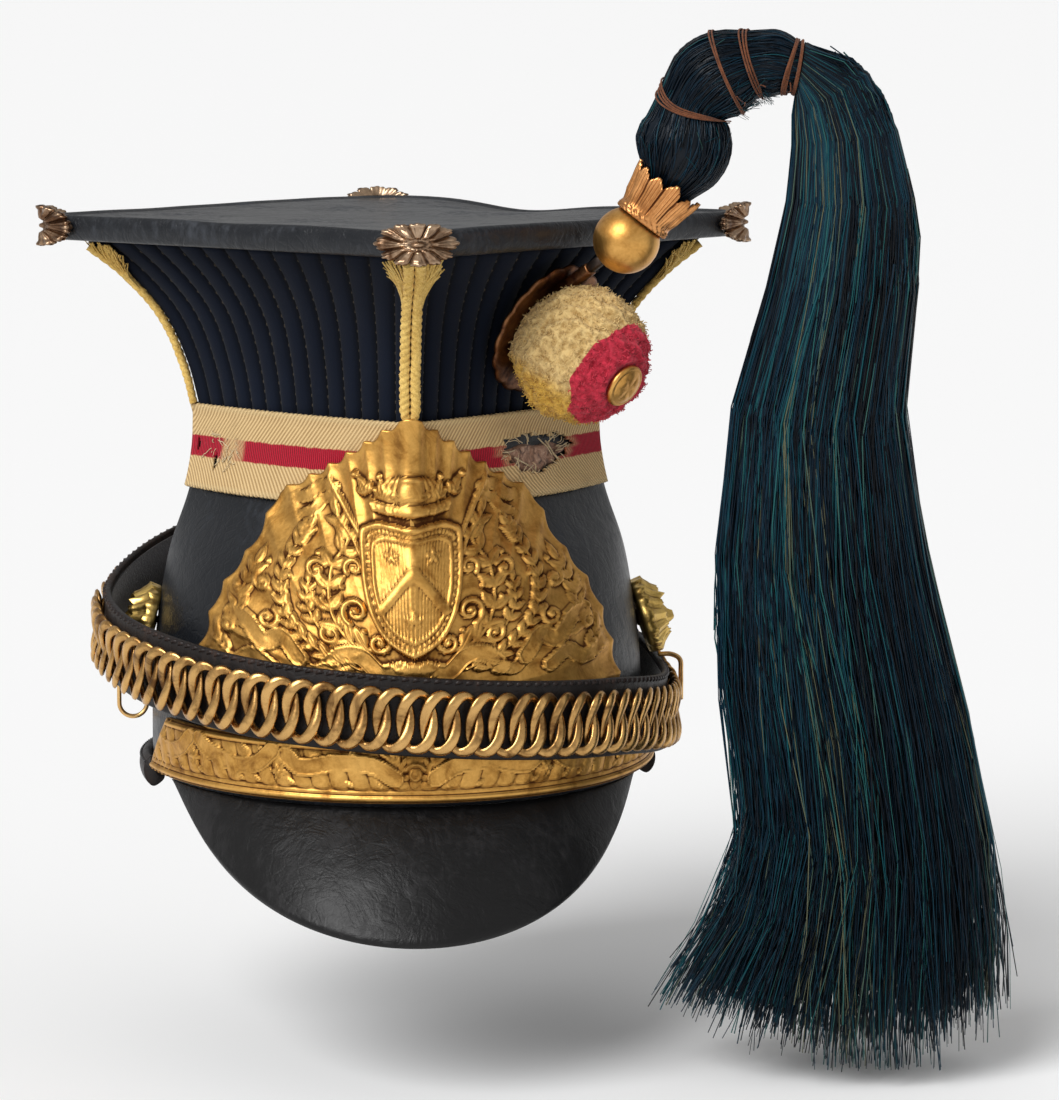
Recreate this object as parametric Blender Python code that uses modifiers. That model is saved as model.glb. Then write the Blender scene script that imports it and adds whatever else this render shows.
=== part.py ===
"""Lance cap: leather skull and peak, quilted square upper, gilt plate, chin chain and horsehair plume.

Frame: the origin is the middle of the skull's base opening, where the head sits. The peak and plate
face -Y, +X is to the right as seen from the front, +Z is up, and the board's corners lie on X and Y.
Metres throughout.
"""
import math

import bmesh
import bpy
from mathutils import Matrix, Vector
from mathutils.bvhtree import BVHTree

# General sizes
TOUCH = 0.0003
LEATHER = 0.0025

# Skull and upper, which share one outer wall from the base to the board
RIM_HALF_WIDTH = 0.087
RIM_HALF_DEPTH = 0.097
WAIST_HALF_WIDTH = 0.070
WAIST_HALF_DEPTH = 0.076
SKULL_HEIGHT = 0.124
SKULL_COLUMNS = 32
UPPER_HEIGHT = 0.061
UPPER_REACH = 0.110
QUILT_WALL = 0.0042
FLUTE_DEPTH = 0.0018
FLUTES_A_SIDE = 14

# Board on top
BOARD_REACH = 0.124
BOARD_EDGE = 0.009
BOARD_SAG = 0.003
BOARD_DENT = 0.0035
BOARD_STEPS_A_SIDE = 8
BOARD_BLUNT = 0.984

# Corner cords and corner ornaments
CORD_WIDTH = 0.0085
CORD_PROUD = 0.0032
CORD_STATIONS = 7
PLAIT = 0.07
FRAY_WIDTH = 0.0190
FRAY_THINNER = 0.7
ORNAMENT_WIDTH = 0.033
ORNAMENT_HEIGHT = 0.0145
ORNAMENT_PROUD = 0.0022
ORNAMENT_PETALS = 8
ORNAMENT_BEND = 0.006
ORNAMENT_CLEAR = 0.0009
PETAL_NOTCH = 0.80

# Lace band round the waist
LACE_HEIGHT = 0.029
LACE_RISE = 0.0035
LACE_THICKNESS = 0.0012
LACE_SEAT = 0.0008
LACE_COLUMNS = 40
WORN_WIDTH = 0.029
WORN_HEIGHT = 0.0125
WORN_TURN = 0.595
WORN_POINTS = 12
WORN_BULGE = 0.16
WORN_RAGGED = 0.10
SLIT_WIDTH = 0.0022
SLIT_HEIGHT = 0.0068
SLIT_TURN = -0.86
SLIT_DROP = 0.0055
LINING_THICKNESS = 0.0009

# Peak and rolled rear rim
PEAK_LENGTH = 0.052
PEAK_SLOPE = math.radians(50)
PEAK_SIDE_STEEPER = math.radians(15)
PEAK_FORWARD = 0.7
PEAK_SPAN = 0.76
PEAK_BOW = 0.05
PEAK_STATIONS = 23
PEAK_FULLNESS = 1.3
PEAK_END = 0.004
ROLL_PROUD = 0.0048
ROLL_RISE = 0.0045
ROLL_CLEAR = 0.012
ROLL_STATIONS = 27

# Front plate: a rayed sheet over a base strip, with raised figures
PLATE_THICKNESS = 0.0012
PLATE_SEAT = 0.0016
SEAT_RISE_START = 0.012
SEAT_RISE_END = 0.002
PLATE_PROBE = 0.03
PLATE_OVER_SKULL = 0.0055
PLATE_TOP = SKULL_HEIGHT + PLATE_OVER_SKULL
PLATE_FOOT = 0.0180
PLATE_HALF_WIDTH = 0.072
PLATE_HEART = 0.034
PLATE_RAYS = 22
PLATE_COURSES = 4
RAY_DEPTH = 0.0006
SCALLOP = 0.0014
STRIP_FOOT = 0.0016
STRIP_HEIGHT = 0.0205
STRIP_PROUD = 0.0004
STRIP_LEFT = -0.867
STRIP_RIGHT = 0.944
STRIP_SLANT = 0.13
STRIP_STATIONS = 25
STRIP_RIBBON = 0.16
RELIEF = 0.0014
RELIEF_ROOT = 0.0006

# Chin strap and chain
STRAP_HEIGHT = 0.027
STRAP_THICKNESS = 0.0022
STRAP_SHOWS = 0.0020
STRAP_COLUMNS = 52
CHAIN_HEIGHT = 0.0225
CHAIN_THICKNESS = 0.0045
CHAIN_RIDGES = 34
CHAIN_HOLLOW = 0.22
CHAIN_SHOULDER = 0.8

# Side bosses and their hooks
BOSS_RADIUS = 0.0140
BOSS_DEPTH = 0.0104
BOSS_HEIGHT = 0.0485
BOSS_BACK = 0.004
BOSS_TILT = math.radians(17)
BOSS_STANDOFF = 0.0032
BOSS_COLUMNS = 16
BOSS_POST = 0.0028
HOOK_WIRE = 0.0009
RING_RADIUS = 0.0049
RING_STRETCH = 0.0060
RING_WIRE = 0.0008
EYE_RADIUS = 0.0030
EYE_WIRE = 0.0007

# Pompom on the right front face, on its brass backing with the plume's square socket
POMPOM_RADIUS = 0.0235
POMPOM_OUT = 0.084
POMPOM_OVER_SKULL = 0.025
POMPOM_TILT = math.radians(27)
POMPOM_FLAT = 0.0164
BACKING_RADIUS = 0.0250
BACKING_THICKNESS = 0.0012
POMPOM_LUMP = 0.022
BUTTON_RADIUS = 0.0078
BUTTON_RISE = 0.0030
BUTTON_SEAT_RADIUS = 0.0086
DIMPLE = 0.0016
SOCKET_SIDE = 0.0044
SOCKET_OVER_POMPOM = 0.0222
SOCKET_TILT = math.radians(33)
SOCKET_REACH = 0.0065

# Plume socket
BALL_RADIUS = 0.0113
BALL_CLEARANCE = 0.0163
STEM_LENGTH = 0.0065
STEM_SIDE = 0.0034
PLUME_LEAN = math.radians(37)
PLUME_BEARING = math.radians(-5)
CUP_LENGTH = 0.0155
CUP_WALL = 0.0009
CUP_NECK_RADIUS = 0.0096
CUP_MOUTH_RADIUS = 0.0126
CUP_LEAVES = 10
CUP_FLUTE = 0.00036
CUP_NOTCH = 0.88

# Plume
HEAD_REACH = 0.0576
HEAD_RISE = 0.0590
HEAD_RADIUS = 0.0162
HEAD_LOCKS = 6
HEAD_RIPPLE = 0.035
BINDING_CLEAR = 0.0007
BINDING_HALF_WIDE = 0.0009
BINDING_PROUD = 0.0014
TAIL_LENGTH = 0.330
TAIL_HALF_WIDTH = 0.059
TAIL_DEPTH_SHARE = 0.60
TAIL_LOCKS = 8
TAIL_SWING = 0.029
TAIL_RAGGED = 0.0075
LOCK_DEPTH = 0.06

# Sections of the wall. Columns: height as a share of the skull, spread from waist (0) to rim (1),
# squareness from an oval (0) to a square set on its corner (1)
SKULL_SECTIONS = (
    (0.00, 1.00, 0.00),
    (0.17, 0.99, 0.00),
    (0.34, 0.94, 0.05),
    (0.48, 0.82, 0.15),
    (0.62, 0.62, 0.32),
    (0.78, 0.22, 0.66),
    (0.90, 0.04, 0.80),
    (1.00, 0.00, 0.84),
)
# Columns: height as a share of the upper, spread from waist (0) to board (1), squareness
UPPER_SECTIONS = (
    (0.00, 0.00, 0.84),
    (0.30, 0.12, 0.89),
    (0.58, 0.32, 0.94),
    (0.80, 0.62, 0.97),
    (1.00, 1.00, 0.98),
)
# Columns: reach as a share of BOARD_REACH, depth below the top as a share of BOARD_EDGE, share of the
# board's slackness
BOARD_SECTIONS = (
    (0.930, 1.00, 0.0),
    (0.975, 0.98, 0.9),
    (1.000, 0.72, 1.0),
    (1.000, 0.28, 1.0),
    (0.975, 0.00, 1.0),
    (0.880, 0.06, 1.0),
    (0.600, 0.08, 1.0),
    (0.250, 0.06, 1.0),
)
# Section of a corner cord. Columns: across as a share of its half width, out as a share of its height
CORD_SECTION = (
    (-0.88, 0.20),
    (0.00, 0.00),
    (0.88, 0.20),
    (1.00, 0.45),
    (0.55, 0.95),
    (0.00, 1.00),
    (-0.55, 0.95),
    (-1.00, 0.45),
)
# Section of the rolled rim. Columns: out as a share of ROLL_PROUD, up as a share of ROLL_RISE
ROLL_SECTION = (
    (0.06, 0.80),
    (0.55, 1.00),
    (1.00, 0.25),
    (0.90, -0.71),
    (0.35, -1.29),
    (-0.42, -0.77),
    (-0.42, -0.07),
    (0.06, -0.07),
)
# Rings of a side boss. Columns: distance off its stand as a share of BOSS_DEPTH, radius and drop of
# the ring's middle as shares of BOSS_RADIUS, depth of the mane's lobes
BOSS_SECTIONS = (
    (0.00, 0.94, 0.00, 0.10),
    (0.14, 1.00, 0.00, 0.10),
    (0.42, 0.74, 0.00, 0.10),
    (0.62, 0.56, 0.06, 0.00),
    (0.92, 0.34, 0.22, 0.00),
    (1.00, 0.16, 0.20, 0.00),
)
# Profile of the button. Columns: shares of BUTTON_RADIUS and BUTTON_RISE
BUTTON_PROFILE = (
    (0.00, 1.00),
    (0.35, 0.95),
    (0.70, 0.72),
    (0.88, 0.36),
    (1.00, 0.25),
    (0.92, 0.00),
    (0.00, 0.00),
)
# Rings of the plume's cup. Columns: share of CUP_LENGTH, share of the way from neck to mouth radius
CUP_SECTIONS = (
    (0.00, 0.00),
    (0.30, 0.02),
    (0.70, 0.55),
    (1.00, 1.00),
)
# Outline of the right half of the rayed sheet, from its top. Columns: half width as a share of
# PLATE_HALF_WIDTH, height as a share of the run from PLATE_FOOT to PLATE_TOP
PLATE_OUTLINE = (
    (0.000, 1.000),
    (0.208, 0.902),
    (0.361, 0.831),
    (0.556, 0.756),
    (0.625, 0.671),
    (0.708, 0.586),
    (0.875, 0.430),
    (0.972, 0.212),
    (1.000, 0.063),
    (0.830, 0.005),
    (0.000, 0.000),
)
# Right halves of the figures that stand on the plate's middle, from their tops. Columns: across
# and up, as shares of the run from STRIP_FOOT to PLATE_TOP
SHIELD_OUTLINE = (
    (0.000, 0.715),
    (0.065, 0.728),
    (0.112, 0.705),
    (0.116, 0.565),
    (0.076, 0.440),
    (0.000, 0.370),
)
CORONET_OUTLINE = (
    (0.000, 0.842),
    (0.024, 0.822),
    (0.064, 0.838),
    (0.078, 0.790),
    (0.060, 0.748),
    (0.000, 0.740),
)
KNOT_OUTLINE = (
    (0.000, 0.300),
    (0.052, 0.288),
    (0.066, 0.255),
    (0.000, 0.215),
)
# Ribs on the right half of the plate, each with a twin on the left: paths in the same shares
LANCE_PATH = ((0.108, 0.600), (0.165, 0.700), (0.222, 0.800))
PENNON_PATH = ((0.198, 0.733), (0.246, 0.728), (0.290, 0.690))
LAUREL_PATH = (
    (0.085, 0.330),
    (0.150, 0.345),
    (0.210, 0.375),
    (0.260, 0.422),
    (0.295, 0.480),
    (0.312, 0.540),
    (0.312, 0.600),
    (0.290, 0.655),
)
RIBBON_PATH = ((0.090, 0.255), (0.175, 0.235), (0.265, 0.275), (0.355, 0.255), (0.440, 0.290))
# Path of the ribbon on the base strip. Columns: turn as a share of the strip's end on its side,
# height as a share of STRIP_HEIGHT
STRIP_PATH = ((0.10, 0.42), (0.30, 0.60), (0.50, 0.50), (0.70, 0.62), (0.86, 0.46))
# Ribs. Columns: path, half width as a share of the run, height as a share of RELIEF, leafiness
PLATE_RIBS = (
    (LANCE_PATH, 0.0085, 0.8, 0.0),
    (PENNON_PATH, 0.0200, 0.9, 0.0),
    (LAUREL_PATH, 0.0260, 1.1, 0.4),
    (RIBBON_PATH, 0.0260, 0.9, 0.0),
)
# Course of the chin strap. Columns: quarter turns from the front towards +X, clearance from the
# wall as a share of LOOP_CLEARANCE, height of the strap's middle as a share of LOOP_RISE
LOOP_CLEARANCE = 0.0160
LOOP_RISE = 0.066
LOOP_COURSE = (
    (0.0, 0.50, 0.455),
    (0.5, 0.47, 0.360),
    (1.0, 0.41, 0.272),
    (1.5, 0.30, 0.580),
    (2.0, 0.17, 0.910),
    (2.5, 0.55, 0.990),
    (3.0, 1.00, 0.710),
    (3.5, 0.66, 0.550),
    (4.0, 0.50, 0.455),
)
# The bound head of the plume. Columns: reach along the bearing as a share of HEAD_REACH, rise as a
# share of HEAD_RISE, radius as a share of HEAD_RADIUS, both measured from the ball's centre
HEAD_STATIONS = (
    (0.122, 0.160, 0.45),
    (0.225, 0.300, 0.56),
    (0.290, 0.420, 0.88),
    (0.328, 0.529, 1.00),
    (0.345, 0.640, 0.93),
    (0.368, 0.761, 0.72),
    (0.470, 0.890, 0.91),
    (0.595, 0.962, 0.88),
    (0.748, 1.005, 0.68),
    (0.860, 1.005, 0.69),
    (0.960, 0.988, 0.56),
    (1.000, 0.981, 0.52),
)
BOUND_STATIONS = (5, 7, 8, 10)
# The falling tail. Columns: fall below the head's end as a share of TAIL_LENGTH, swing along the
# bearing from the head's end as a share of TAIL_SWING, half width as a share of TAIL_HALF_WIDTH,
# lean of the section from level (0) to upright (1)
TAIL_STATIONS = (
    (0.002, 0.13, 0.17, 0.75),
    (0.016, 0.28, 0.22, 0.45),
    (0.044, 0.48, 0.27, 0.18),
    (0.081, 0.55, 0.31, 0.07),
    (0.173, 0.63, 0.40, 0.00),
    (0.259, 0.44, 0.45, 0.00),
    (0.341, 0.26, 0.49, 0.00),
    (0.420, 0.26, 0.54, 0.00),
    (0.523, 0.35, 0.63, 0.00),
    (0.622, 0.50, 0.71, 0.00),
    (0.694, 0.71, 0.73, 0.00),
    (0.770, 0.83, 0.76, 0.00),
    (0.846, 0.87, 0.83, 0.00),
    (0.897, 0.72, 0.95, 0.00),
    (0.949, 0.42, 1.00, 0.00),
    (0.990, 0.42, 0.86, 0.00),
)

CORNERS = ((0.0, -1.0), (1.0, 0.0), (0.0, 1.0), (-1.0, 0.0))
SIDES = ("front", "right", "rear", "left")

BOARD_BASE = SKULL_HEIGHT + TOUCH + UPPER_HEIGHT + TOUCH
BALL_OUT = BOARD_REACH * math.sqrt(0.5) + BALL_CLEARANCE
POMPOM_HEIGHT = SKULL_HEIGHT + POMPOM_OVER_SKULL
LACE_BASE = SKULL_HEIGHT + LACE_RISE - LACE_HEIGHT
QUARTER_RUN = math.pi / 4 * (RIM_HALF_WIDTH + RIM_HALF_DEPTH)


def mix(first, second, share):
    """The value a share of the way from the first to the second."""
    return first + (second - first) * share


def smooth_step(low, high, value):
    """0 below low, 1 above high, and a smooth rise between."""
    share = min(max((value - low) / (high - low), 0.0), 1.0)
    return share * share * (3.0 - 2.0 * share)


def read_table(rows, key):
    """The columns of a table at a key between its rows, on smooth curves through them."""
    last = len(rows) - 1
    low = 0
    while low < last - 1 and key > rows[low + 1][0]:
        low += 1
    high = low + 1

    def slope(index, column):
        before = rows[max(index - 1, 0)]
        after = rows[min(index + 1, last)]
        return (after[column] - before[column]) / (after[0] - before[0])

    span = rows[high][0] - rows[low][0]
    t = (key - rows[low][0]) / span
    values = []
    for column in range(1, len(rows[0])):
        start = rows[low][column]
        end = rows[high][column]
        rise = (2 * t ** 3 - 3 * t ** 2 + 1) * start + (-2 * t ** 3 + 3 * t ** 2) * end
        lean = (t ** 3 - 2 * t ** 2 + t) * slope(low, column) + (t ** 3 - t ** 2) * slope(high, column)
        values.append(rise + span * lean)
    return values


def wall_sizes(z):
    """Half width, half depth and squareness of the outer wall at a height."""
    if z <= SKULL_HEIGHT:
        spread, square = read_table(SKULL_SECTIONS, max(z, 0.0) / SKULL_HEIGHT)
        far_width = RIM_HALF_WIDTH
        far_depth = RIM_HALF_DEPTH
    else:
        spread, square = read_table(UPPER_SECTIONS, (z - SKULL_HEIGHT) / (UPPER_HEIGHT + TOUCH))
        far_width = UPPER_REACH
        far_depth = UPPER_REACH
    return (mix(WAIST_HALF_WIDTH, far_width, spread),
            mix(WAIST_HALF_DEPTH, far_depth, spread),
            square)


def plan_point(z, turn):
    """A point of the wall's plan; turn counts quarter turns from the front towards +X."""
    half_width, half_depth, square = wall_sizes(z)
    quarter = math.floor(turn)
    share = turn - quarter
    start = CORNERS[quarter % 4]
    end = CORNERS[(quarter + 1) % 4]
    angle = turn * math.pi / 2
    x = mix(math.sin(angle), mix(start[0], end[0], share), square)
    y = mix(-math.cos(angle), mix(start[1], end[1], share), square)
    return Vector((x * half_width, y * half_depth, z))


def wall_normal(z, turn):
    """The level outward direction of the wall."""
    step = 0.01
    along = plan_point(z, turn + step) - plan_point(z, turn - step)
    return Vector((along.y, -along.x, 0.0)).normalized()


def wall_point(z, turn, out=0.0):
    """A point of the outer wall, moved outwards on the level."""
    return plan_point(z, turn) + wall_normal(z, turn) * out


def turn_at(z, x):
    """The turn at which the front half of the wall is x to the right of the middle."""
    low = 0.0
    high = 1.0
    reach = abs(x)
    for _ in range(26):
        middle = (low + high) / 2
        if plan_point(z, middle).x < reach:
            low = middle
        else:
            high = middle
    return math.copysign((low + high) / 2, x)


def face_point(out, height, across=0.0):
    """A point by its distance out from the axis towards the middle of the right front face."""
    side = math.sqrt(0.5)
    return Vector((out * side + across * side, -out * side + across * side, height))


def make_material(name, colour, roughness, metallic=0.0):
    """A plain surface material."""
    material = bpy.data.materials.new(name)
    material.use_nodes = True
    shader = material.node_tree.nodes["Principled BSDF"]
    shader.inputs["Base Color"].default_value = (*colour, 1.0)
    shader.inputs["Roughness"].default_value = roughness
    shader.inputs["Metallic"].default_value = metallic
    material.diffuse_color = (*colour, 1.0)
    return material


def add_object(name, mesh, material, collection):
    """A mesh as an object of a collection, shaded smooth but for its sharp edges."""
    mesh.shade_smooth()
    mesh.set_sharp_from_angle(angle=math.radians(35))
    mesh.materials.append(material)
    piece = bpy.data.objects.new(name, mesh)
    collection.objects.link(piece)
    return piece


def fill_loft(mesh, rings, loop=False):
    """Faces between rings of equal count; the ends are capped, or joined when loop is set."""
    rows = [[mesh.verts.new(point) for point in ring] for ring in rings]
    count = len(rows[0])
    pairs = list(zip(rows, rows[1:]))
    if loop:
        pairs.append((rows[-1], rows[0]))
    for lower, upper in pairs:
        for index in range(count):
            after = (index + 1) % count
            mesh.faces.new((lower[index], lower[after], upper[after], upper[index]))
    if not loop:
        mesh.faces.new(list(reversed(rows[0])))
        mesh.faces.new(rows[-1])


def close_mesh(mesh, name, flat=False):
    """A finished mesh with its faces turned outwards, cut into flat triangles if it is joined."""
    if flat:
        bmesh.ops.triangulate(mesh, faces=mesh.faces)
    mesh.normal_update()
    bmesh.ops.recalc_face_normals(mesh, faces=mesh.faces)
    data = bpy.data.meshes.new(name)
    mesh.to_mesh(data)
    mesh.free()
    return data


def add_loft(name, rings, material, collection, loop=False, flat=False):
    """One closed solid lofted through rings."""
    mesh = bmesh.new()
    fill_loft(mesh, rings, loop)
    return add_object(name, close_mesh(mesh, name, flat), material, collection)


def add_tube(name, points, radius, material, collection, cyclic=False):
    """A round wire along points."""
    curve = bpy.data.curves.new(name, "CURVE")
    curve.dimensions = "3D"
    curve.bevel_depth = radius
    curve.bevel_resolution = 2
    curve.use_fill_caps = not cyclic
    spline = curve.splines.new("POLY")
    spline.points.add(len(points) - 1)
    for place, point in zip(spline.points, points):
        place.co = (*point, 1.0)
    spline.use_cyclic_u = cyclic
    curve.materials.append(material)
    wire = bpy.data.objects.new(name, curve)
    collection.objects.link(wire)
    return wire


def add_shell(name, rings, wall, material, collection):
    """A wall of even thickness inside a surface lofted through rings, open at both ends."""
    mesh = bmesh.new()
    rows = [[mesh.verts.new(point) for point in ring] for ring in rings]
    count = len(rows[0])
    for lower, upper in zip(rows, rows[1:]):
        for index in range(count):
            after = (index + 1) % count
            mesh.faces.new((lower[index], lower[after], upper[after], upper[index]))
    data = bpy.data.meshes.new(name)
    mesh.to_mesh(data)
    mesh.free()
    piece = add_object(name, data, material, collection)
    solidify = piece.modifiers.new("wall", "SOLIDIFY")
    solidify.thickness = wall
    solidify.offset = -1.0
    solidify.use_even_offset = True
    return piece


def skull(material, collection):
    """The leather skull, open below and into the upper."""
    turns = [4 * index / SKULL_COLUMNS for index in range(SKULL_COLUMNS)]
    rings = [[wall_point(row[0] * SKULL_HEIGHT, turn) for turn in turns] for row in SKULL_SECTIONS]
    return add_shell("skull", rings, LEATHER, material, collection)


def quilted_upper(material, collection):
    """The quilted cloth upper: padded flutes outside, a smooth wall inside."""
    base = SKULL_HEIGHT + TOUCH
    shares = [row[0] for row in UPPER_SECTIONS]
    heights = [base + share * UPPER_HEIGHT for share in shares]
    flutes = 4 * FLUTES_A_SIDE
    mesh = bmesh.new()
    outer = []
    inner = []
    for z in heights:
        ring = []
        for index in range(2 * flutes):
            sunk = -FLUTE_DEPTH if index % 2 == 0 else 0.0
            ring.append(mesh.verts.new(wall_point(z, 2 * index / flutes, sunk)))
        outer.append(ring)
        inner.append([mesh.verts.new(wall_point(z, 8 * index / flutes, -QUILT_WALL))
                      for index in range(flutes // 2)])
    for rows in (outer, inner):
        count = len(rows[0])
        for lower, upper in zip(rows, rows[1:]):
            for index in range(count):
                after = (index + 1) % count
                mesh.faces.new((lower[index], lower[after], upper[after], upper[index]))
    step = len(outer[0]) // len(inner[0])
    for row in (0, -1):
        count = len(inner[row])
        for index in range(count):
            arc = [outer[row][(index * step + extra) % len(outer[row])] for extra in range(step + 1)]
            mesh.faces.new(arc + [inner[row][(index + 1) % count], inner[row][index]])
    return add_object("quilted_upper", close_mesh(mesh, "quilted_upper"), material, collection)


def board_height(x, y):
    """How far the board's leather lies below a flat top: a slack middle and a dip on one edge."""
    reach = (abs(x) + abs(y)) / BOARD_REACH
    slack = BOARD_SAG * max(0.0, 1.0 - reach ** 2)
    along = (x - y) / BOARD_REACH
    edge = smooth_step(0.55, 1.0, (x + y) / BOARD_REACH)
    dip = BOARD_DENT * edge * math.exp(-((along + 0.10) / 0.32) ** 2)
    return slack + dip


def board(material, collection):
    """The square leather top with its rolled edge."""

    def square_ring(scale, drop, slack):
        ring = []
        for index in range(4 * BOARD_STEPS_A_SIDE):
            quarter = index // BOARD_STEPS_A_SIDE
            share = (index % BOARD_STEPS_A_SIDE) / BOARD_STEPS_A_SIDE
            start = CORNERS[quarter]
            end = CORNERS[(quarter + 1) % 4]
            trim = BOARD_BLUNT if share == 0 else 1.0
            x = mix(start[0], end[0], share) * BOARD_REACH * scale * trim
            y = mix(start[1], end[1], share) * BOARD_REACH * scale * trim
            z = BOARD_BASE + BOARD_EDGE * (1.0 - drop) - slack * board_height(x, y)
            ring.append(Vector((x, y, z)))
        return ring

    return add_loft("board", [square_ring(*row) for row in BOARD_SECTIONS], material, collection)


def corner_cord(side, material, collection):
    """A plaited cord up one corner of the upper, frayed where it meets the board."""
    corner = SIDES.index(side)
    low = LACE_BASE + LACE_HEIGHT + TOUCH
    if side == "front":
        low = max(low, PLATE_TOP + RAY_DEPTH)
    high = BOARD_BASE - 3 * TOUCH
    rings = []
    for station in range(CORD_STATIONS):
        share = station / (CORD_STATIONS - 1)
        z = mix(low, high, share)
        plait = 1.0 + PLAIT * (-1) ** station
        fray = smooth_step(0.75, 1.0, share)
        half = mix(CORD_WIDTH, FRAY_WIDTH, fray) / 2 * plait
        half_width, half_depth, _ = wall_sizes(z)
        quarter_run = math.hypot(half_width, half_depth)
        spread = half / quarter_run
        proud = CORD_PROUD * mix(1.0, FRAY_THINNER, fray)
        ring = []
        for across, out in CORD_SECTION:
            lift = mix(TOUCH * 1.3, proud, out)
            ring.append(wall_point(z, corner + across * spread, lift))
        rings.append(ring)
    return add_loft("corner_cord_" + side, rings, material, collection)


def corner_ornament(side, material, collection):
    """A leafy rosette that wraps one corner of the board."""
    corner = SIDES.index(side)
    out_way = Vector((*CORNERS[corner], 0.0))
    along_way = Vector((-out_way.y, out_way.x, 0.0))
    apex = out_way * BOARD_REACH
    middle_height = BOARD_BASE + BOARD_EDGE * 0.52

    def on_corner(across, rise, lift):
        limit = ORNAMENT_BEND * math.pi / 4
        turn = max(-limit, min(limit, across)) / ORNAMENT_BEND
        run = across - turn * ORNAMENT_BEND
        centre = apex - out_way * (ORNAMENT_BEND - ORNAMENT_CLEAR) * math.sqrt(2)
        way = out_way * math.cos(turn) + along_way * math.sin(turn)
        along = along_way * math.cos(turn) - out_way * math.sin(turn)
        point = centre + way * (ORNAMENT_BEND + lift) + along * run
        point.z = middle_height + rise
        return point

    def outline(scale, lift):
        ring = []
        for index in range(2 * ORNAMENT_PETALS):
            angle = math.pi * index / ORNAMENT_PETALS
            lobe = 1.0 if index % 2 == 0 else PETAL_NOTCH
            ring.append(on_corner(math.cos(angle) * ORNAMENT_WIDTH / 2 * lobe * scale,
                                  math.sin(angle) * ORNAMENT_HEIGHT / 2 * lobe * scale, lift))
        return ring

    rings = [
        outline(0.06, 0.0),
        outline(0.98, 0.0),
        outline(1.00, ORNAMENT_PROUD * 0.45),
        outline(0.55, ORNAMENT_PROUD),
        outline(0.22, ORNAMENT_PROUD * 1.5),
    ]
    return add_loft("corner_ornament_" + side, rings, material, collection)


def patch_rings(turn, height, outline, layers):
    """Rings of one outline set on the wall at several distances out."""
    half_width, half_depth, _ = wall_sizes(height)
    quarter_run = math.hypot(half_width, half_depth)
    rings = []
    for out, scale in layers:
        rings.append([wall_point(height + rise * scale, turn + across * scale / quarter_run, out)
                      for across, rise in outline])
    return rings


def worn_outline(width, height):
    """The ragged edge of the worn place in the lace."""
    points = []
    for index in range(WORN_POINTS):
        angle = 2 * math.pi * index / WORN_POINTS
        ragged = 1.0 + WORN_BULGE * math.sin(3 * angle + 0.6) + WORN_RAGGED * (-1) ** index
        points.append((math.cos(angle) * width / 2 * ragged, math.sin(angle) * height / 2 * ragged))
    return points


def waist_lace(material, collection, cutters):
    """The lace band that covers the joint of skull and upper, with its worn hole and slit."""
    turns = [4 * index / LACE_COLUMNS for index in range(LACE_COLUMNS)]
    outer = LACE_SEAT + LACE_THICKNESS
    heights = [LACE_BASE + LACE_HEIGHT * share for share in (0.0, 0.45, 1.0)]
    rings = [[wall_point(z, turn, outer) for turn in turns] for z in heights]
    lace = add_shell("waist_lace", rings, LACE_THICKNESS, material, collection)
    middle = LACE_BASE + LACE_HEIGHT / 2
    through = ((-LACE_THICKNESS, 1.0), (outer + LACE_THICKNESS, 1.0))
    slit = [(-SLIT_WIDTH / 2, SLIT_HEIGHT / 2), (0.0, -SLIT_HEIGHT / 2),
            (SLIT_WIDTH / 2, SLIT_HEIGHT / 2)]
    holes = (
        ("worn_hole", WORN_TURN, middle, worn_outline(WORN_WIDTH, WORN_HEIGHT)),
        ("slit_hole", SLIT_TURN, middle - SLIT_DROP, slit),
    )
    for name, turn, height, outline in holes:
        cutter = add_loft(name, patch_rings(turn, height, outline, through), material, cutters)
        cutter.hide_render = True
        cutter.display_type = "WIRE"
        cut = lace.modifiers.new(name, "BOOLEAN")
        cut.operation = "DIFFERENCE"
        cut.object = cutter
    return lace


def worn_lining(material, collection):
    """The crumpled lining that shows through the worn lace."""
    layers = (
        (LACE_SEAT, 0.88),
        (LACE_SEAT + LINING_THICKNESS * 0.6, 0.90),
        (LACE_SEAT + LINING_THICKNESS, 0.55),
        (LACE_SEAT + LINING_THICKNESS * 0.7, 0.20),
    )
    middle = LACE_BASE + LACE_HEIGHT / 2
    rings = patch_rings(WORN_TURN, middle, worn_outline(WORN_WIDTH, WORN_HEIGHT), layers)
    return add_loft("worn_lining", rings, material, collection)


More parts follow.
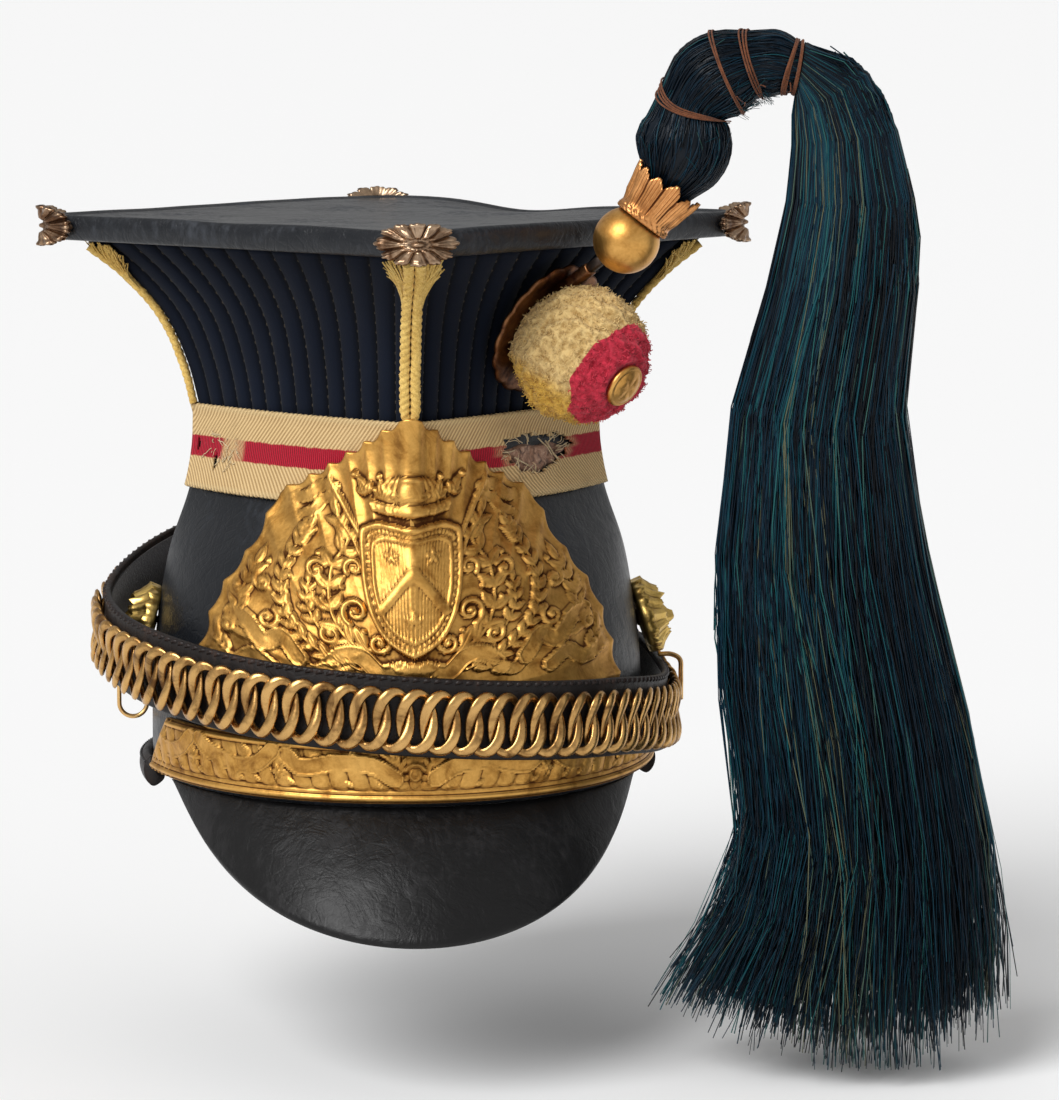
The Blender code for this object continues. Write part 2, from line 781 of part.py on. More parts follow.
def peak(material, collection):
    """The leather peak, sewn under the front of the skull."""
    mesh = bmesh.new()
    rows = []
    for station in range(PEAK_STATIONS):
        side = 2 * station / (PEAK_STATIONS - 1) - 1
        turn = side * PEAK_SPAN
        out_way = wall_normal(0.0, turn) * (1.0 - PEAK_FORWARD) + Vector((0, -PEAK_FORWARD, 0))
        out_way.normalize()
        slope = PEAK_SLOPE + PEAK_SIDE_STEEPER * side ** 2
        length = PEAK_LENGTH * max(1.0 - side ** 2, PEAK_END) ** PEAK_FULLNESS
        away = out_way * math.cos(slope) - Vector((0, 0, math.sin(slope)))
        up_way = out_way * math.sin(slope) + Vector((0, 0, math.cos(slope)))
        below = Vector((0, 0, TOUCH))
        edge = wall_point(0.0, turn) - below
        points = (wall_point(0.0, turn, -LEATHER) - below, edge,
                  edge + away * length * 0.5 + up_way * length * PEAK_BOW, edge + away * length)
        rows.append([mesh.verts.new(point) for point in points])
    for first, second in zip(rows, rows[1:]):
        for index in range(len(first) - 1):
            mesh.faces.new((first[index], first[index + 1], second[index + 1], second[index]))
    data = bpy.data.meshes.new("peak")
    mesh.to_mesh(data)
    mesh.free()
    piece = add_object("peak", data, material, collection)
    solidify = piece.modifiers.new("wall", "SOLIDIFY")
    solidify.thickness = LEATHER
    solidify.offset = -1.0
    solidify.use_even_offset = True
    return piece


def rim_roll(material, collection):
    """The rolled leather edge round the sides and back of the skull's base."""
    low_turn = STRIP_RIGHT + ROLL_CLEAR
    high_turn = 4.0 + STRIP_LEFT - ROLL_CLEAR
    rings = []
    for station in range(ROLL_STATIONS):
        turn = mix(low_turn, high_turn, station / (ROLL_STATIONS - 1))
        ring = []
        for out, rise in ROLL_SECTION:
            point = wall_point(0.0, turn, out * ROLL_PROUD)
            point.z = rise * ROLL_RISE
            ring.append(point)
        rings.append(ring)
    return add_loft("rim_roll", rings, material, collection)


def plate_seat(z):
    """How far the plate's back stands off the wall: close to the skull, clear of the lace above."""
    over_lace = LACE_THICKNESS + PLATE_SEAT
    over = smooth_step(LACE_BASE - SEAT_RISE_START, LACE_BASE - SEAT_RISE_END, z)
    return mix(PLATE_SEAT, over_lace, over)


def plate_point(turn, z, out):
    """A point of the plate by its turn, height and distance off the plate's back."""
    return wall_point(z, turn, plate_seat(z) + out)


def figure_point(facets, across, up, out):
    """A point off the rayed sheet's own facets, across and up as shares of the plate's run."""
    run = PLATE_TOP - STRIP_FOOT
    z = STRIP_FOOT + up * run
    turn = turn_at(z, across * run)
    way = wall_normal(z, turn)
    start = wall_point(z, turn, PLATE_PROBE)
    hit = facets.ray_cast(start, -way)[0] or facets.find_nearest(start)[0]
    return hit + way * out


def sheet_outline():
    """The right half of the rayed sheet's outline, as turns and heights."""
    run = PLATE_TOP - PLATE_FOOT
    points = []
    for across, up in PLATE_OUTLINE:
        z = PLATE_FOOT + up * run
        points.append((turn_at(z, across * PLATE_HALF_WIDTH), z))
    return points


def outline_reach(outline, angle):
    """How far the sheet's edge lies from its heart at an angle, a turn counted as QUARTER_RUN."""
    way = (abs(math.cos(angle)), math.sin(angle))
    reaches = []
    for start, end in zip(outline, outline[1:]):
        first = (start[0] * QUARTER_RUN, start[1] - PLATE_HEART)
        edge = ((end[0] - start[0]) * QUARTER_RUN, end[1] - start[1])
        cross = way[0] * edge[1] - way[1] * edge[0]
        if abs(cross) < 1e-9:
            continue
        reach = (first[0] * edge[1] - first[1] * edge[0]) / cross
        share = (first[0] * way[1] - first[1] * way[0]) / cross
        if reach > 0 and -1e-6 <= share <= 1 + 1e-6:
            reaches.append(reach)
    return max(reaches)


def fan_cap(mesh, ring, point):
    """Triangles from a ring to one point."""
    tip = mesh.verts.new(point)
    for index, vertex in enumerate(ring):
        mesh.faces.new((vertex, ring[(index + 1) % len(ring)], tip))


def raise_figure(mesh, facets, half, height):
    """A raised figure rooted in the sheet, from the right half of its outline."""
    outline = list(half) + [(-across, up) for across, up in reversed(half[1:-1])]
    count = len(outline)
    middle = sum(up for _, up in outline) / count
    rows = []
    for scale, out in ((1.0, -RELIEF_ROOT), (0.86, height)):
        ring = []
        for across, up in outline:
            point = figure_point(facets, across * scale, mix(middle, up, scale), out)
            ring.append(mesh.verts.new(point))
        rows.append(ring)
    for index in range(count):
        after = (index + 1) % count
        mesh.faces.new((rows[0][index], rows[0][after], rows[1][after], rows[1][index]))
    fan_cap(mesh, rows[0], figure_point(facets, 0.0, middle, -RELIEF_ROOT))
    fan_cap(mesh, rows[1], figure_point(facets, 0.0, middle, height * 1.2))


def raise_rib(mesh, path, half_wide, height, leafy, place):
    """A raised rib along a path; place turns its two measures and a height into a point."""
    rings = []
    for index, (across, up) in enumerate(path):
        before = path[max(index - 1, 0)]
        after = path[min(index + 1, len(path) - 1)]
        length = math.hypot(after[0] - before[0], after[1] - before[1])
        half = half_wide * (1.0 - leafy * (-1) ** index)
        aside = (-(after[1] - before[1]) / length * half, (after[0] - before[0]) / length * half)
        section = ((-1.0, -RELIEF_ROOT), (1.0, -RELIEF_ROOT), (0.75, height), (-0.75, height))
        rings.append([place(across + aside[0] * side, up + aside[1] * side, out)
                      for side, out in section])
    fill_loft(mesh, rings)


def strip_point(share, rise, out):
    """A point off the base strip: share of its end on that side, and share of its height."""
    end = STRIP_RIGHT if share > 0 else -STRIP_LEFT
    z = STRIP_FOOT + rise * STRIP_HEIGHT
    return plate_point(share * end, z, PLATE_THICKNESS + STRIP_PROUD + out)


def plate_figures(facets, material, cutters):
    """The raised figures: shield, coronet, knot, lances, pennons, laurels and bare ribbons."""
    mesh = bmesh.new()
    raise_figure(mesh, facets, SHIELD_OUTLINE, RELIEF * 1.6)
    raise_figure(mesh, facets, CORONET_OUTLINE, RELIEF * 1.4)
    raise_figure(mesh, facets, KNOT_OUTLINE, RELIEF * 1.7)

    def off_sheet(across, up, out):
        return figure_point(facets, across, up, out)

    for side in (1, -1):
        for path, half_wide, height, leafy in PLATE_RIBS:
            raise_rib(mesh, [(side * across, up) for across, up in path], half_wide,
                      RELIEF * height, leafy, off_sheet)
        raise_rib(mesh, [(side * share, rise) for share, rise in STRIP_PATH], STRIP_RIBBON, RELIEF,
                  0.0, strip_point)
    data = close_mesh(mesh, "plate_figures", flat=True)
    figures = add_object("plate_figures", data, material, cutters)
    figures.hide_render = True
    figures.display_type = "WIRE"
    return figures


def plate_strip(material, cutters):
    """The strip along the plate's foot, its left end cut on the slant."""
    corners = ((-STRIP_PROUD, 0.0), (PLATE_THICKNESS + STRIP_PROUD, 0.0),
               (PLATE_THICKNESS + STRIP_PROUD, 1.0), (-STRIP_PROUD, 1.0))
    rings = []
    for station in range(STRIP_STATIONS):
        share = station / (STRIP_STATIONS - 1)
        ring = []
        for out, rise in corners:
            turn = mix(STRIP_LEFT + STRIP_SLANT * rise, STRIP_RIGHT, share)
            ring.append(plate_point(turn, STRIP_FOOT + rise * STRIP_HEIGHT, out))
        rings.append(ring)
    strip = add_loft("plate_strip", rings, material, cutters, flat=True)
    strip.hide_render = True
    strip.display_type = "WIRE"
    return strip


def front_plate(material, collection, cutters):
    """The plate: a rayed sheet that follows the skull, joined with its strip and its figures."""
    columns = 2 * PLATE_RAYS
    outline = sheet_outline()

    def ring(share, out, ridged):
        points = []
        for index in range(columns):
            angle = math.pi / 2 + 2 * math.pi * index / columns
            reach = outline_reach(outline, angle)
            crest = index % 2 == 0
            if share == 1.0 and not crest:
                reach -= SCALLOP
            z = PLATE_HEART + math.sin(angle) * reach * share
            over_strip = smooth_step(STRIP_FOOT + STRIP_HEIGHT, PLATE_HEART, z)
            lift = RAY_DEPTH * share * ridged * over_strip if crest else 0.0
            points.append(plate_point(-math.cos(angle) * reach * share / QUARTER_RUN, z, out + lift))
        return points

    shares = [course / PLATE_COURSES for course in range(1, PLATE_COURSES + 1)]
    mesh = bmesh.new()
    rings = [ring(share, 0.0, 0.5) for share in shares]
    rings += [ring(share, PLATE_THICKNESS, 1.0) for share in reversed(shares)]
    rows = [[mesh.verts.new(point) for point in points] for points in rings]
    for lower, upper in zip(rows, rows[1:]):
        for index in range(columns):
            after = (index + 1) % columns
            mesh.faces.new((lower[index], lower[after], upper[after], upper[index]))
    fan_cap(mesh, rows[0], plate_point(0.0, PLATE_HEART, 0.0))
    fan_cap(mesh, rows[-1], plate_point(0.0, PLATE_HEART, PLATE_THICKNESS))
    bmesh.ops.recalc_face_normals(mesh, faces=mesh.faces)
    facets = BVHTree.FromBMesh(mesh)
    plate = add_object("front_plate", close_mesh(mesh, "front_plate", flat=True), material, collection)
    for part in (plate_strip(material, cutters), plate_figures(facets, material, cutters)):
        join = plate.modifiers.new(part.name, "BOOLEAN")
        join.operation = "UNION"
        join.object = part
        join.use_self = True
    return plate


def loop_point(turn, out, rise):
    """A point on the chin strap's course, out from the strap's inner face and up from its middle."""
    clearance, height = read_table(LOOP_COURSE, turn % 4.0)
    z = height * LOOP_RISE
    point = wall_point(z, turn, clearance * LOOP_CLEARANCE + out)
    point.z = z + rise
    return point


def chin_strap(material, collection):
    """The leather strap that backs the chain, one loop round the skull."""
    low = -STRAP_HEIGHT / 2 + STRAP_SHOWS
    high = STRAP_HEIGHT / 2 + STRAP_SHOWS
    corners = ((0.0, low), (STRAP_THICKNESS, low), (STRAP_THICKNESS, high), (0.0, high))
    rings = [[loop_point(4 * index / STRAP_COLUMNS, out, rise) for out, rise in corners]
             for index in range(STRAP_COLUMNS)]
    return add_loft("chin_strap", rings, material, collection, loop=True)


def chin_chain(material, collection):
    """The body of the interlocked chain on the strap, with a ridge for each pair of links."""
    columns = 2 * CHAIN_RIDGES
    back = STRAP_THICKNESS + TOUCH * 2
    half = CHAIN_HEIGHT / 2
    rings = []
    for index in range(columns):
        top = back + CHAIN_THICKNESS * (1.0 if index % 2 == 0 else 1.0 - CHAIN_HOLLOW)
        shoulder = top - CHAIN_THICKNESS * (1.0 - CHAIN_SHOULDER)
        turn = 4 * index / columns
        shape = ((back, -half), (shoulder, -half), (top, 0.0), (shoulder, half), (back, half))
        rings.append([loop_point(turn, out, rise) for out, rise in shape])
    return add_loft("chin_chain", rings, material, collection, loop=True)


def boss_frame(side):
    """The seat, outward way and up way of a side boss."""
    seat = wall_point(BOSS_HEIGHT, 1.0)
    seat = Vector((seat.x * side, BOSS_BACK, BOSS_HEIGHT))
    out_way = Vector((side * math.cos(BOSS_TILT), 0.0, math.sin(BOSS_TILT)))
    up_way = Vector((-side * math.sin(BOSS_TILT), 0.0, math.cos(BOSS_TILT)))
    return seat, out_way, up_way


def side_boss(name, side, material, collection):
    """A beast-mask boss on its post: mane, brow and muzzle as rings along its axis."""
    seat, out_way, up_way = boss_frame(side)
    along_way = Vector((0.0, 1.0, 0.0))
    sections = [(TOUCH / 2, BOSS_POST, 0.0, 0.0), (BOSS_STANDOFF, BOSS_POST, 0.0, 0.0)]
    for out, radius, drop, lobes in BOSS_SECTIONS:
        sections.append((BOSS_STANDOFF + BOSS_DEPTH * out, BOSS_RADIUS * radius,
                         BOSS_RADIUS * drop, lobes))
    rings = []
    for out, radius, drop, lobes in sections:
        ring = []
        for index in range(BOSS_COLUMNS):
            angle = 2 * math.pi * index / BOSS_COLUMNS
            reach = radius * (1.0 - lobes * (index % 2))
            ring.append(seat + out_way * out + along_way * math.cos(angle) * reach
                        + up_way * (math.sin(angle) * reach - drop))
        rings.append(ring)
    return add_loft(name, rings, material, collection)


def boss_foot(side):
    """The lowest point of a side boss's mane."""
    seat, out_way, up_way = boss_frame(side)
    mane = BOSS_SECTIONS[1]
    return seat + out_way * (BOSS_STANDOFF + BOSS_DEPTH * mane[0]) - up_way * BOSS_RADIUS * mane[1]


def chain_hook(material, collection):
    """The wire hook that holds the chain to the right boss, down over the chain's face."""
    foot = boss_foot(1)
    outer = STRAP_THICKNESS + TOUCH * 2 + CHAIN_THICKNESS + TOUCH * 2 + HOOK_WIRE
    turn = 1.0 + BOSS_BACK / RIM_HALF_DEPTH * 2 / math.pi
    low = loop_point(turn, outer, CHAIN_HEIGHT * 0.02)
    high = loop_point(turn, outer, CHAIN_HEIGHT * 0.44)
    start = Vector((foot.x, BOSS_BACK, foot.z - HOOK_WIRE - TOUCH))
    path = [
        start,
        Vector((mix(start.x, high.x, 0.55), BOSS_BACK, start.z)),
        Vector((high.x - HOOK_WIRE * 0.4, high.y, mix(start.z, high.z, 0.3))),
        high,
        low,
    ]
    return add_tube("chain_hook", path, HOOK_WIRE, material, collection)


def circle_points(centre, first_way, second_way, radius, segments):
    """Points round a circle in the plane of two ways."""
    points = []
    for index in range(segments):
        angle = 2 * math.pi * index / segments
        points.append(centre + first_way * math.cos(angle) * radius
                      + second_way * math.sin(angle) * radius)
    return points


def hanging_ring(material, collection):
    """The long ring under the left boss and the eye that carries it, linked through each other."""
    foot = boss_foot(-1)
    eye_centre = foot - Vector((0, 0, EYE_WIRE + TOUCH + EYE_RADIUS))
    low_wire = eye_centre - Vector((0, 0, EYE_RADIUS))
    ring_top = low_wire + Vector((0, 0, EYE_WIRE + TOUCH + RING_WIRE))
    across = Vector((1, 0, 0))
    along = Vector((0, 1, 0))
    up = Vector((0, 0, 1))
    upper = ring_top - up * RING_RADIUS
    lower = upper - up * RING_STRETCH
    path = []
    segments = 6
    for middle, start in ((upper, 0.0), (lower, math.pi)):
        for index in range(segments + 1):
            angle = start + math.pi * index / segments
            path.append(middle + across * math.cos(angle) * RING_RADIUS
                        + up * math.sin(angle) * RING_RADIUS)
    eye = add_tube("ring_eye", circle_points(eye_centre, along, up, EYE_RADIUS, 10), EYE_WIRE,
                   material, collection, cyclic=True)
    ring = add_tube("hook_ring", path, RING_WIRE, material, collection, cyclic=True)
    return eye, ring


def pompom_frame():
    """Centre, outward axis, level way and up way of the pompom, square to the flaring face."""
    centre = face_point(POMPOM_OUT, POMPOM_HEIGHT)
    level_out = face_point(1.0, 0.0)
    axis = level_out * math.cos(POMPOM_TILT) - Vector((0, 0, math.sin(POMPOM_TILT)))
    up_way = level_out * math.sin(POMPOM_TILT) + Vector((0, 0, math.cos(POMPOM_TILT)))
    return centre, axis, up_way.cross(axis).normalized(), up_way


def socket_frame():
    """A point on the socket's middle line, its way towards the ball, and the way across it."""
    centre, _, _, _ = pompom_frame()
    level_out = face_point(1.0, 0.0)
    way = level_out * math.cos(SOCKET_TILT) + Vector((0, 0, math.sin(SOCKET_TILT)))
    over = Vector((0, 0, math.cos(SOCKET_TILT))) - level_out * math.sin(SOCKET_TILT)
    return centre + over * SOCKET_OVER_POMPOM, way, over


def pompom(material, collection):
    """The woollen ball in low lumps, flat on its backing and socket, dimpled for the button."""
    centre, axis, level, up_way = pompom_frame()
    _, _, over = socket_frame()
    socket_limit = SOCKET_OVER_POMPOM - SOCKET_SIDE / 2 - TOUCH
    seat = button_seat()
    mesh = bmesh.new()
    bmesh.ops.create_uvsphere(mesh, u_segments=20, v_segments=12, radius=POMPOM_RADIUS)
    for vertex in mesh.verts:
        x, y, z = vertex.co
        wide = math.hypot(x, y)
        swirl = math.sin(5 * math.atan2(y, x) + 4 * z / POMPOM_RADIUS)
        lump = 1.0 + POMPOM_LUMP * swirl * wide / POMPOM_RADIUS
        out = max(z * lump, -POMPOM_FLAT)
        if wide < BUTTON_SEAT_RADIUS and z > 0:
            out = seat
        point = level * x * lump + up_way * y * lump + axis * out
        past = point.dot(over) - socket_limit
        if past > 0:
            point -= over * past
        vertex.co = centre + point
    return add_object("pompom", close_mesh(mesh, "pompom"), material, collection)


def button_seat():
    """How far the flat under the button lies out from the pompom's centre."""
    return math.sqrt(POMPOM_RADIUS ** 2 - BUTTON_SEAT_RADIUS ** 2) - DIMPLE


def turn_towards(axis):
    """The rotation that turns +Z towards an axis."""
    return axis.to_track_quat("Z", "Y").to_matrix().to_4x4()


def pompom_button(material, collection):
    """The domed brass button in the middle of the pompom, turned from its profile."""
    centre, axis, _, _ = pompom_frame()
    mesh = bmesh.new()
    points = [mesh.verts.new((BUTTON_RADIUS * wide, 0.0, BUTTON_RISE * rise))
              for wide, rise in BUTTON_PROFILE]
    for first, second in zip(points, points[1:]):
        mesh.edges.new((first, second))
    data = bpy.data.meshes.new("pompom_button")
    mesh.to_mesh(data)
    mesh.free()
    button = add_object("pompom_button", data, material, collection)
    button.matrix_world = (Matrix.Translation(centre + axis * (button_seat() + TOUCH))
                           @ turn_towards(axis))
    screw = button.modifiers.new("turned", "SCREW")
    screw.steps = 16
    screw.render_steps = 16
    screw.use_merge_vertices = True
    screw.merge_threshold = 0.00001
    return button


def pompom_backing(material, collection, cutters):
    """The brass disc behind the pompom, in one with the square socket that rises to the plume."""
    centre, axis, _, _ = pompom_frame()
    seat, way, over = socket_frame()
    mesh = bmesh.new()
    bmesh.ops.create_cone(mesh, cap_ends=True, segments=20, radius1=BACKING_RADIUS,
                          radius2=BACKING_RADIUS, depth=BACKING_THICKNESS)
    backing = add_object("pompom_backing", close_mesh(mesh, "pompom_backing"), material, collection)
    out = -POMPOM_FLAT - TOUCH - BACKING_THICKNESS / 2
    backing.matrix_world = Matrix.Translation(centre + axis * out) @ turn_towards(axis)
    head = ball_centre() - way * (BALL_RADIUS + TOUCH * 2 + STEM_LENGTH + TOUCH)
    high = (head - seat).dot(way)
    low = -SOCKET_REACH
    aside = way.cross(over) * SOCKET_SIDE / 2
    rise = over * SOCKET_SIDE / 2
    rings = []
    for along in (low, high):
        middle = seat + way * along
        rings.append([middle + aside + rise, middle - aside + rise,
                      middle - aside - rise, middle + aside - rise])
    socket = add_loft("plume_socket", rings, material, cutters)
    socket.hide_render = True
    socket.display_type = "WIRE"
    join = backing.modifiers.new("plume_socket", "BOOLEAN")
    join.operation = "UNION"
    join.object = socket
    return backing


def ball_centre():
    """The middle of the plume socket's ball, in line with the socket."""
    seat, way, _ = socket_frame()
    level_out = face_point(1.0, 0.0)
    along = (BALL_OUT - seat.dot(level_out)) / way.dot(level_out)
    return seat + way * along


def plume_stem(material, collection):
    """The dark square stem that shows between the socket and the ball."""
    _, way, over = socket_frame()
    head = ball_centre() - way * (BALL_RADIUS + TOUCH * 2)
    aside = way.cross(over) * STEM_SIDE / 2
    rise = over * STEM_SIDE / 2
    rings = []
    for middle in (head - way * STEM_LENGTH, head):
        rings.append([middle + aside + rise, middle - aside + rise,
                      middle - aside - rise, middle + aside - rise])
    return add_loft("plume_stem", rings, material, collection)


def plume_ways():
    """The bearing along which the plume leans, its level cross way, and the socket's axis."""
    bearing = Vector((math.cos(PLUME_BEARING), math.sin(PLUME_BEARING), 0.0))
    across = Vector((-bearing.y, bearing.x, 0.0))
    axis = bearing * math.sin(PLUME_LEAN) + Vector((0, 0, math.cos(PLUME_LEAN)))
    return bearing, across, axis


def plume_ball(material, collection):
    """The polished ball of the plume socket."""
    mesh = bmesh.new()
    bmesh.ops.create_uvsphere(mesh, u_segments=16, v_segments=9, radius=BALL_RADIUS)
    bmesh.ops.translate(mesh, verts=mesh.verts, vec=ball_centre())
    return add_object("plume_ball", close_mesh(mesh, "plume_ball"), material, collection)


def plume_cup(material, collection):
    """The flared cup of upright leaves on the ball, which holds the hair."""
    _, across, axis = plume_ways()
    second = axis.cross(across)
    ball = ball_centre()
    start = math.sqrt(BALL_RADIUS ** 2 - (CUP_NECK_RADIUS - CUP_WALL - TOUCH) ** 2) + TOUCH
    columns = 2 * CUP_LEAVES

    def ring(along, spread, wall):
        points = []
        for index in range(columns):
            leaf = index % 2 == 0
            radius = mix(CUP_NECK_RADIUS, CUP_MOUTH_RADIUS, spread) - wall
            radius += CUP_FLUTE * spread if leaf else 0.0
            length = CUP_LENGTH * along * (1.0 if leaf or along < 1.0 else CUP_NOTCH)
            angle = 2 * math.pi * index / columns
            points.append(ball + axis * (start + length)
                          + across * math.cos(angle) * radius + second * math.sin(angle) * radius)
        return points

    rings = [ring(along, spread, 0.0) for along, spread in CUP_SECTIONS]
    rings += [ring(along, spread, CUP_WALL) for along, spread in reversed(CUP_SECTIONS)]
    return add_loft("plume_cup", rings, material, collection, loop=True)


def head_station(index):
    """Centre, direction and radius of the plume's bound head at a row of its table."""
    bearing, _, axis = plume_ways()

    def place(row):
        return (ball_centre() + bearing * row[0] * HEAD_REACH + Vector((0, 0, row[1] * HEAD_RISE)))

    rows = HEAD_STATIONS
    before = place(rows[max(index - 1, 0)])
    after = place(rows[min(index + 1, len(rows) - 1)])
    way = axis if index < 2 else (after - before).normalized()
    return place(rows[index]), way, rows[index][2] * HEAD_RADIUS


def head_ring(index):
    """A ring of the bound head, its locks as ripples."""
    _, across, _ = plume_ways()
    centre, way, radius = head_station(index)
    second = way.cross(across)
    points = []
    for column in range(2 * HEAD_LOCKS):
        angle = math.pi * column / HEAD_LOCKS
        size = radius * (1.0 + HEAD_RIPPLE * (-1) ** column)
        points.append(centre + across * math.cos(angle) * size + second * math.sin(angle) * size)
    return points


def bound_ring(index, towards, out):
    """A ring off the bound head's surface, half a binding's width from a row towards the next."""
    centre = head_station(index)[0]
    points = []
    for here, there in zip(head_ring(index), head_ring(index + towards)):
        along = (there - here).normalized() * BINDING_HALF_WIDE
        points.append(here + along + (here - centre).normalized() * out)
    return points


def plume_head(material, collection):
    """The bound, curved head of the plume."""
    rings = [head_ring(index) for index in range(len(HEAD_STATIONS))]
    return add_loft("plume_head", rings, material, collection)


def plume_bindings(material, collection):
    """The threads that bind the head."""
    pieces = []
    outer = BINDING_CLEAR + BINDING_PROUD
    for number, index in enumerate(BOUND_STATIONS, start=1):
        rings = [
            bound_ring(index, -1, BINDING_CLEAR),
            bound_ring(index, -1, outer),
            bound_ring(index, 1, outer),
            bound_ring(index, 1, BINDING_CLEAR),
        ]
        pieces.append(add_loft(f"plume_binding_{number}", rings, material, collection, loop=True))
    return pieces


def plume_tail(material, collection):
    """The hanging hair in locks, ragged at its ends."""
    bearing, across, _ = plume_ways()
    columns = 2 * TAIL_LOCKS
    end, end_way, end_radius = head_station(len(HEAD_STATIONS) - 1)

    def section(middle, way, half, deep, ragged, fluted):
        second = way.cross(across)
        ring = []
        for column in range(columns):
            angle = 2 * math.pi * column / columns
            lock = 1.0 + fluted * (-1) ** column
            point = (middle + across * math.cos(angle) * deep * lock
                     + second * math.sin(angle) * half * lock)
            point.z += ragged * (math.sin(angle * 3 + 1.0) + 0.6 * (-1) ** column)
            ring.append(point)
        return ring

    rings = [section(end + end_way * TOUCH * 2, end_way, end_radius, end_radius, 0.0, 0.0)]
    for fall, swing, wide, lean in TAIL_STATIONS:
        tilt = lean * math.pi / 2
        way = (bearing * math.sin(tilt) - Vector((0, 0, math.cos(tilt)))).normalized()
        half = wide * TAIL_HALF_WIDTH
        deep = max(half * TAIL_DEPTH_SHARE, end_radius)
        middle = end + bearing * swing * TAIL_SWING - Vector((0, 0, fall * TAIL_LENGTH))
        ragged = TAIL_RAGGED * smooth_step(0.90, 1.0, fall)
        fluted = LOCK_DEPTH * smooth_step(0.0, 0.2, fall)
        rings.append(section(middle, way, half, deep, ragged, fluted))
    middle = sum(rings[-1], Vector()) / columns
    rings.append([mix(point, middle, 0.5) - Vector((0, 0, TAIL_RAGGED)) for point in rings[-1]])
    return add_loft("plume_tail", rings, material, collection)


def clear_scene():
    """Remove whatever the scene holds."""
    for piece in list(bpy.data.objects):
        bpy.data.objects.remove(piece, do_unlink=True)


def main():
    """Build every piece of the cap."""
    clear_scene()
    collection = bpy.data.collections.new("lance_cap")
    cutters = bpy.data.collections.new("cutters")
    bpy.context.scene.collection.children.link(collection)
    bpy.context.scene.collection.children.link(cutters)
    leather = make_material("black_leather", (0.030, 0.032, 0.036), 0.45)
    cloth = make_material("navy_cloth", (0.008, 0.014, 0.030), 0.90)
    lace = make_material("cream_lace", (0.56, 0.43, 0.22), 0.80)
    lining = make_material("tan_lining", (0.36, 0.20, 0.13), 0.80)
    cord = make_material("yellow_cord", (0.60, 0.42, 0.12), 0.85)
    gilt = make_material("gilt_brass", (0.72, 0.42, 0.10), 0.30, 1.0)
    bronze = make_material("chain_brass", (0.55, 0.30, 0.12), 0.32, 1.0)
    tarnished = make_material("tarnished_brass", (0.28, 0.19, 0.13), 0.40, 1.0)
    wool = make_material("cream_wool", (0.55, 0.38, 0.13), 0.95)
    copper = make_material("copper_gilt", (0.62, 0.30, 0.12), 0.30, 1.0)
    steel = make_material("dark_iron", (0.03, 0.03, 0.03), 0.50, 0.6)
    hair = make_material("horsehair", (0.006, 0.030, 0.045), 0.45)
    thread = make_material("binding_thread", (0.16, 0.06, 0.025), 0.80)

    skull(leather, collection)
    rim_roll(leather, collection)
    peak(leather, collection)
    quilted_upper(cloth, collection)
    board(leather, collection)
    for side in SIDES:
        corner_cord(side, cord, collection)
        corner_ornament(side, tarnished, collection)
    waist_lace(lace, collection, cutters)
    worn_lining(lining, collection)
    front_plate(gilt, collection, cutters)
    chin_strap(leather, collection)
    chin_chain(bronze, collection)
    side_boss("boss_right", 1, gilt, collection)
    side_boss("boss_left", -1, gilt, collection)
    chain_hook(bronze, collection)
    hanging_ring(tarnished, collection)
    pompom(wool, collection)
    pompom_button(gilt, collection)
    pompom_backing(gilt, collection, cutters)
    plume_stem(steel, collection)
    plume_ball(gilt, collection)
    plume_cup(copper, collection)
    plume_head(hair, collection)
    plume_bindings(thread, collection)
    plume_tail(hair, collection)


main()
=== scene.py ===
"""Looks of a lance cap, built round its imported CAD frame.

The frame's origin is the middle of the skull's base opening. The peak faces -Y, +X is to the right as
seen from the front, +Z is up. Metres throughout. A turn counts quarter turns from the front towards +X.
"""

import logging
import math
from dataclasses import dataclass, field
from enum import Enum
from typing import Optional, Sequence

import bmesh
import bpy
import numpy as np
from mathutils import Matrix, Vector

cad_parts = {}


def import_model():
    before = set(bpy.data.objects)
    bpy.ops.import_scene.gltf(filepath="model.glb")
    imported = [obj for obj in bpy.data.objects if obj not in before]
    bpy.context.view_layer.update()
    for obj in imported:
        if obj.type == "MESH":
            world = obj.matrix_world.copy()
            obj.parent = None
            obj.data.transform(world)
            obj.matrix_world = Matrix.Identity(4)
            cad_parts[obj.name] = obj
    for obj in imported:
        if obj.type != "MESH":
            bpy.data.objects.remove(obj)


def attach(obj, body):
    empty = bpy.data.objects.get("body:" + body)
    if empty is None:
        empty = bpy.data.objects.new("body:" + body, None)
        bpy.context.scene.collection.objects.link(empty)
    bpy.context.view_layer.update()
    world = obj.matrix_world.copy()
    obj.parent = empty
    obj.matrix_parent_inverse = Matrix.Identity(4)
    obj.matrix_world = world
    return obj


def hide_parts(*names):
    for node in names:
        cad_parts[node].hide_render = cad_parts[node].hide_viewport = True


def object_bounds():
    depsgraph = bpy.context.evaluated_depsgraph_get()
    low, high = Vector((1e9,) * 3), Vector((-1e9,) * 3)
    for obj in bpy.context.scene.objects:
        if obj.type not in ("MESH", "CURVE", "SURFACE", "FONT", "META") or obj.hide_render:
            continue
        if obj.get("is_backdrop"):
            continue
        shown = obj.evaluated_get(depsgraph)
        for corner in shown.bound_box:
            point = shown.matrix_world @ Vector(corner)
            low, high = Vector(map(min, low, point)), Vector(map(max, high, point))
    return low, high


LOG = logging.getLogger("lance_cap")
SEED = 1816

Colour = tuple[float, float, float]
Path = Sequence[tuple[float, float]]
Value = float | np.ndarray

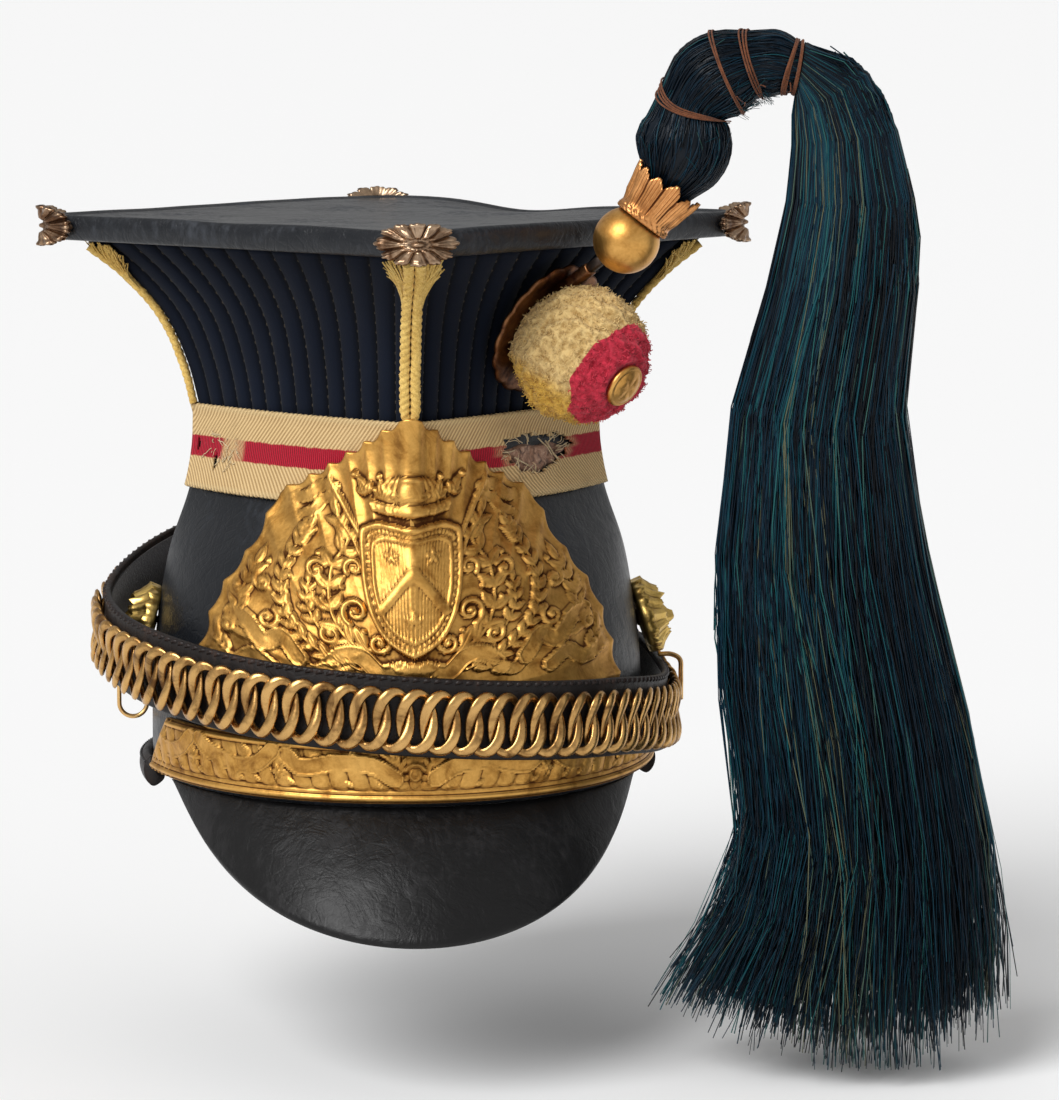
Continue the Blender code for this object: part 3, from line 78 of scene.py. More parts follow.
# Sizes shared with the CAD
TOUCH = 0.0003
LEATHER = 0.0025
RIM_HALF_WIDTH = 0.087
RIM_HALF_DEPTH = 0.097
WAIST_HALF_WIDTH = 0.070
WAIST_HALF_DEPTH = 0.076
SKULL_HEIGHT = 0.124
UPPER_HEIGHT = 0.061
UPPER_REACH = 0.110
BOARD_REACH = 0.124
BOARD_EDGE = 0.009
BOARD_BASE = SKULL_HEIGHT + TOUCH + UPPER_HEIGHT + TOUCH
LACE_HEIGHT = 0.029
LACE_RISE = 0.0035
LACE_THICKNESS = 0.0012
LACE_SEAT = 0.0008
LACE_BASE = SKULL_HEIGHT + LACE_RISE - LACE_HEIGHT
WORN_TURN = 0.595
SLIT_TURN = -0.86
PLATE_SEAT = 0.0016
PLATE_THICKNESS = 0.0012
PLATE_TOP = SKULL_HEIGHT + 0.0055
PLATE_FOOT = 0.0180
PLATE_HEART = 0.034
PLATE_HALF_WIDTH = 0.072
STRIP_FOOT = 0.0016
STRIP_HEIGHT = 0.0205
STRIP_LEFT = -0.867
STRIP_RIGHT = 0.944
STRIP_SLANT = 0.13
PLATE_RUN = PLATE_TOP - STRIP_FOOT
QUARTER_RUN = math.pi / 4 * (RIM_HALF_WIDTH + RIM_HALF_DEPTH)
STRAP_HEIGHT = 0.027
STRAP_THICKNESS = 0.0022
STRAP_SHOWS = 0.0020
LOOP_CLEARANCE = 0.0160
LOOP_RISE = 0.066
BOSS_RADIUS = 0.0140
BOSS_DEPTH = 0.0104
BOSS_HEIGHT = 0.0485
BOSS_BACK = 0.004
BOSS_TILT = math.radians(17)
BOSS_STANDOFF = 0.0032
BALL_RADIUS = 0.0113
BALL_OUT = BOARD_REACH * math.sqrt(0.5) + 0.0163
POMPOM_RADIUS = 0.0235
POMPOM_OUT = 0.084
POMPOM_HEIGHT = SKULL_HEIGHT + 0.025
POMPOM_TILT = math.radians(27)
POMPOM_FLAT = 0.0164
BUTTON_SEAT = math.sqrt(POMPOM_RADIUS ** 2 - 0.0086 ** 2) - 0.0016
SOCKET_OVER_POMPOM = 0.0222
SOCKET_TILT = math.radians(33)
PLUME_LEAN = math.radians(37)
PLUME_BEARING = math.radians(-5)
HEAD_REACH = 0.0576
HEAD_RISE = 0.0590
HEAD_RADIUS = 0.0162
TAIL_LENGTH = 0.330
TAIL_HALF_WIDTH = 0.059
TAIL_SWING = 0.029
TAIL_DEPTH_SHARE = 0.60

# Height share of the skull, spread from waist (0) to rim (1), squareness
SKULL_SECTIONS = (
    (0.00, 1.00, 0.00), (0.17, 0.99, 0.00), (0.34, 0.94, 0.05), (0.48, 0.82, 0.15),
    (0.62, 0.62, 0.32), (0.78, 0.22, 0.66), (0.90, 0.04, 0.80), (1.00, 0.00, 0.84),
)
# Height share of the upper, spread from waist (0) to board (1), squareness
UPPER_SECTIONS = (
    (0.00, 0.00, 0.84), (0.30, 0.12, 0.89), (0.58, 0.32, 0.94), (0.80, 0.62, 0.97), (1.00, 1.00, 0.98),
)
# Half width and height of the rayed sheet's edge, as shares of its half width and its own run
PLATE_OUTLINE = (
    (0.000, 1.000), (0.208, 0.902), (0.361, 0.831), (0.556, 0.756), (0.625, 0.671), (0.708, 0.586),
    (0.875, 0.430), (0.972, 0.212), (1.000, 0.063), (0.830, 0.005), (0.000, 0.000),
)
# Turn, clearance from the wall and height of the strap's middle, as shares
LOOP_COURSE = (
    (0.0, 0.50, 0.455), (0.5, 0.47, 0.360), (1.0, 0.41, 0.272), (1.5, 0.30, 0.580), (2.0, 0.17, 0.910),
    (2.5, 0.55, 0.990), (3.0, 1.00, 0.710), (3.5, 0.66, 0.550), (4.0, 0.50, 0.455),
)
# Reach, rise and radius of the plume's bound head
HEAD_STATIONS = (
    (0.122, 0.160, 0.45), (0.225, 0.300, 0.56), (0.290, 0.420, 0.88), (0.328, 0.529, 1.00),
    (0.345, 0.640, 0.93), (0.368, 0.761, 0.72), (0.470, 0.890, 0.91), (0.595, 0.962, 0.88),
    (0.748, 1.005, 0.68), (0.860, 1.005, 0.69), (0.960, 0.988, 0.56), (1.000, 0.981, 0.52),
)
HEAD_LAST = len(HEAD_STATIONS) - 1
HEAD_ROWS = tuple((index, *row) for index, row in enumerate(HEAD_STATIONS))
# Station, bulge, slant and turns of each winding of the head
WINDINGS = ((5, 0.28, 0.10, 4), (7, 0.22, 0.05, 2), (8, 0.30, -0.12, 3), (10, 0.25, 0.15, 4))
# Fall, swing, half width and lean of the tail's sections
TAIL_STATIONS = (
    (0.002, 0.13, 0.17, 0.75), (0.016, 0.28, 0.22, 0.45), (0.044, 0.48, 0.27, 0.18),
    (0.081, 0.55, 0.31, 0.07), (0.173, 0.63, 0.40, 0.00), (0.259, 0.44, 0.45, 0.00),
    (0.341, 0.26, 0.49, 0.00), (0.420, 0.26, 0.54, 0.00), (0.523, 0.35, 0.63, 0.00),
    (0.622, 0.50, 0.71, 0.00), (0.694, 0.71, 0.73, 0.00), (0.770, 0.83, 0.76, 0.00),
    (0.846, 0.87, 0.83, 0.00), (0.897, 0.72, 0.95, 0.00), (0.949, 0.42, 1.00, 0.00),
    (0.990, 0.42, 0.86, 0.00),
)
CORNERS = np.array(((0.0, -1.0), (1.0, 0.0), (0.0, 1.0), (-1.0, 0.0)))
RIGHT = np.array((1.0, 0.0, 0.0))
BACK = np.array((0.0, 1.0, 0.0))
UP = np.array((0.0, 0.0, 1.0))
FACE_OUT = np.array((math.sqrt(0.5), -math.sqrt(0.5), 0.0))
INNER_ROWS = 12
WIRE_SIDES = 14


class Side(Enum):
    """A corner of the cap, by the quarter turn it stands at."""

    FRONT = 0
    RIGHT = 1
    REAR = 2
    LEFT = 3


# Shape helpers


def mix(first: Value, second: Value, share: Value) -> Value:
    """The value or array a share of the way from first to second."""
    return first + (second - first) * share


def smooth(low: Value, high: Value, value: Value) -> np.ndarray:
    """0 below low, 1 above high, and a smooth rise between."""
    share = np.clip((np.asarray(value, float) - low) / (high - low), 0.0, 1.0)
    return share * share * (3.0 - 2.0 * share)


def unit(vectors: np.ndarray) -> np.ndarray:
    """Vectors of length one."""
    vectors = np.asarray(vectors, float)
    return vectors / np.maximum(np.linalg.norm(vectors, axis=-1, keepdims=True), 1e-12)


def read_table(rows: Sequence[Sequence[float]], key: Value) -> list[np.ndarray]:
    """Read a table between its rows on smooth curves.

    Args:
        rows: Rows whose first column is the key.
        key: Keys to read at.

    Returns:
        One array for each column after the first.
    """
    table = np.asarray(rows, float)
    keys = table[:, 0]
    key = np.asarray(key, float)
    last = len(keys) - 1
    low = np.clip(np.searchsorted(keys, key, side="left") - 1, 0, last - 1)
    before = np.maximum(np.arange(last + 1) - 1, 0)
    after = np.minimum(np.arange(last + 1) + 1, last)
    slopes = (table[after] - table[before]) / (keys[after] - keys[before])[:, None]
    span = keys[low + 1] - keys[low]
    t = (key - keys[low]) / span
    values = []
    for column in range(1, table.shape[1]):
        start, end = table[low, column], table[low + 1, column]
        rise = (2 * t ** 3 - 3 * t ** 2 + 1) * start + (-2 * t ** 3 + 3 * t ** 2) * end
        lean = (t ** 3 - 2 * t ** 2 + t) * slopes[low, column] + (t ** 3 - t ** 2) * slopes[low + 1, column]
        values.append(rise + span * lean)
    return values


def wall_sizes(z: Value) -> tuple[np.ndarray, np.ndarray, np.ndarray]:
    """Half width, half depth and squareness of the outer wall at heights."""
    z = np.asarray(z, float)
    low_spread, low_square = read_table(SKULL_SECTIONS, np.clip(z, 0.0, SKULL_HEIGHT) / SKULL_HEIGHT)
    share = np.clip((z - SKULL_HEIGHT) / (UPPER_HEIGHT + TOUCH), 0.0, 1.2)
    high_spread, high_square = read_table(UPPER_SECTIONS, share)
    upper = z > SKULL_HEIGHT
    spread = np.where(upper, high_spread, low_spread)
    width = mix(WAIST_HALF_WIDTH, np.where(upper, UPPER_REACH, RIM_HALF_WIDTH), spread)
    depth = mix(WAIST_HALF_DEPTH, np.where(upper, UPPER_REACH, RIM_HALF_DEPTH), spread)
    return width, depth, np.where(upper, high_square, low_square)


def plan_point(z: Value, turn: Value) -> np.ndarray:
    """Points of the wall's plan at heights and turns."""
    z, turn = np.broadcast_arrays(np.asarray(z, float), np.asarray(turn, float))
    width, depth, square = wall_sizes(z)
    quarter = np.floor(turn)
    share = turn - quarter
    index = quarter.astype(int) % 4
    corner = mix(CORNERS[index], CORNERS[(index + 1) % 4], share[..., None])
    angle = turn * math.pi / 2
    x = mix(np.sin(angle), corner[..., 0], square) * width
    y = mix(-np.cos(angle), corner[..., 1], square) * depth
    return np.stack((x, y, z), axis=-1)


def wall_normal(z: Value, turn: Value, step: float = 0.01) -> np.ndarray:
    """Level outward directions of the wall."""
    along = plan_point(z, np.asarray(turn) + step) - plan_point(z, np.asarray(turn) - step)
    return unit(np.stack((along[..., 1], -along[..., 0], np.zeros_like(along[..., 0])), axis=-1))


def wall_point(z: Value, turn: Value, out: Value = 0.0) -> np.ndarray:
    """Points of the outer wall, moved outwards on the level."""
    return plan_point(z, turn) + wall_normal(z, turn) * np.asarray(out, float)[..., None]


def turn_at(z: Value, x: Value) -> np.ndarray:
    """The turn at which the front half of the wall is x to the right of the middle."""
    reach = np.abs(np.asarray(x, float))
    low = np.zeros_like(reach)
    high = np.ones_like(reach)
    for _ in range(24):
        middle = (low + high) / 2
        short = plan_point(z, middle)[..., 0] < reach
        low = np.where(short, middle, low)
        high = np.where(short, high, middle)
    return np.copysign((low + high) / 2, x)


def plate_point(turn: Value, z: Value, out: Value) -> np.ndarray:
    """Points of the plate by turn, height and distance off the plate's back."""
    seat = mix(PLATE_SEAT, LACE_THICKNESS + PLATE_SEAT, smooth(LACE_BASE - 0.012, LACE_BASE - 0.002, z))
    return wall_point(z, turn, seat + out)


def tilted(level: np.ndarray, tilt: float) -> tuple[np.ndarray, np.ndarray]:
    """A level way and the way up, both tilted up by an angle."""
    return (level * math.cos(tilt) + UP * math.sin(tilt),
            UP * math.cos(tilt) - level * math.sin(tilt))


def angles(count: int) -> np.ndarray:
    """Angles of evenly spaced places round a circle."""
    return np.arange(count) * 2 * math.pi / count


def oval(centre: np.ndarray, first: np.ndarray, second: np.ndarray, angle: Value, wide: Value,
         high: Value) -> np.ndarray:
    """Points round centres by angle, wide along the first way and high along the second."""
    return centre + first * (np.cos(angle) * wide)[..., None] + second * (np.sin(angle) * high)[..., None]


def ripple(points: np.ndarray, scale: float, seed: int) -> np.ndarray:
    """Smooth random heights between about -1 and 1 at points, from a fixed sum of waves."""
    draw = np.random.default_rng(seed)
    total = np.zeros(points.shape[:-1])
    for octave in range(3):
        for _ in range(5):
            way = unit(draw.normal(size=3)) * scale * 2 ** octave
            total += np.sin(points @ way + draw.uniform(0, 2 * math.pi)) / 2 ** octave
    return total / 4.5


def smooth_path(path: Sequence[Sequence[float]], steps: int) -> np.ndarray:
    """A path through the given points with rounded corners, as evenly many points a stretch."""
    points = np.asarray(path, float)
    rows = np.column_stack((np.arange(len(points)), points))
    keys = np.linspace(0, len(points) - 1, (len(points) - 1) * steps + 1)
    return np.stack(read_table(rows, keys), axis=-1)


# Meshes


def make_mesh(points: np.ndarray, faces: list) -> bpy.types.Mesh:
    """A smooth mesh from points and faces of any size."""
    mesh = bpy.data.meshes.new("form")
    mesh.from_pydata(points.tolist(), [], faces)
    mesh.shade_smooth()
    return mesh


def add_shade(mesh: bpy.types.Mesh, name: str, values: np.ndarray) -> None:
    """Give a mesh a point attribute."""
    mesh.attributes.new(name, "FLOAT", "POINT").data.foreach_set("value", values)


def quads(rows: int, columns: int, loop_rows: bool) -> np.ndarray:
    """Corner indices of the quads between rings of points."""
    row = np.arange(rows if loop_rows else rows - 1)[:, None]
    column = np.arange(columns)[None, :]
    next_row = (row + 1) % rows
    next_column = (column + 1) % columns
    corners = (row * columns + column, row * columns + next_column,
               next_row * columns + next_column, next_row * columns + column)
    return np.stack(np.broadcast_arrays(*corners), axis=-1).reshape(-1, 4)


@dataclass
class Grid:
    """A surface as closed rings of points, with its mapping in metres and point attributes.

    Attributes:
        points: Array of rings, points of a ring and 3.
        loop_rows: Whether the last ring joins the first.
        across: Mapping value of each point of a ring, with one more for its seam.
        along: Mapping value of each ring.
        poles: Points that close the first and last ring.
        caps: Whether the first and last ring are closed by one face each.
        shades: Point attributes by name, each rings by points.
    """

    points: np.ndarray
    loop_rows: bool = False
    across: Optional[np.ndarray] = None
    along: Optional[np.ndarray] = None
    poles: Optional[tuple[Sequence[float], Sequence[float]]] = None
    caps: bool = False
    shades: Optional[dict[str, np.ndarray]] = None

    def mesh(self) -> bpy.types.Mesh:
        """The grid as a mesh that faces outwards, with a UV map where both mappings are given."""
        rows, columns, _ = self.points.shape
        points = self.points.reshape(-1, 3)
        faces = quads(rows, columns, self.loop_rows)
        corners = points[faces]
        centre = points.mean(axis=0)
        a, b, c, d = (corners[:, index] - centre for index in range(4))
        volume = np.einsum("ij,ij->i", a, np.cross(b, c)) + np.einsum("ij,ij->i", a, np.cross(c, d))
        turned = volume.sum() < 0
        face_list = faces.tolist()
        count = rows * columns
        if self.caps:
            face_list.append(list(range(columns))[::-1])
            face_list.append([(rows - 1) * columns + column for column in range(columns)])
        if self.poles is not None:
            points = np.vstack((points, np.asarray(self.poles, float)))
            for pole, row, step in ((count, 0, -1), (count + 1, rows - 1, 1)):
                for column in range(columns):
                    pair = [row * columns + column, row * columns + (column + 1) % columns][::step]
                    face_list.append(pair + [pole])
        if turned:
            face_list = [face[::-1] for face in face_list]
        mesh = make_mesh(points, face_list)
        if self.across is not None and self.along is not None:
            self._map(mesh, turned)
        for shade, values in (self.shades or {}).items():
            flat = np.zeros(len(points))
            flat[:count] = np.asarray(values, float).reshape(-1)
            add_shade(mesh, shade, flat)
        return mesh

    def _map(self, mesh: bpy.types.Mesh, turned: bool) -> None:
        """Lay the UV map of a band with open edges, whole across its seam."""
        rows, columns, _ = self.points.shape
        row, column = np.meshgrid(np.arange(rows - 1), np.arange(columns), indexing="ij")
        order = ((0, 0), (0, 1), (1, 1), (1, 0))[::-1 if turned else 1]
        uv = np.stack([np.stack((self.across[column + right], self.along[row + up]), axis=-1)
                       for up, right in order], axis=2)
        mesh.uv_layers.new(name="weave").data.foreach_set("uv", uv.reshape(-1))


def closed_form(rings: np.ndarray, **shades: np.ndarray) -> bpy.types.Mesh:
    """A mesh of rings closed at its ends, with point attributes."""
    poles = rings[0].mean(axis=0), rings[-1].mean(axis=0)
    return Grid(rings, poles=poles, shades=shades).mesh()


def join_meshes(meshes: Sequence[bpy.types.Mesh]) -> bpy.types.Mesh:
    """One mesh of several, which are removed."""
    merged = bmesh.new()
    for mesh in meshes:
        merged.from_mesh(mesh)
        bpy.data.meshes.remove(mesh)
    data = bpy.data.meshes.new("joined")
    merged.to_mesh(data)
    merged.free()
    data.shade_smooth()
    return data


def cut_away(mesh: bpy.types.Mesh, part: str, gone: np.ndarray) -> None:
    """Delete the FACES or VERTS of a mesh that a mask names."""
    work = bmesh.new()
    work.from_mesh(mesh)
    doomed = [item for item, cut in zip(getattr(work, part.lower()), gone.ravel()) if cut]
    bmesh.ops.delete(work, geom=doomed, context=part)
    work.to_mesh(mesh)
    work.free()


def place_piece(name: str, mesh: bpy.types.Mesh) -> bpy.types.Object:
    """An object of a mesh at the origin."""
    mesh.name = name
    piece = bpy.data.objects.new(name, mesh)
    bpy.context.scene.collection.objects.link(piece)
    return piece


def settle(name: str, mesh: bpy.types.Mesh, material: bpy.types.Material, slot: str, *nodes: str,
           soft: bool = False, wall: float = 0.0) -> None:
    """Make a piece of a mesh, dress it and tie it to the frame.

    Args:
        name: Name of the piece.
        mesh: Its mesh.
        material: Its material.
        slot: The record's material slot; not used.
        nodes: CAD nodes that the piece stands for.
        soft: Whether it is a padded piece; not used.
        wall: Thickness that a sheet is given inwards.
    """
    piece = place_piece(name, mesh)
    if not mesh.materials:
        mesh.materials.append(material)
    if wall:
        modifier = piece.modifiers.new("wall", "SOLIDIFY")
        modifier.thickness = wall
        modifier.offset = -1.0
    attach(piece, "root")
    if nodes:
        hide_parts(*nodes)
    LOG.info("%s: %d faces", name, len(mesh.polygons))


def sweep(middle: np.ndarray, first: np.ndarray, second: np.ndarray, section: np.ndarray) -> np.ndarray:
    """Rings of a section carried along a line.

    Args:
        middle: Points of the line.
        first: Way of the section's first measure, shared or one for each point.
        second: Way of the section's second measure, shared or one for each point.
        section: Points of the section, shared or one set for each point.

    Returns:
        Array of points, one row for each point of the line.
    """
    section = np.asarray(section, float)
    if section.ndim == 2:
        section = np.broadcast_to(section, (len(middle),) + section.shape)
    return (middle[:, None, :] + first[..., None, :] * section[..., 0, None]
            + second[..., None, :] * section[..., 1, None])


def round_section(radius: float, sides: int, flat: float = 1.0) -> np.ndarray:
    """Points of a circle or an oval."""
    angle = angles(sides)
    return np.stack((np.cos(angle) * radius, np.sin(angle) * radius * flat), axis=-1)


def frames_along(middle: np.ndarray, closed: bool = False) -> tuple[np.ndarray, np.ndarray]:
    """Two steady cross ways at each point of a line."""
    if closed:
        along = unit(np.roll(middle, -1, axis=0) - np.roll(middle, 1, axis=0))
    else:
        along = unit(np.gradient(middle, axis=0))
    guess = np.array((0.31, 0.17, 0.93))
    first = unit(np.cross(along[0], guess))
    firsts = [first]
    for way in along[1:]:
        first = unit(first - way * np.dot(first, way))
        firsts.append(first)
    first = np.array(firsts)
    if closed:
        end = unit(first[-1] - along[0] * np.dot(first[-1], along[0]))
        slip = math.atan2(np.dot(np.cross(first[0], end), along[0]), np.dot(first[0], end))
        turn = -slip * np.arange(len(middle))[:, None] / len(middle)
        first = first * np.cos(turn) + np.cross(along, first) * np.sin(turn)
    return first, np.cross(along, first)


def wire(middle: np.ndarray, radius: float, closed: bool = False) -> bpy.types.Mesh:
    """A round wire along points, closed at its ends with rounded caps."""
    if not closed:
        along = unit(np.gradient(middle, axis=0))
        middle = np.vstack((middle[:1] - along[:1] * radius * 0.3, middle,
                            middle[-1:] + along[-1:] * radius * 0.3))
    first, second = frames_along(middle, closed)
    rings = sweep(middle, first, second, round_section(radius, WIRE_SIDES))
    if not closed:
        for row in (0, -1):
            rings[row] = mix(middle[row], rings[row], 0.6)
    poles = None if closed else (middle[0], middle[-1])
    return Grid(rings, loop_rows=closed, poles=poles).mesh()


# Finishes


class Field:
    """A number or vector socket of a material that takes part in sums."""

    def __init__(self, bench: "Bench", socket: bpy.types.NodeSocket) -> None:
        """Keep the bench and the socket."""
        self.bench = bench
        self.socket = socket

    def _sum(self, operation: str, *others: "Field | float") -> "Field":
        """The result of a math node on this value and others."""
        return self.bench.math(operation, self, *others)

    def __add__(self, other: "Field | float") -> "Field":
        """Add."""
        return self._sum("ADD", other)

    def __sub__(self, other: "Field | float") -> "Field":
        """Subtract."""
        return self._sum("SUBTRACT", other)

    def __mul__(self, other: "Field | float") -> "Field":
        """Multiply."""
        return self._sum("MULTIPLY", other)

    def sine(self) -> "Field":
        """The sine."""
        return self._sum("SINE")

    def size(self) -> "Field":
        """The value without its sign."""
        return self._sum("ABSOLUTE")

    def flip(self) -> "Field":
        """One less the value."""
        return self.bench.math("SUBTRACT", 1.0, self)

    def step(self, low: float, high: float) -> "Field":
        """0 below low, 1 above high, and a smooth rise between."""
        return self.bench.node("ShaderNodeMapRange", {"Value": self, "From Min": low, "From Max": high},
                               interpolation_type="SMOOTHSTEP")


class NodeWork:
    """A node tree under construction."""

    def __init__(self, tree: bpy.types.NodeTree) -> None:
        """Keep the tree."""
        self.tree = tree

    def put(self, socket: bpy.types.NodeSocket, value: object) -> None:
        """Set a socket to a number, a colour or another socket."""
        if isinstance(value, Field):
            value = value.socket
        if isinstance(value, bpy.types.NodeSocket):
            self.tree.links.new(value, socket)
        elif isinstance(value, tuple) and len(value) == 3 and socket.type == "RGBA":
            socket.default_value = (*value, 1.0)
        else:
            socket.default_value = value

    def node(self, kind: str, inputs: dict, output: int | str = 0, **settings) -> bpy.types.NodeSocket:
        """Add a node.

        Args:
            kind: The node's type.
            inputs: Values by socket name or index.
            output: Which of its outputs is wanted.
            settings: Properties of the node.

        Returns:
            The wanted output.
        """
        made = self.tree.nodes.new(kind)
        for key, value in settings.items():
            setattr(made, key, value)
        for key, value in inputs.items():
            self.put(made.inputs[key], value)
        return made.outputs[output]


class Bench(NodeWork):
    """A material under construction, with short calls for the nodes that finishes share."""

    def __init__(self, name: str) -> None:
        """Start a material that holds one Principled shader."""
        self.material = bpy.data.materials.new(name)
        self.material.use_nodes = True
        super().__init__(self.material.node_tree)
        self.shader = self.tree.nodes["Principled BSDF"]
        self.coordinates = self.tree.nodes.new("ShaderNodeTexCoord")

    def node(self, kind: str, inputs: dict, output: int | str = 0, **settings) -> Field:
        """Add a node and hand over its output ready for sums."""
        return Field(self, super().node(kind, inputs, output, **settings))

    def math(self, operation: str, *values: Field | float) -> Field:
        """A math node on up to three values."""
        return self.node("ShaderNodeMath", dict(enumerate(values)), operation=operation)

    def place(self, stretch: Optional[tuple[float, float, float]] = None, mapped: bool = False) -> Field:
        """Object coordinates, or the UV map, stretched where a stretch is given."""
        source = Field(self, self.coordinates.outputs["UV" if mapped else "Object"])
        if stretch is None:
            return source
        return self.node("ShaderNodeMapping", {"Vector": source, "Scale": stretch})

    def noise(self, scale: float, detail: float = 4.0, roughness: float = 0.55, distortion: float = 0.0,
              where: Optional[Field] = None) -> Field:
        """Fractal noise between 0 and 1."""
        return self.node("ShaderNodeTexNoise", {
            "Vector": where or self.place(), "Scale": scale, "Detail": detail, "Roughness": roughness,
            "Distortion": distortion})

    def cells(self, scale: float, feature: str = "F1") -> Field:
        """Distances in a field of cells."""
        return self.node("ShaderNodeTexVoronoi", {"Vector": self.place(), "Scale": scale}, "Distance",
                         feature=feature)

    def shade(self, name: str) -> Field:
        """A point attribute of the piece."""
        return self.node("ShaderNodeAttribute", {}, "Fac", attribute_name=name)

    def axis(self, name: str, where: Field) -> Field:
        """One part of a vector."""
        return self.node("ShaderNodeSeparateXYZ", {"Vector": where}, name)

    def blend(self, first: Field | Colour, second: Field | Colour, share: Field | float) -> Field:
        """A colour a share of the way from first to second."""
        return self.node("ShaderNodeMix", {0: share, 6: first, 7: second}, 2, data_type="RGBA")

    def ramp(self, value: Field, *stops: tuple[float, Colour]) -> Field:
        """Colours along a value."""
        made = self.tree.nodes.new("ShaderNodeValToRGB")
        band = made.color_ramp
        while len(band.elements) < len(stops):
            band.elements.new(0.5)
        for element, (position, colour) in zip(band.elements, stops):
            element.position = position
            element.color = (*colour, 1.0)
        self.put(made.inputs[0], value)
        return Field(self, made.outputs[0])

    def bump(self, height: Field, distance: float, strength: float = 1.0,
             under: Optional[Field] = None) -> Field:
        """A normal from heights in shares of a distance."""
        inputs = {"Height": height, "Distance": distance, "Strength": strength}
        if under is not None:
            inputs["Normal"] = under
        return self.node("ShaderNodeBump", inputs)

    def dress(self, **values) -> bpy.types.Material:
        """Set the shader's sockets and hand over the material."""
        for key, value in values.items():
            self.put(self.shader.inputs[key.replace("_", " ")], value)
        colour = values.get("Base_Color")
        if isinstance(colour, tuple):
            self.material.diffuse_color = (*colour, 1.0)
        return self.material


@dataclass(frozen=True)
class LeatherFinish:
    """Black leather with fine grain, creases and worn grey patches.

    Attributes:
        name: Name of the material.
        dark: Colour of the polished leather.
        worn: Colour where the finish has dulled.
        gloss: Roughness of the polished parts.
        dull: Roughness of the worn parts.
        creases: Depth of the creases in metres.
        crackle: Depth of the crackle in metres.
        coat: Weight of the varnish.
    """

    name: str
    dark: Colour
    worn: Colour
    gloss: float
    dull: float
    creases: float
    crackle: float
    coat: float

    def make(self) -> bpy.types.Material:
        """The material."""
        bench = Bench(self.name)
        patches = bench.noise(38.0, 5.0, 0.6, 0.4)
        scuffs = bench.noise(420.0, 3.0, 0.6, 0.0, bench.place((1.0, 1.0, 0.35)))
        wear = (patches * 0.7 + scuffs * 0.45).step(0.56, 0.78)
        grain = bench.cells(900.0)
        veins = bench.cells(230.0, "DISTANCE_TO_EDGE").step(0.0, 0.12)
        folds = bench.noise(70.0, 6.0, 0.62, 1.6)
        normal = bench.bump(folds, self.creases)
        normal = bench.bump(veins, self.crackle, 0.5, normal)
        normal = bench.bump(grain, 0.00006, 0.35, normal)
        rough = wear * (self.dull - self.gloss) + self.gloss + scuffs * 0.10 - 0.05
        return bench.dress(Base_Color=bench.blend(self.dark, self.worn, wear), Roughness=rough,
                           Normal=normal, Coat_Weight=self.coat, Coat_Roughness=0.3,
                           Specular_IOR_Level=0.26)


@dataclass(frozen=True)
class BrassFinish:
    """Gilt or tarnished metal, darker in its hollows and brighter on its high places.

    Attributes:
        name: Name of the material.
        bright: Colour of rubbed metal, and on the chain the colour of the painted highlight on the links'
            front arcs.
        body: Colour of most of the surface.
        patina: Colour of the hollows, and on the chain the colour of the painted shade on the links' back
            arcs.
        gloss: Roughness of rubbed metal.
        pits: Depth of the fine hammering in metres.
        hollows: Whether the piece carries the attribute cavity.
        mottle: How far the body wanders towards the patina.
    """

    name: str
    bright: Colour
    body: Colour
    patina: Colour
    gloss: float
    pits: float
    hollows: bool
    mottle: float

    def make(self) -> bpy.types.Material:
        """The material."""
        bench = Bench(self.name)
        clouds = bench.noise(85.0, 5.0, 0.62, 0.8)
        specks = bench.noise(900.0, 3.0, 0.6)
        colour = bench.ramp(clouds * 0.75 + specks * 0.25, (0.36, self.body), (0.66, self.bright))
        patina_and_shade = clouds.flip().step(0.50, 0.72) * self.mottle
        # On the chain, cavity marks the links' back arcs and faces, not hollows: there the patina is painted
        # shade and the bright blend is a painted highlight.
        if self.hollows:
            cavity = bench.shade("cavity")
            patina_and_shade = bench.math("MAXIMUM", patina_and_shade, cavity.step(0.52, 0.95))
            colour = bench.blend(colour, self.bright, cavity.flip().step(0.62, 0.95) * 0.7)
        colour = bench.blend(colour, self.patina, patina_and_shade)
        normal = bench.bump(bench.noise(260.0, 4.0, 0.6), self.pits)
        normal = bench.bump(specks, 0.00003, 0.5, normal)
        rough = patina_and_shade * 0.30 + self.gloss + specks * 0.08
        return bench.dress(Base_Color=colour, Metallic=1.0, Roughness=rough, Normal=normal)


@dataclass(frozen=True)
class HairFinish:
    """Dyed horsehair whose strands differ in tone.

    Attributes:
        name: Name of the material.
        tones: Colours along the attribute tone.
    """

    name: str
    tones: tuple[tuple[float, Colour], ...]

    def make(self) -> bpy.types.Material:
        """The material."""
        bench = Bench(self.name)
        tone = bench.shade("tone") + bench.noise(14.0, 2.0) * 0.3 - 0.15
        colour = bench.ramp(tone, *self.tones)
        return bench.dress(Base_Color=colour, Roughness=0.36, Specular_IOR_Level=0.22)


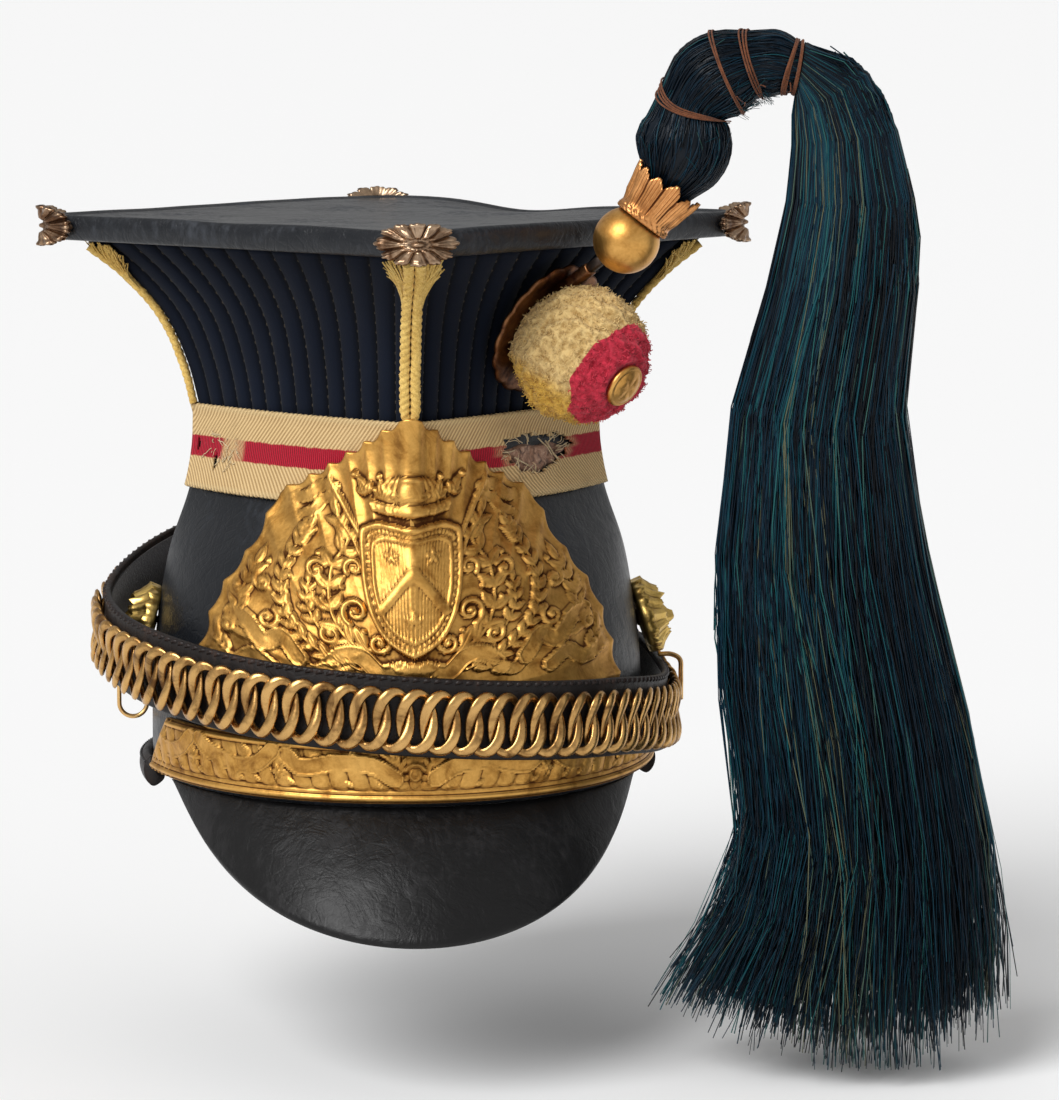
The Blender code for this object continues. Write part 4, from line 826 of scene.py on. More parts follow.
@dataclass(frozen=True)
class FibreFinish:
    """Wool, cord, thread or velvet: a soft colour that wanders, with sheen.

    Attributes:
        name: Name of the material.
        light: Colour of the high places.
        shadow: Colour between the fibres.
        scale: Size of the fibres as a noise scale.
        relief: Depth of the fibres in metres.
        sheen: Weight of the sheen.
    """

    name: str
    light: Colour
    shadow: Colour
    scale: float
    relief: float
    sheen: float

    def make(self) -> bpy.types.Material:
        """The material."""
        bench = Bench(self.name)
        fibres = bench.noise(self.scale, 4.0, 0.65, 0.6)
        patches = bench.noise(self.scale * 0.12, 3.0)
        share = fibres * 0.7 + patches * 0.3
        colour = bench.ramp(share, (0.34, self.shadow), (0.62, self.light))
        normal = bench.bump(fibres, self.relief)
        return bench.dress(Base_Color=colour, Roughness=0.92, Normal=normal, Sheen_Weight=self.sheen,
                           Sheen_Roughness=0.5, Specular_IOR_Level=0.2)


class Finishes:
    """Every finish of the cap, made once."""

    def __init__(self) -> None:
        """Make the materials."""
        self.skull = LeatherFinish("skull_leather", (0.0062, 0.0074, 0.0098), (0.019, 0.022, 0.028), 0.37,
                                   0.58, 0.00060, 0.00009, 0.06).make()
        self.peak = LeatherFinish("peak_leather", (0.0040, 0.0038, 0.0040), (0.0125, 0.0118, 0.0125), 0.40,
                                  0.58, 0.00060, 0.00005, 0.04).make()
        self.board = LeatherFinish("board_leather", (0.0075, 0.0088, 0.0115), (0.034, 0.038, 0.046), 0.34,
                                   0.60, 0.0009, 0.00010, 0.08).make()
        self.strap = LeatherFinish("strap_leather", (0.010, 0.0075, 0.0070), (0.030, 0.019, 0.015), 0.45,
                                   0.65, 0.0005, 0.00008, 0.0).make()
        self.lacing = LeatherFinish("edge_lacing", (0.012, 0.0070, 0.0060), (0.052, 0.027, 0.019), 0.42,
                                    0.6, 0.0004, 0.00005, 0.0).make()
        self.plate = BrassFinish("plate_gilt", (0.76, 0.43, 0.115), (0.43, 0.205, 0.040),
                                 (0.085, 0.030, 0.010), 0.39, 0.00018, True, 0.45).make()
        self.boss = BrassFinish("boss_brass", (0.80, 0.56, 0.18), (0.46, 0.29, 0.070),
                                (0.08, 0.042, 0.014), 0.28, 0.00012, True, 0.35).make()
        # On the chain, cavity turns the patina into painted shade on the back arcs and the bright colour into
        # a painted highlight on the front arcs.
        self.chain = BrassFinish("chain_brass", (0.72, 0.43, 0.155), (0.28, 0.138, 0.042),
                                 (0.055, 0.020, 0.008), 0.24, 0.00006, True, 0.8).make()
        self.tarnished = BrassFinish("tarnished_brass", (0.50, 0.355, 0.235), (0.17, 0.082, 0.039),
                                     (0.030, 0.013, 0.008), 0.25, 0.00012, True, 0.5).make()
        self.wire = BrassFinish("wire_brass", (0.86, 0.55, 0.22), (0.50, 0.27, 0.10),
                                (0.10, 0.045, 0.020), 0.28, 0.00005, False, 0.5).make()
        self.ball = BrassFinish("ball_brass", (0.78, 0.44, 0.13), (0.55, 0.27, 0.062),
                                (0.22, 0.085, 0.022), 0.34, 0.00008, False, 0.3).make()
        self.copper = BrassFinish("cup_copper", (0.82, 0.40, 0.15), (0.50, 0.205, 0.062),
                                  (0.13, 0.042, 0.015), 0.28, 0.00010, True, 0.35).make()
        self.backing = BrassFinish("backing_brass", (0.27, 0.125, 0.052), (0.062, 0.022, 0.014),
                                   (0.022, 0.009, 0.007), 0.36, 0.00012, False, 0.5).make()
        self.iron = BrassFinish("stem_iron", (0.08, 0.06, 0.05), (0.030, 0.024, 0.020),
                                (0.012, 0.010, 0.009), 0.45, 0.0001, False, 0.4).make()
        self.cord = FibreFinish("corner_cord", (0.80, 0.56, 0.175), (0.46, 0.27, 0.055), 1400.0, 0.00022,
                                0.1).make()
        self.thread = FibreFinish("binding_thread", (0.20, 0.070, 0.030), (0.050, 0.016, 0.008), 2400.0,
                                  0.0001, 0.1).make()
        self.pale_thread = FibreFinish("loose_thread", (0.66, 0.54, 0.34), (0.40, 0.28, 0.14), 2000.0,
                                       0.0001, 0.2).make()
        self.seam = FibreFinish("seam_thread", (0.075, 0.060, 0.040), (0.018, 0.015, 0.012), 2400.0,
                                0.0001, 0.1).make()
        self.velvet = FibreFinish("strap_velvet", (0.012, 0.010, 0.012), (0.004, 0.003, 0.004), 900.0,
                                  0.0003, 0.35).make()
        self.hair = HairFinish("plume_hair", (
            (0.00, (0.0006, 0.0016, 0.0032)), (0.28, (0.0014, 0.0080, 0.0175)),
            (0.55, (0.0022, 0.0260, 0.0480)), (0.80, (0.0040, 0.0640, 0.0780)),
            (0.92, (0.0180, 0.1000, 0.0960)), (1.00, (0.1050, 0.1080, 0.0640)))).make()
        self.quilt = self._quilt()
        self.lace = self._lace()
        self.lining = self._lining()
        # Lit and shaded copies of one wool: the fibres are moved 0.25 towards the light stops, so they show
        # as painted light and the ball beneath them as painted shade.
        self.wool = self._wool("pompom_wool", 0.0)
        self.wool_fibre = self._wool("pompom_fibre", 0.25)

    def _quilt(self) -> bpy.types.Material:
        """Navy cloth with lint, and painted shade that turns the creases between the flutes near black."""
        bench = Bench("quilted_cloth")
        weave = bench.noise(2600.0, 2.0, 0.7)
        patches = bench.noise(30.0, 4.0)
        lint = bench.cells(520.0).step(0.0, 0.07).flip() * bench.noise(60.0, 2.0).step(0.52, 0.60)
        depth = bench.shade("cavity")
        colour = bench.blend((0.0018, 0.0030, 0.0070), (0.0055, 0.0095, 0.0210),
                             patches * 0.6 + weave * 0.4)
        # Painted shade: depth, the cavity attribute, is 1 in the creases between the flutes and darkens them
        # to near black.
        colour = bench.blend(colour, (0.0006, 0.0008, 0.0016), depth)
        colour = bench.blend(colour, (0.13, 0.13, 0.14), lint * 0.45)
        normal = bench.bump(weave, 0.00012, 0.8)
        return bench.dress(Base_Color=colour, Roughness=0.9, Normal=normal, Sheen_Weight=0.04,
                           Sheen_Roughness=0.45, Specular_IOR_Level=0.12)

    def _lace(self) -> bpy.types.Material:
        """Cream twill with a ribbed crimson stripe along its middle."""
        bench = Bench("waist_lace")
        along = bench.axis("X", bench.place(mapped=True))
        across = bench.axis("Y", bench.place(mapped=True))
        off = across - LACE_HEIGHT / 2
        upper = off.step(-0.0005, 0.0005)
        lean = upper * 2.0 - 1.0
        pitch = 2 * math.pi / 0.00170
        twill = (along * pitch - across * lean * (pitch * 0.85)).sine() * 0.5 + 0.5
        ribs = (along * (2 * math.pi / 0.0009)).sine() * 0.5 + 0.5
        picks = (across * (2 * math.pi / 0.00055)).sine() * 0.5 + 0.5
        wander = bench.noise(300.0, 3.0) * 0.0012 - 0.0006
        stripe = (off.size() + wander).step(0.0033, 0.0039).flip()
        edge = (off.size()).step(0.0122, 0.0134)
        grime = bench.noise(55.0, 5.0, 0.6)
        fine = bench.noise(1800.0, 2.0, 0.7)
        cream = bench.ramp(twill * 0.55 + fine * 0.25 + grime * 0.35, (0.30, (0.36, 0.225, 0.095)),
                           (0.72, (0.66, 0.470, 0.235)))
        cream = bench.blend(cream, (0.26, 0.17, 0.08), grime.step(0.52, 0.78) * 0.45)
        crimson = bench.ramp(ribs * 0.6 + fine * 0.4, (0.25, (0.17, 0.004, 0.010)),
                             (0.75, (0.50, 0.010, 0.034)))
        colour = bench.blend(cream, crimson, stripe * bench.shade("bare").flip())
        colour = bench.blend(colour, (0.55, 0.42, 0.22), edge * 0.35)
        height = bench.blend(twill, ribs, stripe)
        normal = bench.bump(height, 0.00025)
        normal = bench.bump(picks, 0.00006, 0.6, normal)
        return bench.dress(Base_Color=colour, Roughness=0.85, Normal=normal, Sheen_Weight=0.05,
                           Sheen_Roughness=0.5, Specular_IOR_Level=0.15)

    def _lining(self) -> bpy.types.Material:
        """Crumpled tan leather and torn cloth under the worn lace."""
        bench = Bench("worn_lining")
        folds = bench.noise(330.0, 5.0, 0.6, 1.2)
        # Painted shade: the colour follows the crumple heights of the bump, dark brown down in the folds and
        # tan on the crests.
        colour = bench.ramp(folds, (0.30, (0.050, 0.022, 0.014)), (0.50, (0.30, 0.16, 0.10)),
                            (0.72, (0.55, 0.36, 0.25)))
        normal = bench.bump(folds, 0.0008)
        return bench.dress(Base_Color=colour, Roughness=0.8, Normal=normal, Sheen_Weight=0.1)

    def _wool(self, name: str, lift: float) -> bpy.types.Material:
        """Wool that is cream low and to the left and crimson round the button."""
        bench = Bench(name)
        clumps = bench.noise(420.0, 4.0, 0.65, 0.5)
        patches = bench.noise(60.0, 3.0)
        red = bench.shade("crimson")
        low = bench.shade("low")
        # Painted shade: the ramps follow the clump heights that the bump uses, darker in the sinks. lift
        # slides a copy towards the light stops for the lighter fibres.
        cream = bench.ramp(clumps + lift, (0.34, (0.34, 0.20, 0.062)), (0.60, (0.70, 0.50, 0.215)))
        ochre = bench.ramp(clumps + lift, (0.34, (0.32, 0.155, 0.018)), (0.60, (0.70, 0.43, 0.075)))
        cream = bench.blend(cream, ochre, (low + patches * 0.6 - 0.3).step(0.2, 0.9))
        crimson = bench.ramp(clumps + lift, (0.34, (0.23, 0.005, 0.014)), (0.60, (0.60, 0.034, 0.066)))
        colour = bench.blend(cream, crimson, red.step(0.42, 0.58))
        normal = bench.bump(clumps, 0.0006)
        return bench.dress(Base_Color=colour, Roughness=0.95, Normal=normal, Sheen_Weight=0.12,
                           Sheen_Roughness=0.6, Specular_IOR_Level=0.1)


# Trees that repeat a form


class Tree(NodeWork):
    """A Geometry Nodes tree with named inputs."""

    def __init__(self, name: str, **kinds: str) -> None:
        """Start a tree with a geometry input and output, and further inputs by their kinds."""
        super().__init__(bpy.data.node_groups.new(name, "GeometryNodeTree"))
        for way in ("INPUT", "OUTPUT"):
            self.tree.interface.new_socket("Geometry", in_out=way, socket_type="NodeSocketGeometry")
        for key, kind in kinds.items():
            self.tree.interface.new_socket(key, in_out="INPUT", socket_type="NodeSocket" + kind)
        self.start = self.tree.nodes.new("NodeGroupInput").outputs
        self.end = self.tree.nodes.new("NodeGroupOutput")

    def named(self, name: str, kind: str = "FLOAT") -> bpy.types.NodeSocket:
        """A point attribute of the incoming mesh."""
        return self.node("GeometryNodeInputNamedAttribute", {"Name": name}, data_type=kind)

    def close(self, geometry: bpy.types.NodeSocket) -> bpy.types.NodeTree:
        """End the tree in Realize Instances, smooth shading and Set Material."""
        real = self.node("GeometryNodeRealizeInstances", {"Geometry": geometry})
        soft = self.node("GeometryNodeSetShadeSmooth", {"Geometry": real})
        done = self.node("GeometryNodeSetMaterial", {"Geometry": soft, "Material": self.start["Material"]})
        self.tree.links.new(done, self.end.inputs[0])
        return self.tree


def strand_tree() -> bpy.types.NodeTree:
    """Lines of the incoming mesh as thin tubes, as thick as their attribute says."""
    work = Tree("strands", Sides="Int", Material="Material")
    line = work.node("GeometryNodeMeshToCurve", {"Mesh": work.start[0]})
    profile = work.node("GeometryNodeCurvePrimitiveCircle", {
        "Resolution": work.start["Sides"], "Radius": 1.0})
    return work.close(work.node("GeometryNodeCurveToMesh", {
        "Curve": line, "Profile Curve": profile, "Scale": work.named("thick"), "Fill Caps": True}))


def repeat_tree() -> bpy.types.NodeTree:
    """A form at each point of the incoming mesh, turned to its ways."""
    work = Tree("repeats", Form="Object", Material="Material")
    copy = work.node("GeometryNodeObjectInfo", {"Object": work.start["Form"]}, "Geometry")
    along = work.node("FunctionNodeAlignRotationToVector", {
        "Vector": work.named("along", "FLOAT_VECTOR")}, axis="X")
    turned = work.node("FunctionNodeAlignRotationToVector", {
        "Rotation": along, "Vector": work.named("out", "FLOAT_VECTOR")}, axis="Z", pivot_axis="X")
    return work.close(work.node("GeometryNodeInstanceOnPoints", {
        "Points": work.start[0], "Instance": copy, "Rotation": turned}))


def fuzz_tree() -> bpy.types.NodeTree:
    """Short curled fibres scattered over the faces of the incoming mesh."""
    work = Tree("fuzz", Density="Float", Length="Float", Thickness="Float", Curl="Float", Seed="Int",
                Material="Material")
    curl, seed = work.start["Curl"], work.start["Seed"]
    points = work.node("GeometryNodeDistributePointsOnFaces", {
        "Mesh": work.start[0], "Density": work.start["Density"], "Seed": seed}, "Points")
    half = work.node("ShaderNodeMath", {0: curl, 1: 0.5}, operation="MULTIPLY")
    middle = work.node("ShaderNodeCombineXYZ", {"X": curl, "Z": 0.55})
    tip = work.node("ShaderNodeCombineXYZ", {"X": half, "Y": curl, "Z": 1.0})
    line = work.node("GeometryNodeCurveQuadraticBezier", {
        "Resolution": 2, "Start": (0.0, 0.0, -0.15), "Middle": middle, "End": tip})
    profile = work.node("GeometryNodeCurvePrimitiveCircle", {
        "Resolution": 3, "Radius": work.start["Thickness"]})
    fibre = work.node("GeometryNodeCurveToMesh", {"Curve": line, "Profile Curve": profile,
                                                  "Fill Caps": True})
    tilt = work.node("FunctionNodeRandomValue", {
        "Min": (-0.9, -0.9, -3.14), "Max": (0.9, 0.9, 3.14), "Seed": seed}, data_type="FLOAT_VECTOR")
    turn = work.node("FunctionNodeEulerToRotation", {"Euler": tilt})
    way = work.node("FunctionNodeRotateRotation", {
        "Rotation": points.node.outputs["Rotation"], "Rotate By": turn}, rotation_space="LOCAL")
    chance = work.node("FunctionNodeRandomValue", {2: 0.55, 3: 1.25, "Seed": seed}, 1, data_type="FLOAT")
    scale = work.node("ShaderNodeMath", {0: chance, 1: work.start["Length"]}, operation="MULTIPLY")
    return work.close(work.node("GeometryNodeInstanceOnPoints", {
        "Points": points, "Instance": fibre, "Rotation": way, "Scale": scale}))


@dataclass
class Strands:
    """Lines gathered for one piece of hair, cord or thread.

    Attributes:
        lines: Points of each line.
        thick: Radius at each point of each line.
        tones: Tone at each point of each line, for hair.
    """

    lines: list[np.ndarray] = field(default_factory=list)
    thick: list[np.ndarray] = field(default_factory=list)
    tones: list[np.ndarray] = field(default_factory=list)

    def add(self, line: np.ndarray, thick: Value, tone: Optional[float] = None) -> None:
        """Add a line with its radius and, for hair, its tone."""
        self.lines.append(line)
        self.thick.append(np.broadcast_to(thick, len(line)))
        if tone is not None:
            self.tones.append(np.full(len(line), tone))


class Repeater:
    """Runs the shared trees on plain meshes."""

    def __init__(self) -> None:
        """Build the three trees."""
        self.strands = strand_tree()
        self.repeats = repeat_tree()
        self.fuzz = fuzz_tree()

    @staticmethod
    def run(mesh: bpy.types.Mesh, tree: bpy.types.NodeTree, **inputs) -> bpy.types.Mesh:
        """Run a tree on a mesh.

        Args:
            mesh: The incoming mesh.
            tree: The tree to run.
            inputs: Values by the names of the tree's inputs.

        Returns:
            The result as a plain mesh.
        """
        carrier = place_piece("carrier", mesh)
        modifier = carrier.modifiers.new("repeat", "NODES")
        modifier.node_group = tree
        keys = {item.name: item.identifier for item in tree.interface.items_tree
                if item.in_out == "INPUT"}
        for key, value in inputs.items():
            modifier[keys[key]] = value
        bpy.context.view_layer.update()
        shown = carrier.evaluated_get(bpy.context.evaluated_depsgraph_get())
        data = bpy.data.meshes.new_from_object(shown)
        bpy.data.objects.remove(carrier, do_unlink=True)
        return data

    def settle_strands(self, name: str, strands: Strands, sides: int, material: bpy.types.Material,
                       slot: str, *nodes: str) -> None:
        """Settle a piece of tubes along lines.

        Args:
            name: Name of the piece.
            strands: The lines.
            sides: Sides of a tube.
            material: Its material.
            slot: The record's material slot.
            nodes: CAD nodes that the piece stands for.
        """
        edges = []
        start = 0
        for line in strands.lines:
            edges += [(index, index + 1) for index in range(start, start + len(line) - 1)]
            start += len(line)
        mesh = bpy.data.meshes.new("lines")
        mesh.from_pydata(np.vstack(strands.lines).tolist(), edges, [])
        for key, values in (("thick", strands.thick), ("tone", strands.tones)):
            if values:
                add_shade(mesh, key, np.concatenate(values))
        settle(name, self.run(mesh, self.strands, Sides=sides, Material=material), material, slot, *nodes)

    def settle_repeats(self, name: str, form: bpy.types.Mesh, ways: Sequence[np.ndarray],
                       material: bpy.types.Material, slot: str, *nodes: str) -> None:
        """Settle a piece of one form repeated at places.

        Args:
            name: Name of the piece.
            form: The mesh to repeat, its length along X and its face towards Z.
            ways: The places, and at each the way of the form's X and of its Z.
            material: Its material.
            slot: The record's material slot.
            nodes: CAD nodes that the piece stands for.
        """
        model = place_piece("form", form)
        mesh = bpy.data.meshes.new("places")
        mesh.from_pydata(ways[0].tolist(), [], [])
        for key, values in zip(("along", "out"), ways[1:]):
            layer = mesh.attributes.new(key, "FLOAT_VECTOR", "POINT")
            layer.data.foreach_set("vector", values.reshape(-1))
        done = self.run(mesh, self.repeats, Form=model, Material=material)
        bpy.data.objects.remove(model, do_unlink=True)
        settle(name, done, material, slot, *nodes)


# The body of the cap


def shell_rings(heights: np.ndarray, turns: np.ndarray, lift: np.ndarray, wall: float) -> np.ndarray:
    """Rings of a wall, up its outside and down its inside.

    Args:
        heights: Heights of the outer rings, rising.
        turns: Turn of each column.
        lift: How far each outer point stands off the wall.
        wall: Thickness.

    Returns:
        Rings for a grid whose rows are looped.
    """
    outer = wall_point(heights[:, None], turns[None, :], lift)
    inner = wall_point(np.linspace(heights[0], heights[-1], INNER_ROWS)[::-1, None], turns[None, :], -wall)
    return np.concatenate((outer, inner))


@dataclass
class SkullShell:
    """The leather skull with its rolled rear rim and the peak."""

    columns: int = 176
    rows: int = 60
    dent: float = 0.00040
    roll_proud: float = 0.0048
    roll_rise: float = 0.0045
    roll_clear: float = 0.012
    roll_stations: int = 150
    rim_stitches: int = 118
    peak_length: float = 0.052
    peak_slope: float = math.radians(50)
    peak_steeper: float = math.radians(15)
    peak_forward: float = 0.7
    peak_span: float = 0.76
    peak_bow: float = 0.05
    peak_fullness: float = 1.3
    peak_stations: int = 141
    peak_steps: int = 26

    def build(self, finishes: Finishes, repeater: Repeater) -> None:
        """Make the skull, the rim, the peak and the rim's stitches."""
        turns = np.arange(self.columns) * 4 / self.columns
        heights = np.linspace(0.0, SKULL_HEIGHT, self.rows)
        flat = wall_point(heights[:, None], turns[None, :])
        lift = ripple(flat, 46.0, 3) * self.dent * smooth(0.0, 0.01, heights)[:, None]
        rings = shell_rings(heights, turns, lift, LEATHER)
        settle("skull_shell", Grid(rings, loop_rows=True).mesh(), finishes.skull, "skull_leather",
               "skull")
        self._rim(finishes, repeater)
        self._peak(finishes)

    def _rim(self, finishes: Finishes, repeater: Repeater) -> None:
        """The rolled edge round the sides and back, with a row of stitches."""
        section = smooth_path(((0.06, 0.80), (0.55, 1.00), (1.00, 0.25), (0.90, -0.71), (0.35, -1.29),
                               (-0.42, -0.77), (-0.42, -0.07), (0.06, -0.07)), 5)
        turns = np.linspace(STRIP_RIGHT + self.roll_clear, 4.0 + STRIP_LEFT - self.roll_clear,
                            self.roll_stations)
        rings = wall_point(np.zeros(1), turns[:, None], section[None, :, 0] * self.roll_proud)
        rings[..., 2] = section[None, :, 1] * self.roll_rise
        rings[..., 2] += ripple(rings, 90.0, 5) * 0.0002
        settle("rim_binding", Grid(rings, caps=True).mesh(), finishes.strap, "rim_leather",
               "rim_roll")
        turns = np.linspace(turns[1], turns[-2], self.rim_stitches)
        places = wall_point(0.0, turns, 0.92 * self.roll_proud)
        places[:, 2] = 0.62 * self.roll_rise
        out = unit(wall_normal(0.0, turns) * 0.8 + UP * 0.6)
        along = np.cross(UP, wall_normal(0.0, turns))
        repeater.settle_repeats("rim_stitches", stitch_form(0.0026, 0.00035), (places, along, out),
                                finishes.velvet, "rim_leather")

    def _peak(self, finishes: Finishes) -> None:
        """The sloping peak with a soft bow and a thin rolled edge."""
        side = np.linspace(-1.0, 1.0, self.peak_stations)
        turn = side * self.peak_span
        out = unit(wall_normal(0.0, turn) * (1.0 - self.peak_forward)
                   - BACK * self.peak_forward)
        slope = self.peak_slope + self.peak_steeper * side ** 2
        reach = np.maximum(1.0 - side ** 2, 0.004) ** self.peak_fullness
        length = self.peak_length * reach
        away = out * np.cos(slope)[:, None] - UP * np.sin(slope)[:, None]
        up_way = out * np.sin(slope)[:, None] + UP * np.cos(slope)[:, None]
        edge = wall_point(0.0, turn) - UP * TOUCH
        seat = wall_point(0.0, turn, -LEATHER) - UP * TOUCH
        share = np.linspace(0.0, 1.0, self.peak_steps)[None, :, None]
        top = (edge[:, None] + away[:, None] * (length[:, None, None] * share)
               + up_way[:, None] * (length[:, None, None] * self.peak_bow * 4 * share * (1 - share)))
        normal = unit(up_way)[:, None]
        crease = ripple(top * np.array((1.0, 1.6, 1.6)), 60.0, 8)
        fade = smooth(0.0, 0.15, share[..., 0]) * smooth(1.0, 0.9, share[..., 0]) * reach[:, None]
        top = top + normal * (crease * fade * 0.0005)[..., None]
        low = top[:, ::-1] - normal * LEATHER
        rim = (top[:, -1:] + low[:, :1]) / 2 + away[:, None] * 0.0008 * reach[:, None, None]
        rings = np.concatenate((seat[:, None], top, rim, low[:, :-1:3], seat[:, None] - UP * LEATHER), axis=1)
        settle("peak_shell", Grid(rings, caps=True).mesh(), finishes.peak, "peak_leather", "peak")


def stitch_form(length: float, radius: float) -> bpy.types.Mesh:
    """A short thread lying along X, its ends sunk."""
    along = np.linspace(-0.5, 0.5, 4)
    middle = np.stack((along * length, np.zeros(4), radius * (0.6 - 5.0 * along ** 2)), axis=-1)
    return Grid(sweep(middle, BACK, UP, round_section(radius, 5)), caps=True).mesh()


@dataclass
class QuiltedUpper:
    """The quilted cloth upper with padded flutes and rows of small stitches."""

    flutes_a_side: int = 14
    flute_depth: float = 0.0018
    wall: float = 0.0042
    columns_a_flute: int = 9
    rows: int = 32
    stitch_pitch: float = 0.0034

    def build(self, finishes: Finishes, repeater: Repeater) -> None:
        """Make the cloth and its stitches."""
        flutes = 4 * self.flutes_a_side
        turns = np.arange(flutes * self.columns_a_flute) * 4 / (flutes * self.columns_a_flute)
        base = SKULL_HEIGHT + TOUCH
        heights = np.linspace(base, base + UPPER_HEIGHT, self.rows)
        share = (heights - base) / UPPER_HEIGHT
        phase = (turns * self.flutes_a_side) % 1.0
        pad = np.sin(math.pi * phase) ** 0.55
        flat = wall_point(heights[:, None], turns[None, :])
        wander = 1.0 + 0.25 * ripple(flat, 55.0, 12)
        sunk = -self.flute_depth * (1.0 - pad)[None, :] * wander
        lift = np.minimum(sunk, 0.0) + 0.00022 * ripple(flat, 240.0, 13) * pad[None, :]
        tuck = (1.0 - smooth(0.0, 0.05, share)) + smooth(0.96, 1.0, share)
        lift = lift - 0.0006 * tuck[:, None] * pad[None, :]
        rings = shell_rings(heights, turns, lift, self.wall)
        # cavity is 1 in the creases between the flutes; the cloth's material paints them near black with it,
        # as painted shade.
        cavity = np.zeros(rings.shape[:2])
        cavity[:self.rows] = (1.0 - pad)[None, :] ** 1.4
        cloth = Grid(rings, loop_rows=True, shades={"cavity": cavity}).mesh()
        settle("quilted_cloth", cloth, finishes.quilt, "quilted_cloth", "quilted_upper")
        rows = np.arange(base + 0.003, base + UPPER_HEIGHT - 0.002, self.stitch_pitch)
        creases = np.arange(flutes) / self.flutes_a_side
        keep = np.abs((creases + 0.5) % 1.0 - 0.5) > 0.02
        z, turn = (values.ravel() for values in np.meshgrid(rows, creases[keep], indexing="ij"))
        places = wall_point(z, turn, -self.flute_depth + 0.00012)
        along = unit(wall_point(z + 0.001, turn) - wall_point(z - 0.001, turn))
        repeater.settle_repeats("quilting_stitches", stitch_form(0.0012, 0.00021),
                                (places, along, wall_normal(z, turn)), finishes.seam, "quilted_cloth")


@dataclass
class BoardTop:
    """The square leather board with its rolled edge, slack middle and dented right side."""

    columns_a_side: int = 46
    blunt: float = 0.984
    sag: float = 0.003
    dent: float = 0.0035
    edge_steps: int = 13

    def height(self, x: np.ndarray, y: np.ndarray) -> np.ndarray:
        """How far the leather lies below a flat top."""
        reach = (np.abs(x) + np.abs(y)) / BOARD_REACH
        slack = self.sag * np.maximum(0.0, 1.0 - reach ** 2)
        along = (x - y) / BOARD_REACH
        edge = smooth(0.55, 1.0, (x + y) / BOARD_REACH)
        return slack + self.dent * edge * np.exp(-((along + 0.10) / 0.32) ** 2)

    def build(self, finishes: Finishes) -> None:
        """Make the board."""
        edge = np.linspace(-math.pi / 2, math.pi / 2, self.edge_steps)
        sections = [(0.40, 1.00, 0.0), (0.93, 1.00, 0.0), (0.95, 1.005, 0.3)]
        sections += [(0.975 + 0.025 * math.cos(angle), 0.5 - 0.5 * math.sin(angle), 1.0)
                     for angle in edge]
        sections += [(0.966, 0.030, 1.0), (0.957, 0.085, 1.0), (0.948, 0.100, 1.0), (0.940, 0.072, 1.0),
                     (0.930, 0.060, 1.0)]
        sections += [(scale, mix(0.08, 0.06, 1 - scale), 1.0)
                     for scale in np.linspace(0.90, 0.03, 25)]
        step = np.arange(4 * self.columns_a_side)
        quarter = step // self.columns_a_side
        share = (step % self.columns_a_side) / self.columns_a_side
        share = 0.5 - 0.5 * np.cos(math.pi * share) * (0.55 + 0.45 * np.abs(np.cos(math.pi * share)))
        corner = mix(CORNERS[quarter], CORNERS[(quarter + 1) % 4], share[:, None])
        near = np.minimum(share, 1 - share)
        trim = mix(self.blunt, 1.0, smooth(0.0, 0.035, near))
        rows = []
        for scale, drop, slack in sections:
            flat = corner * (BOARD_REACH * scale * trim)[:, None]
            z = BOARD_BASE + BOARD_EDGE * (1.0 - drop) - slack * self.height(flat[:, 0], flat[:, 1])
            rows.append(np.column_stack((flat, z)))
        rings = np.array(rows)
        wave = ripple(rings * np.array((1.0, 1.0, 0.2)), 52.0, 21) * 0.00045
        rings[4:, :, 2] += wave[4:] * smooth(1.0, 0.5, (rings[4:, :, 2] < BOARD_BASE + 0.004) * 1.0)
        poles = (np.array((0.0, 0.0, BOARD_BASE)),
                 np.array((0.0, 0.0, BOARD_BASE + BOARD_EDGE * 0.94 - self.sag)))
        settle("board_top", Grid(rings, poles=poles).mesh(), finishes.board, "board_leather", "board")


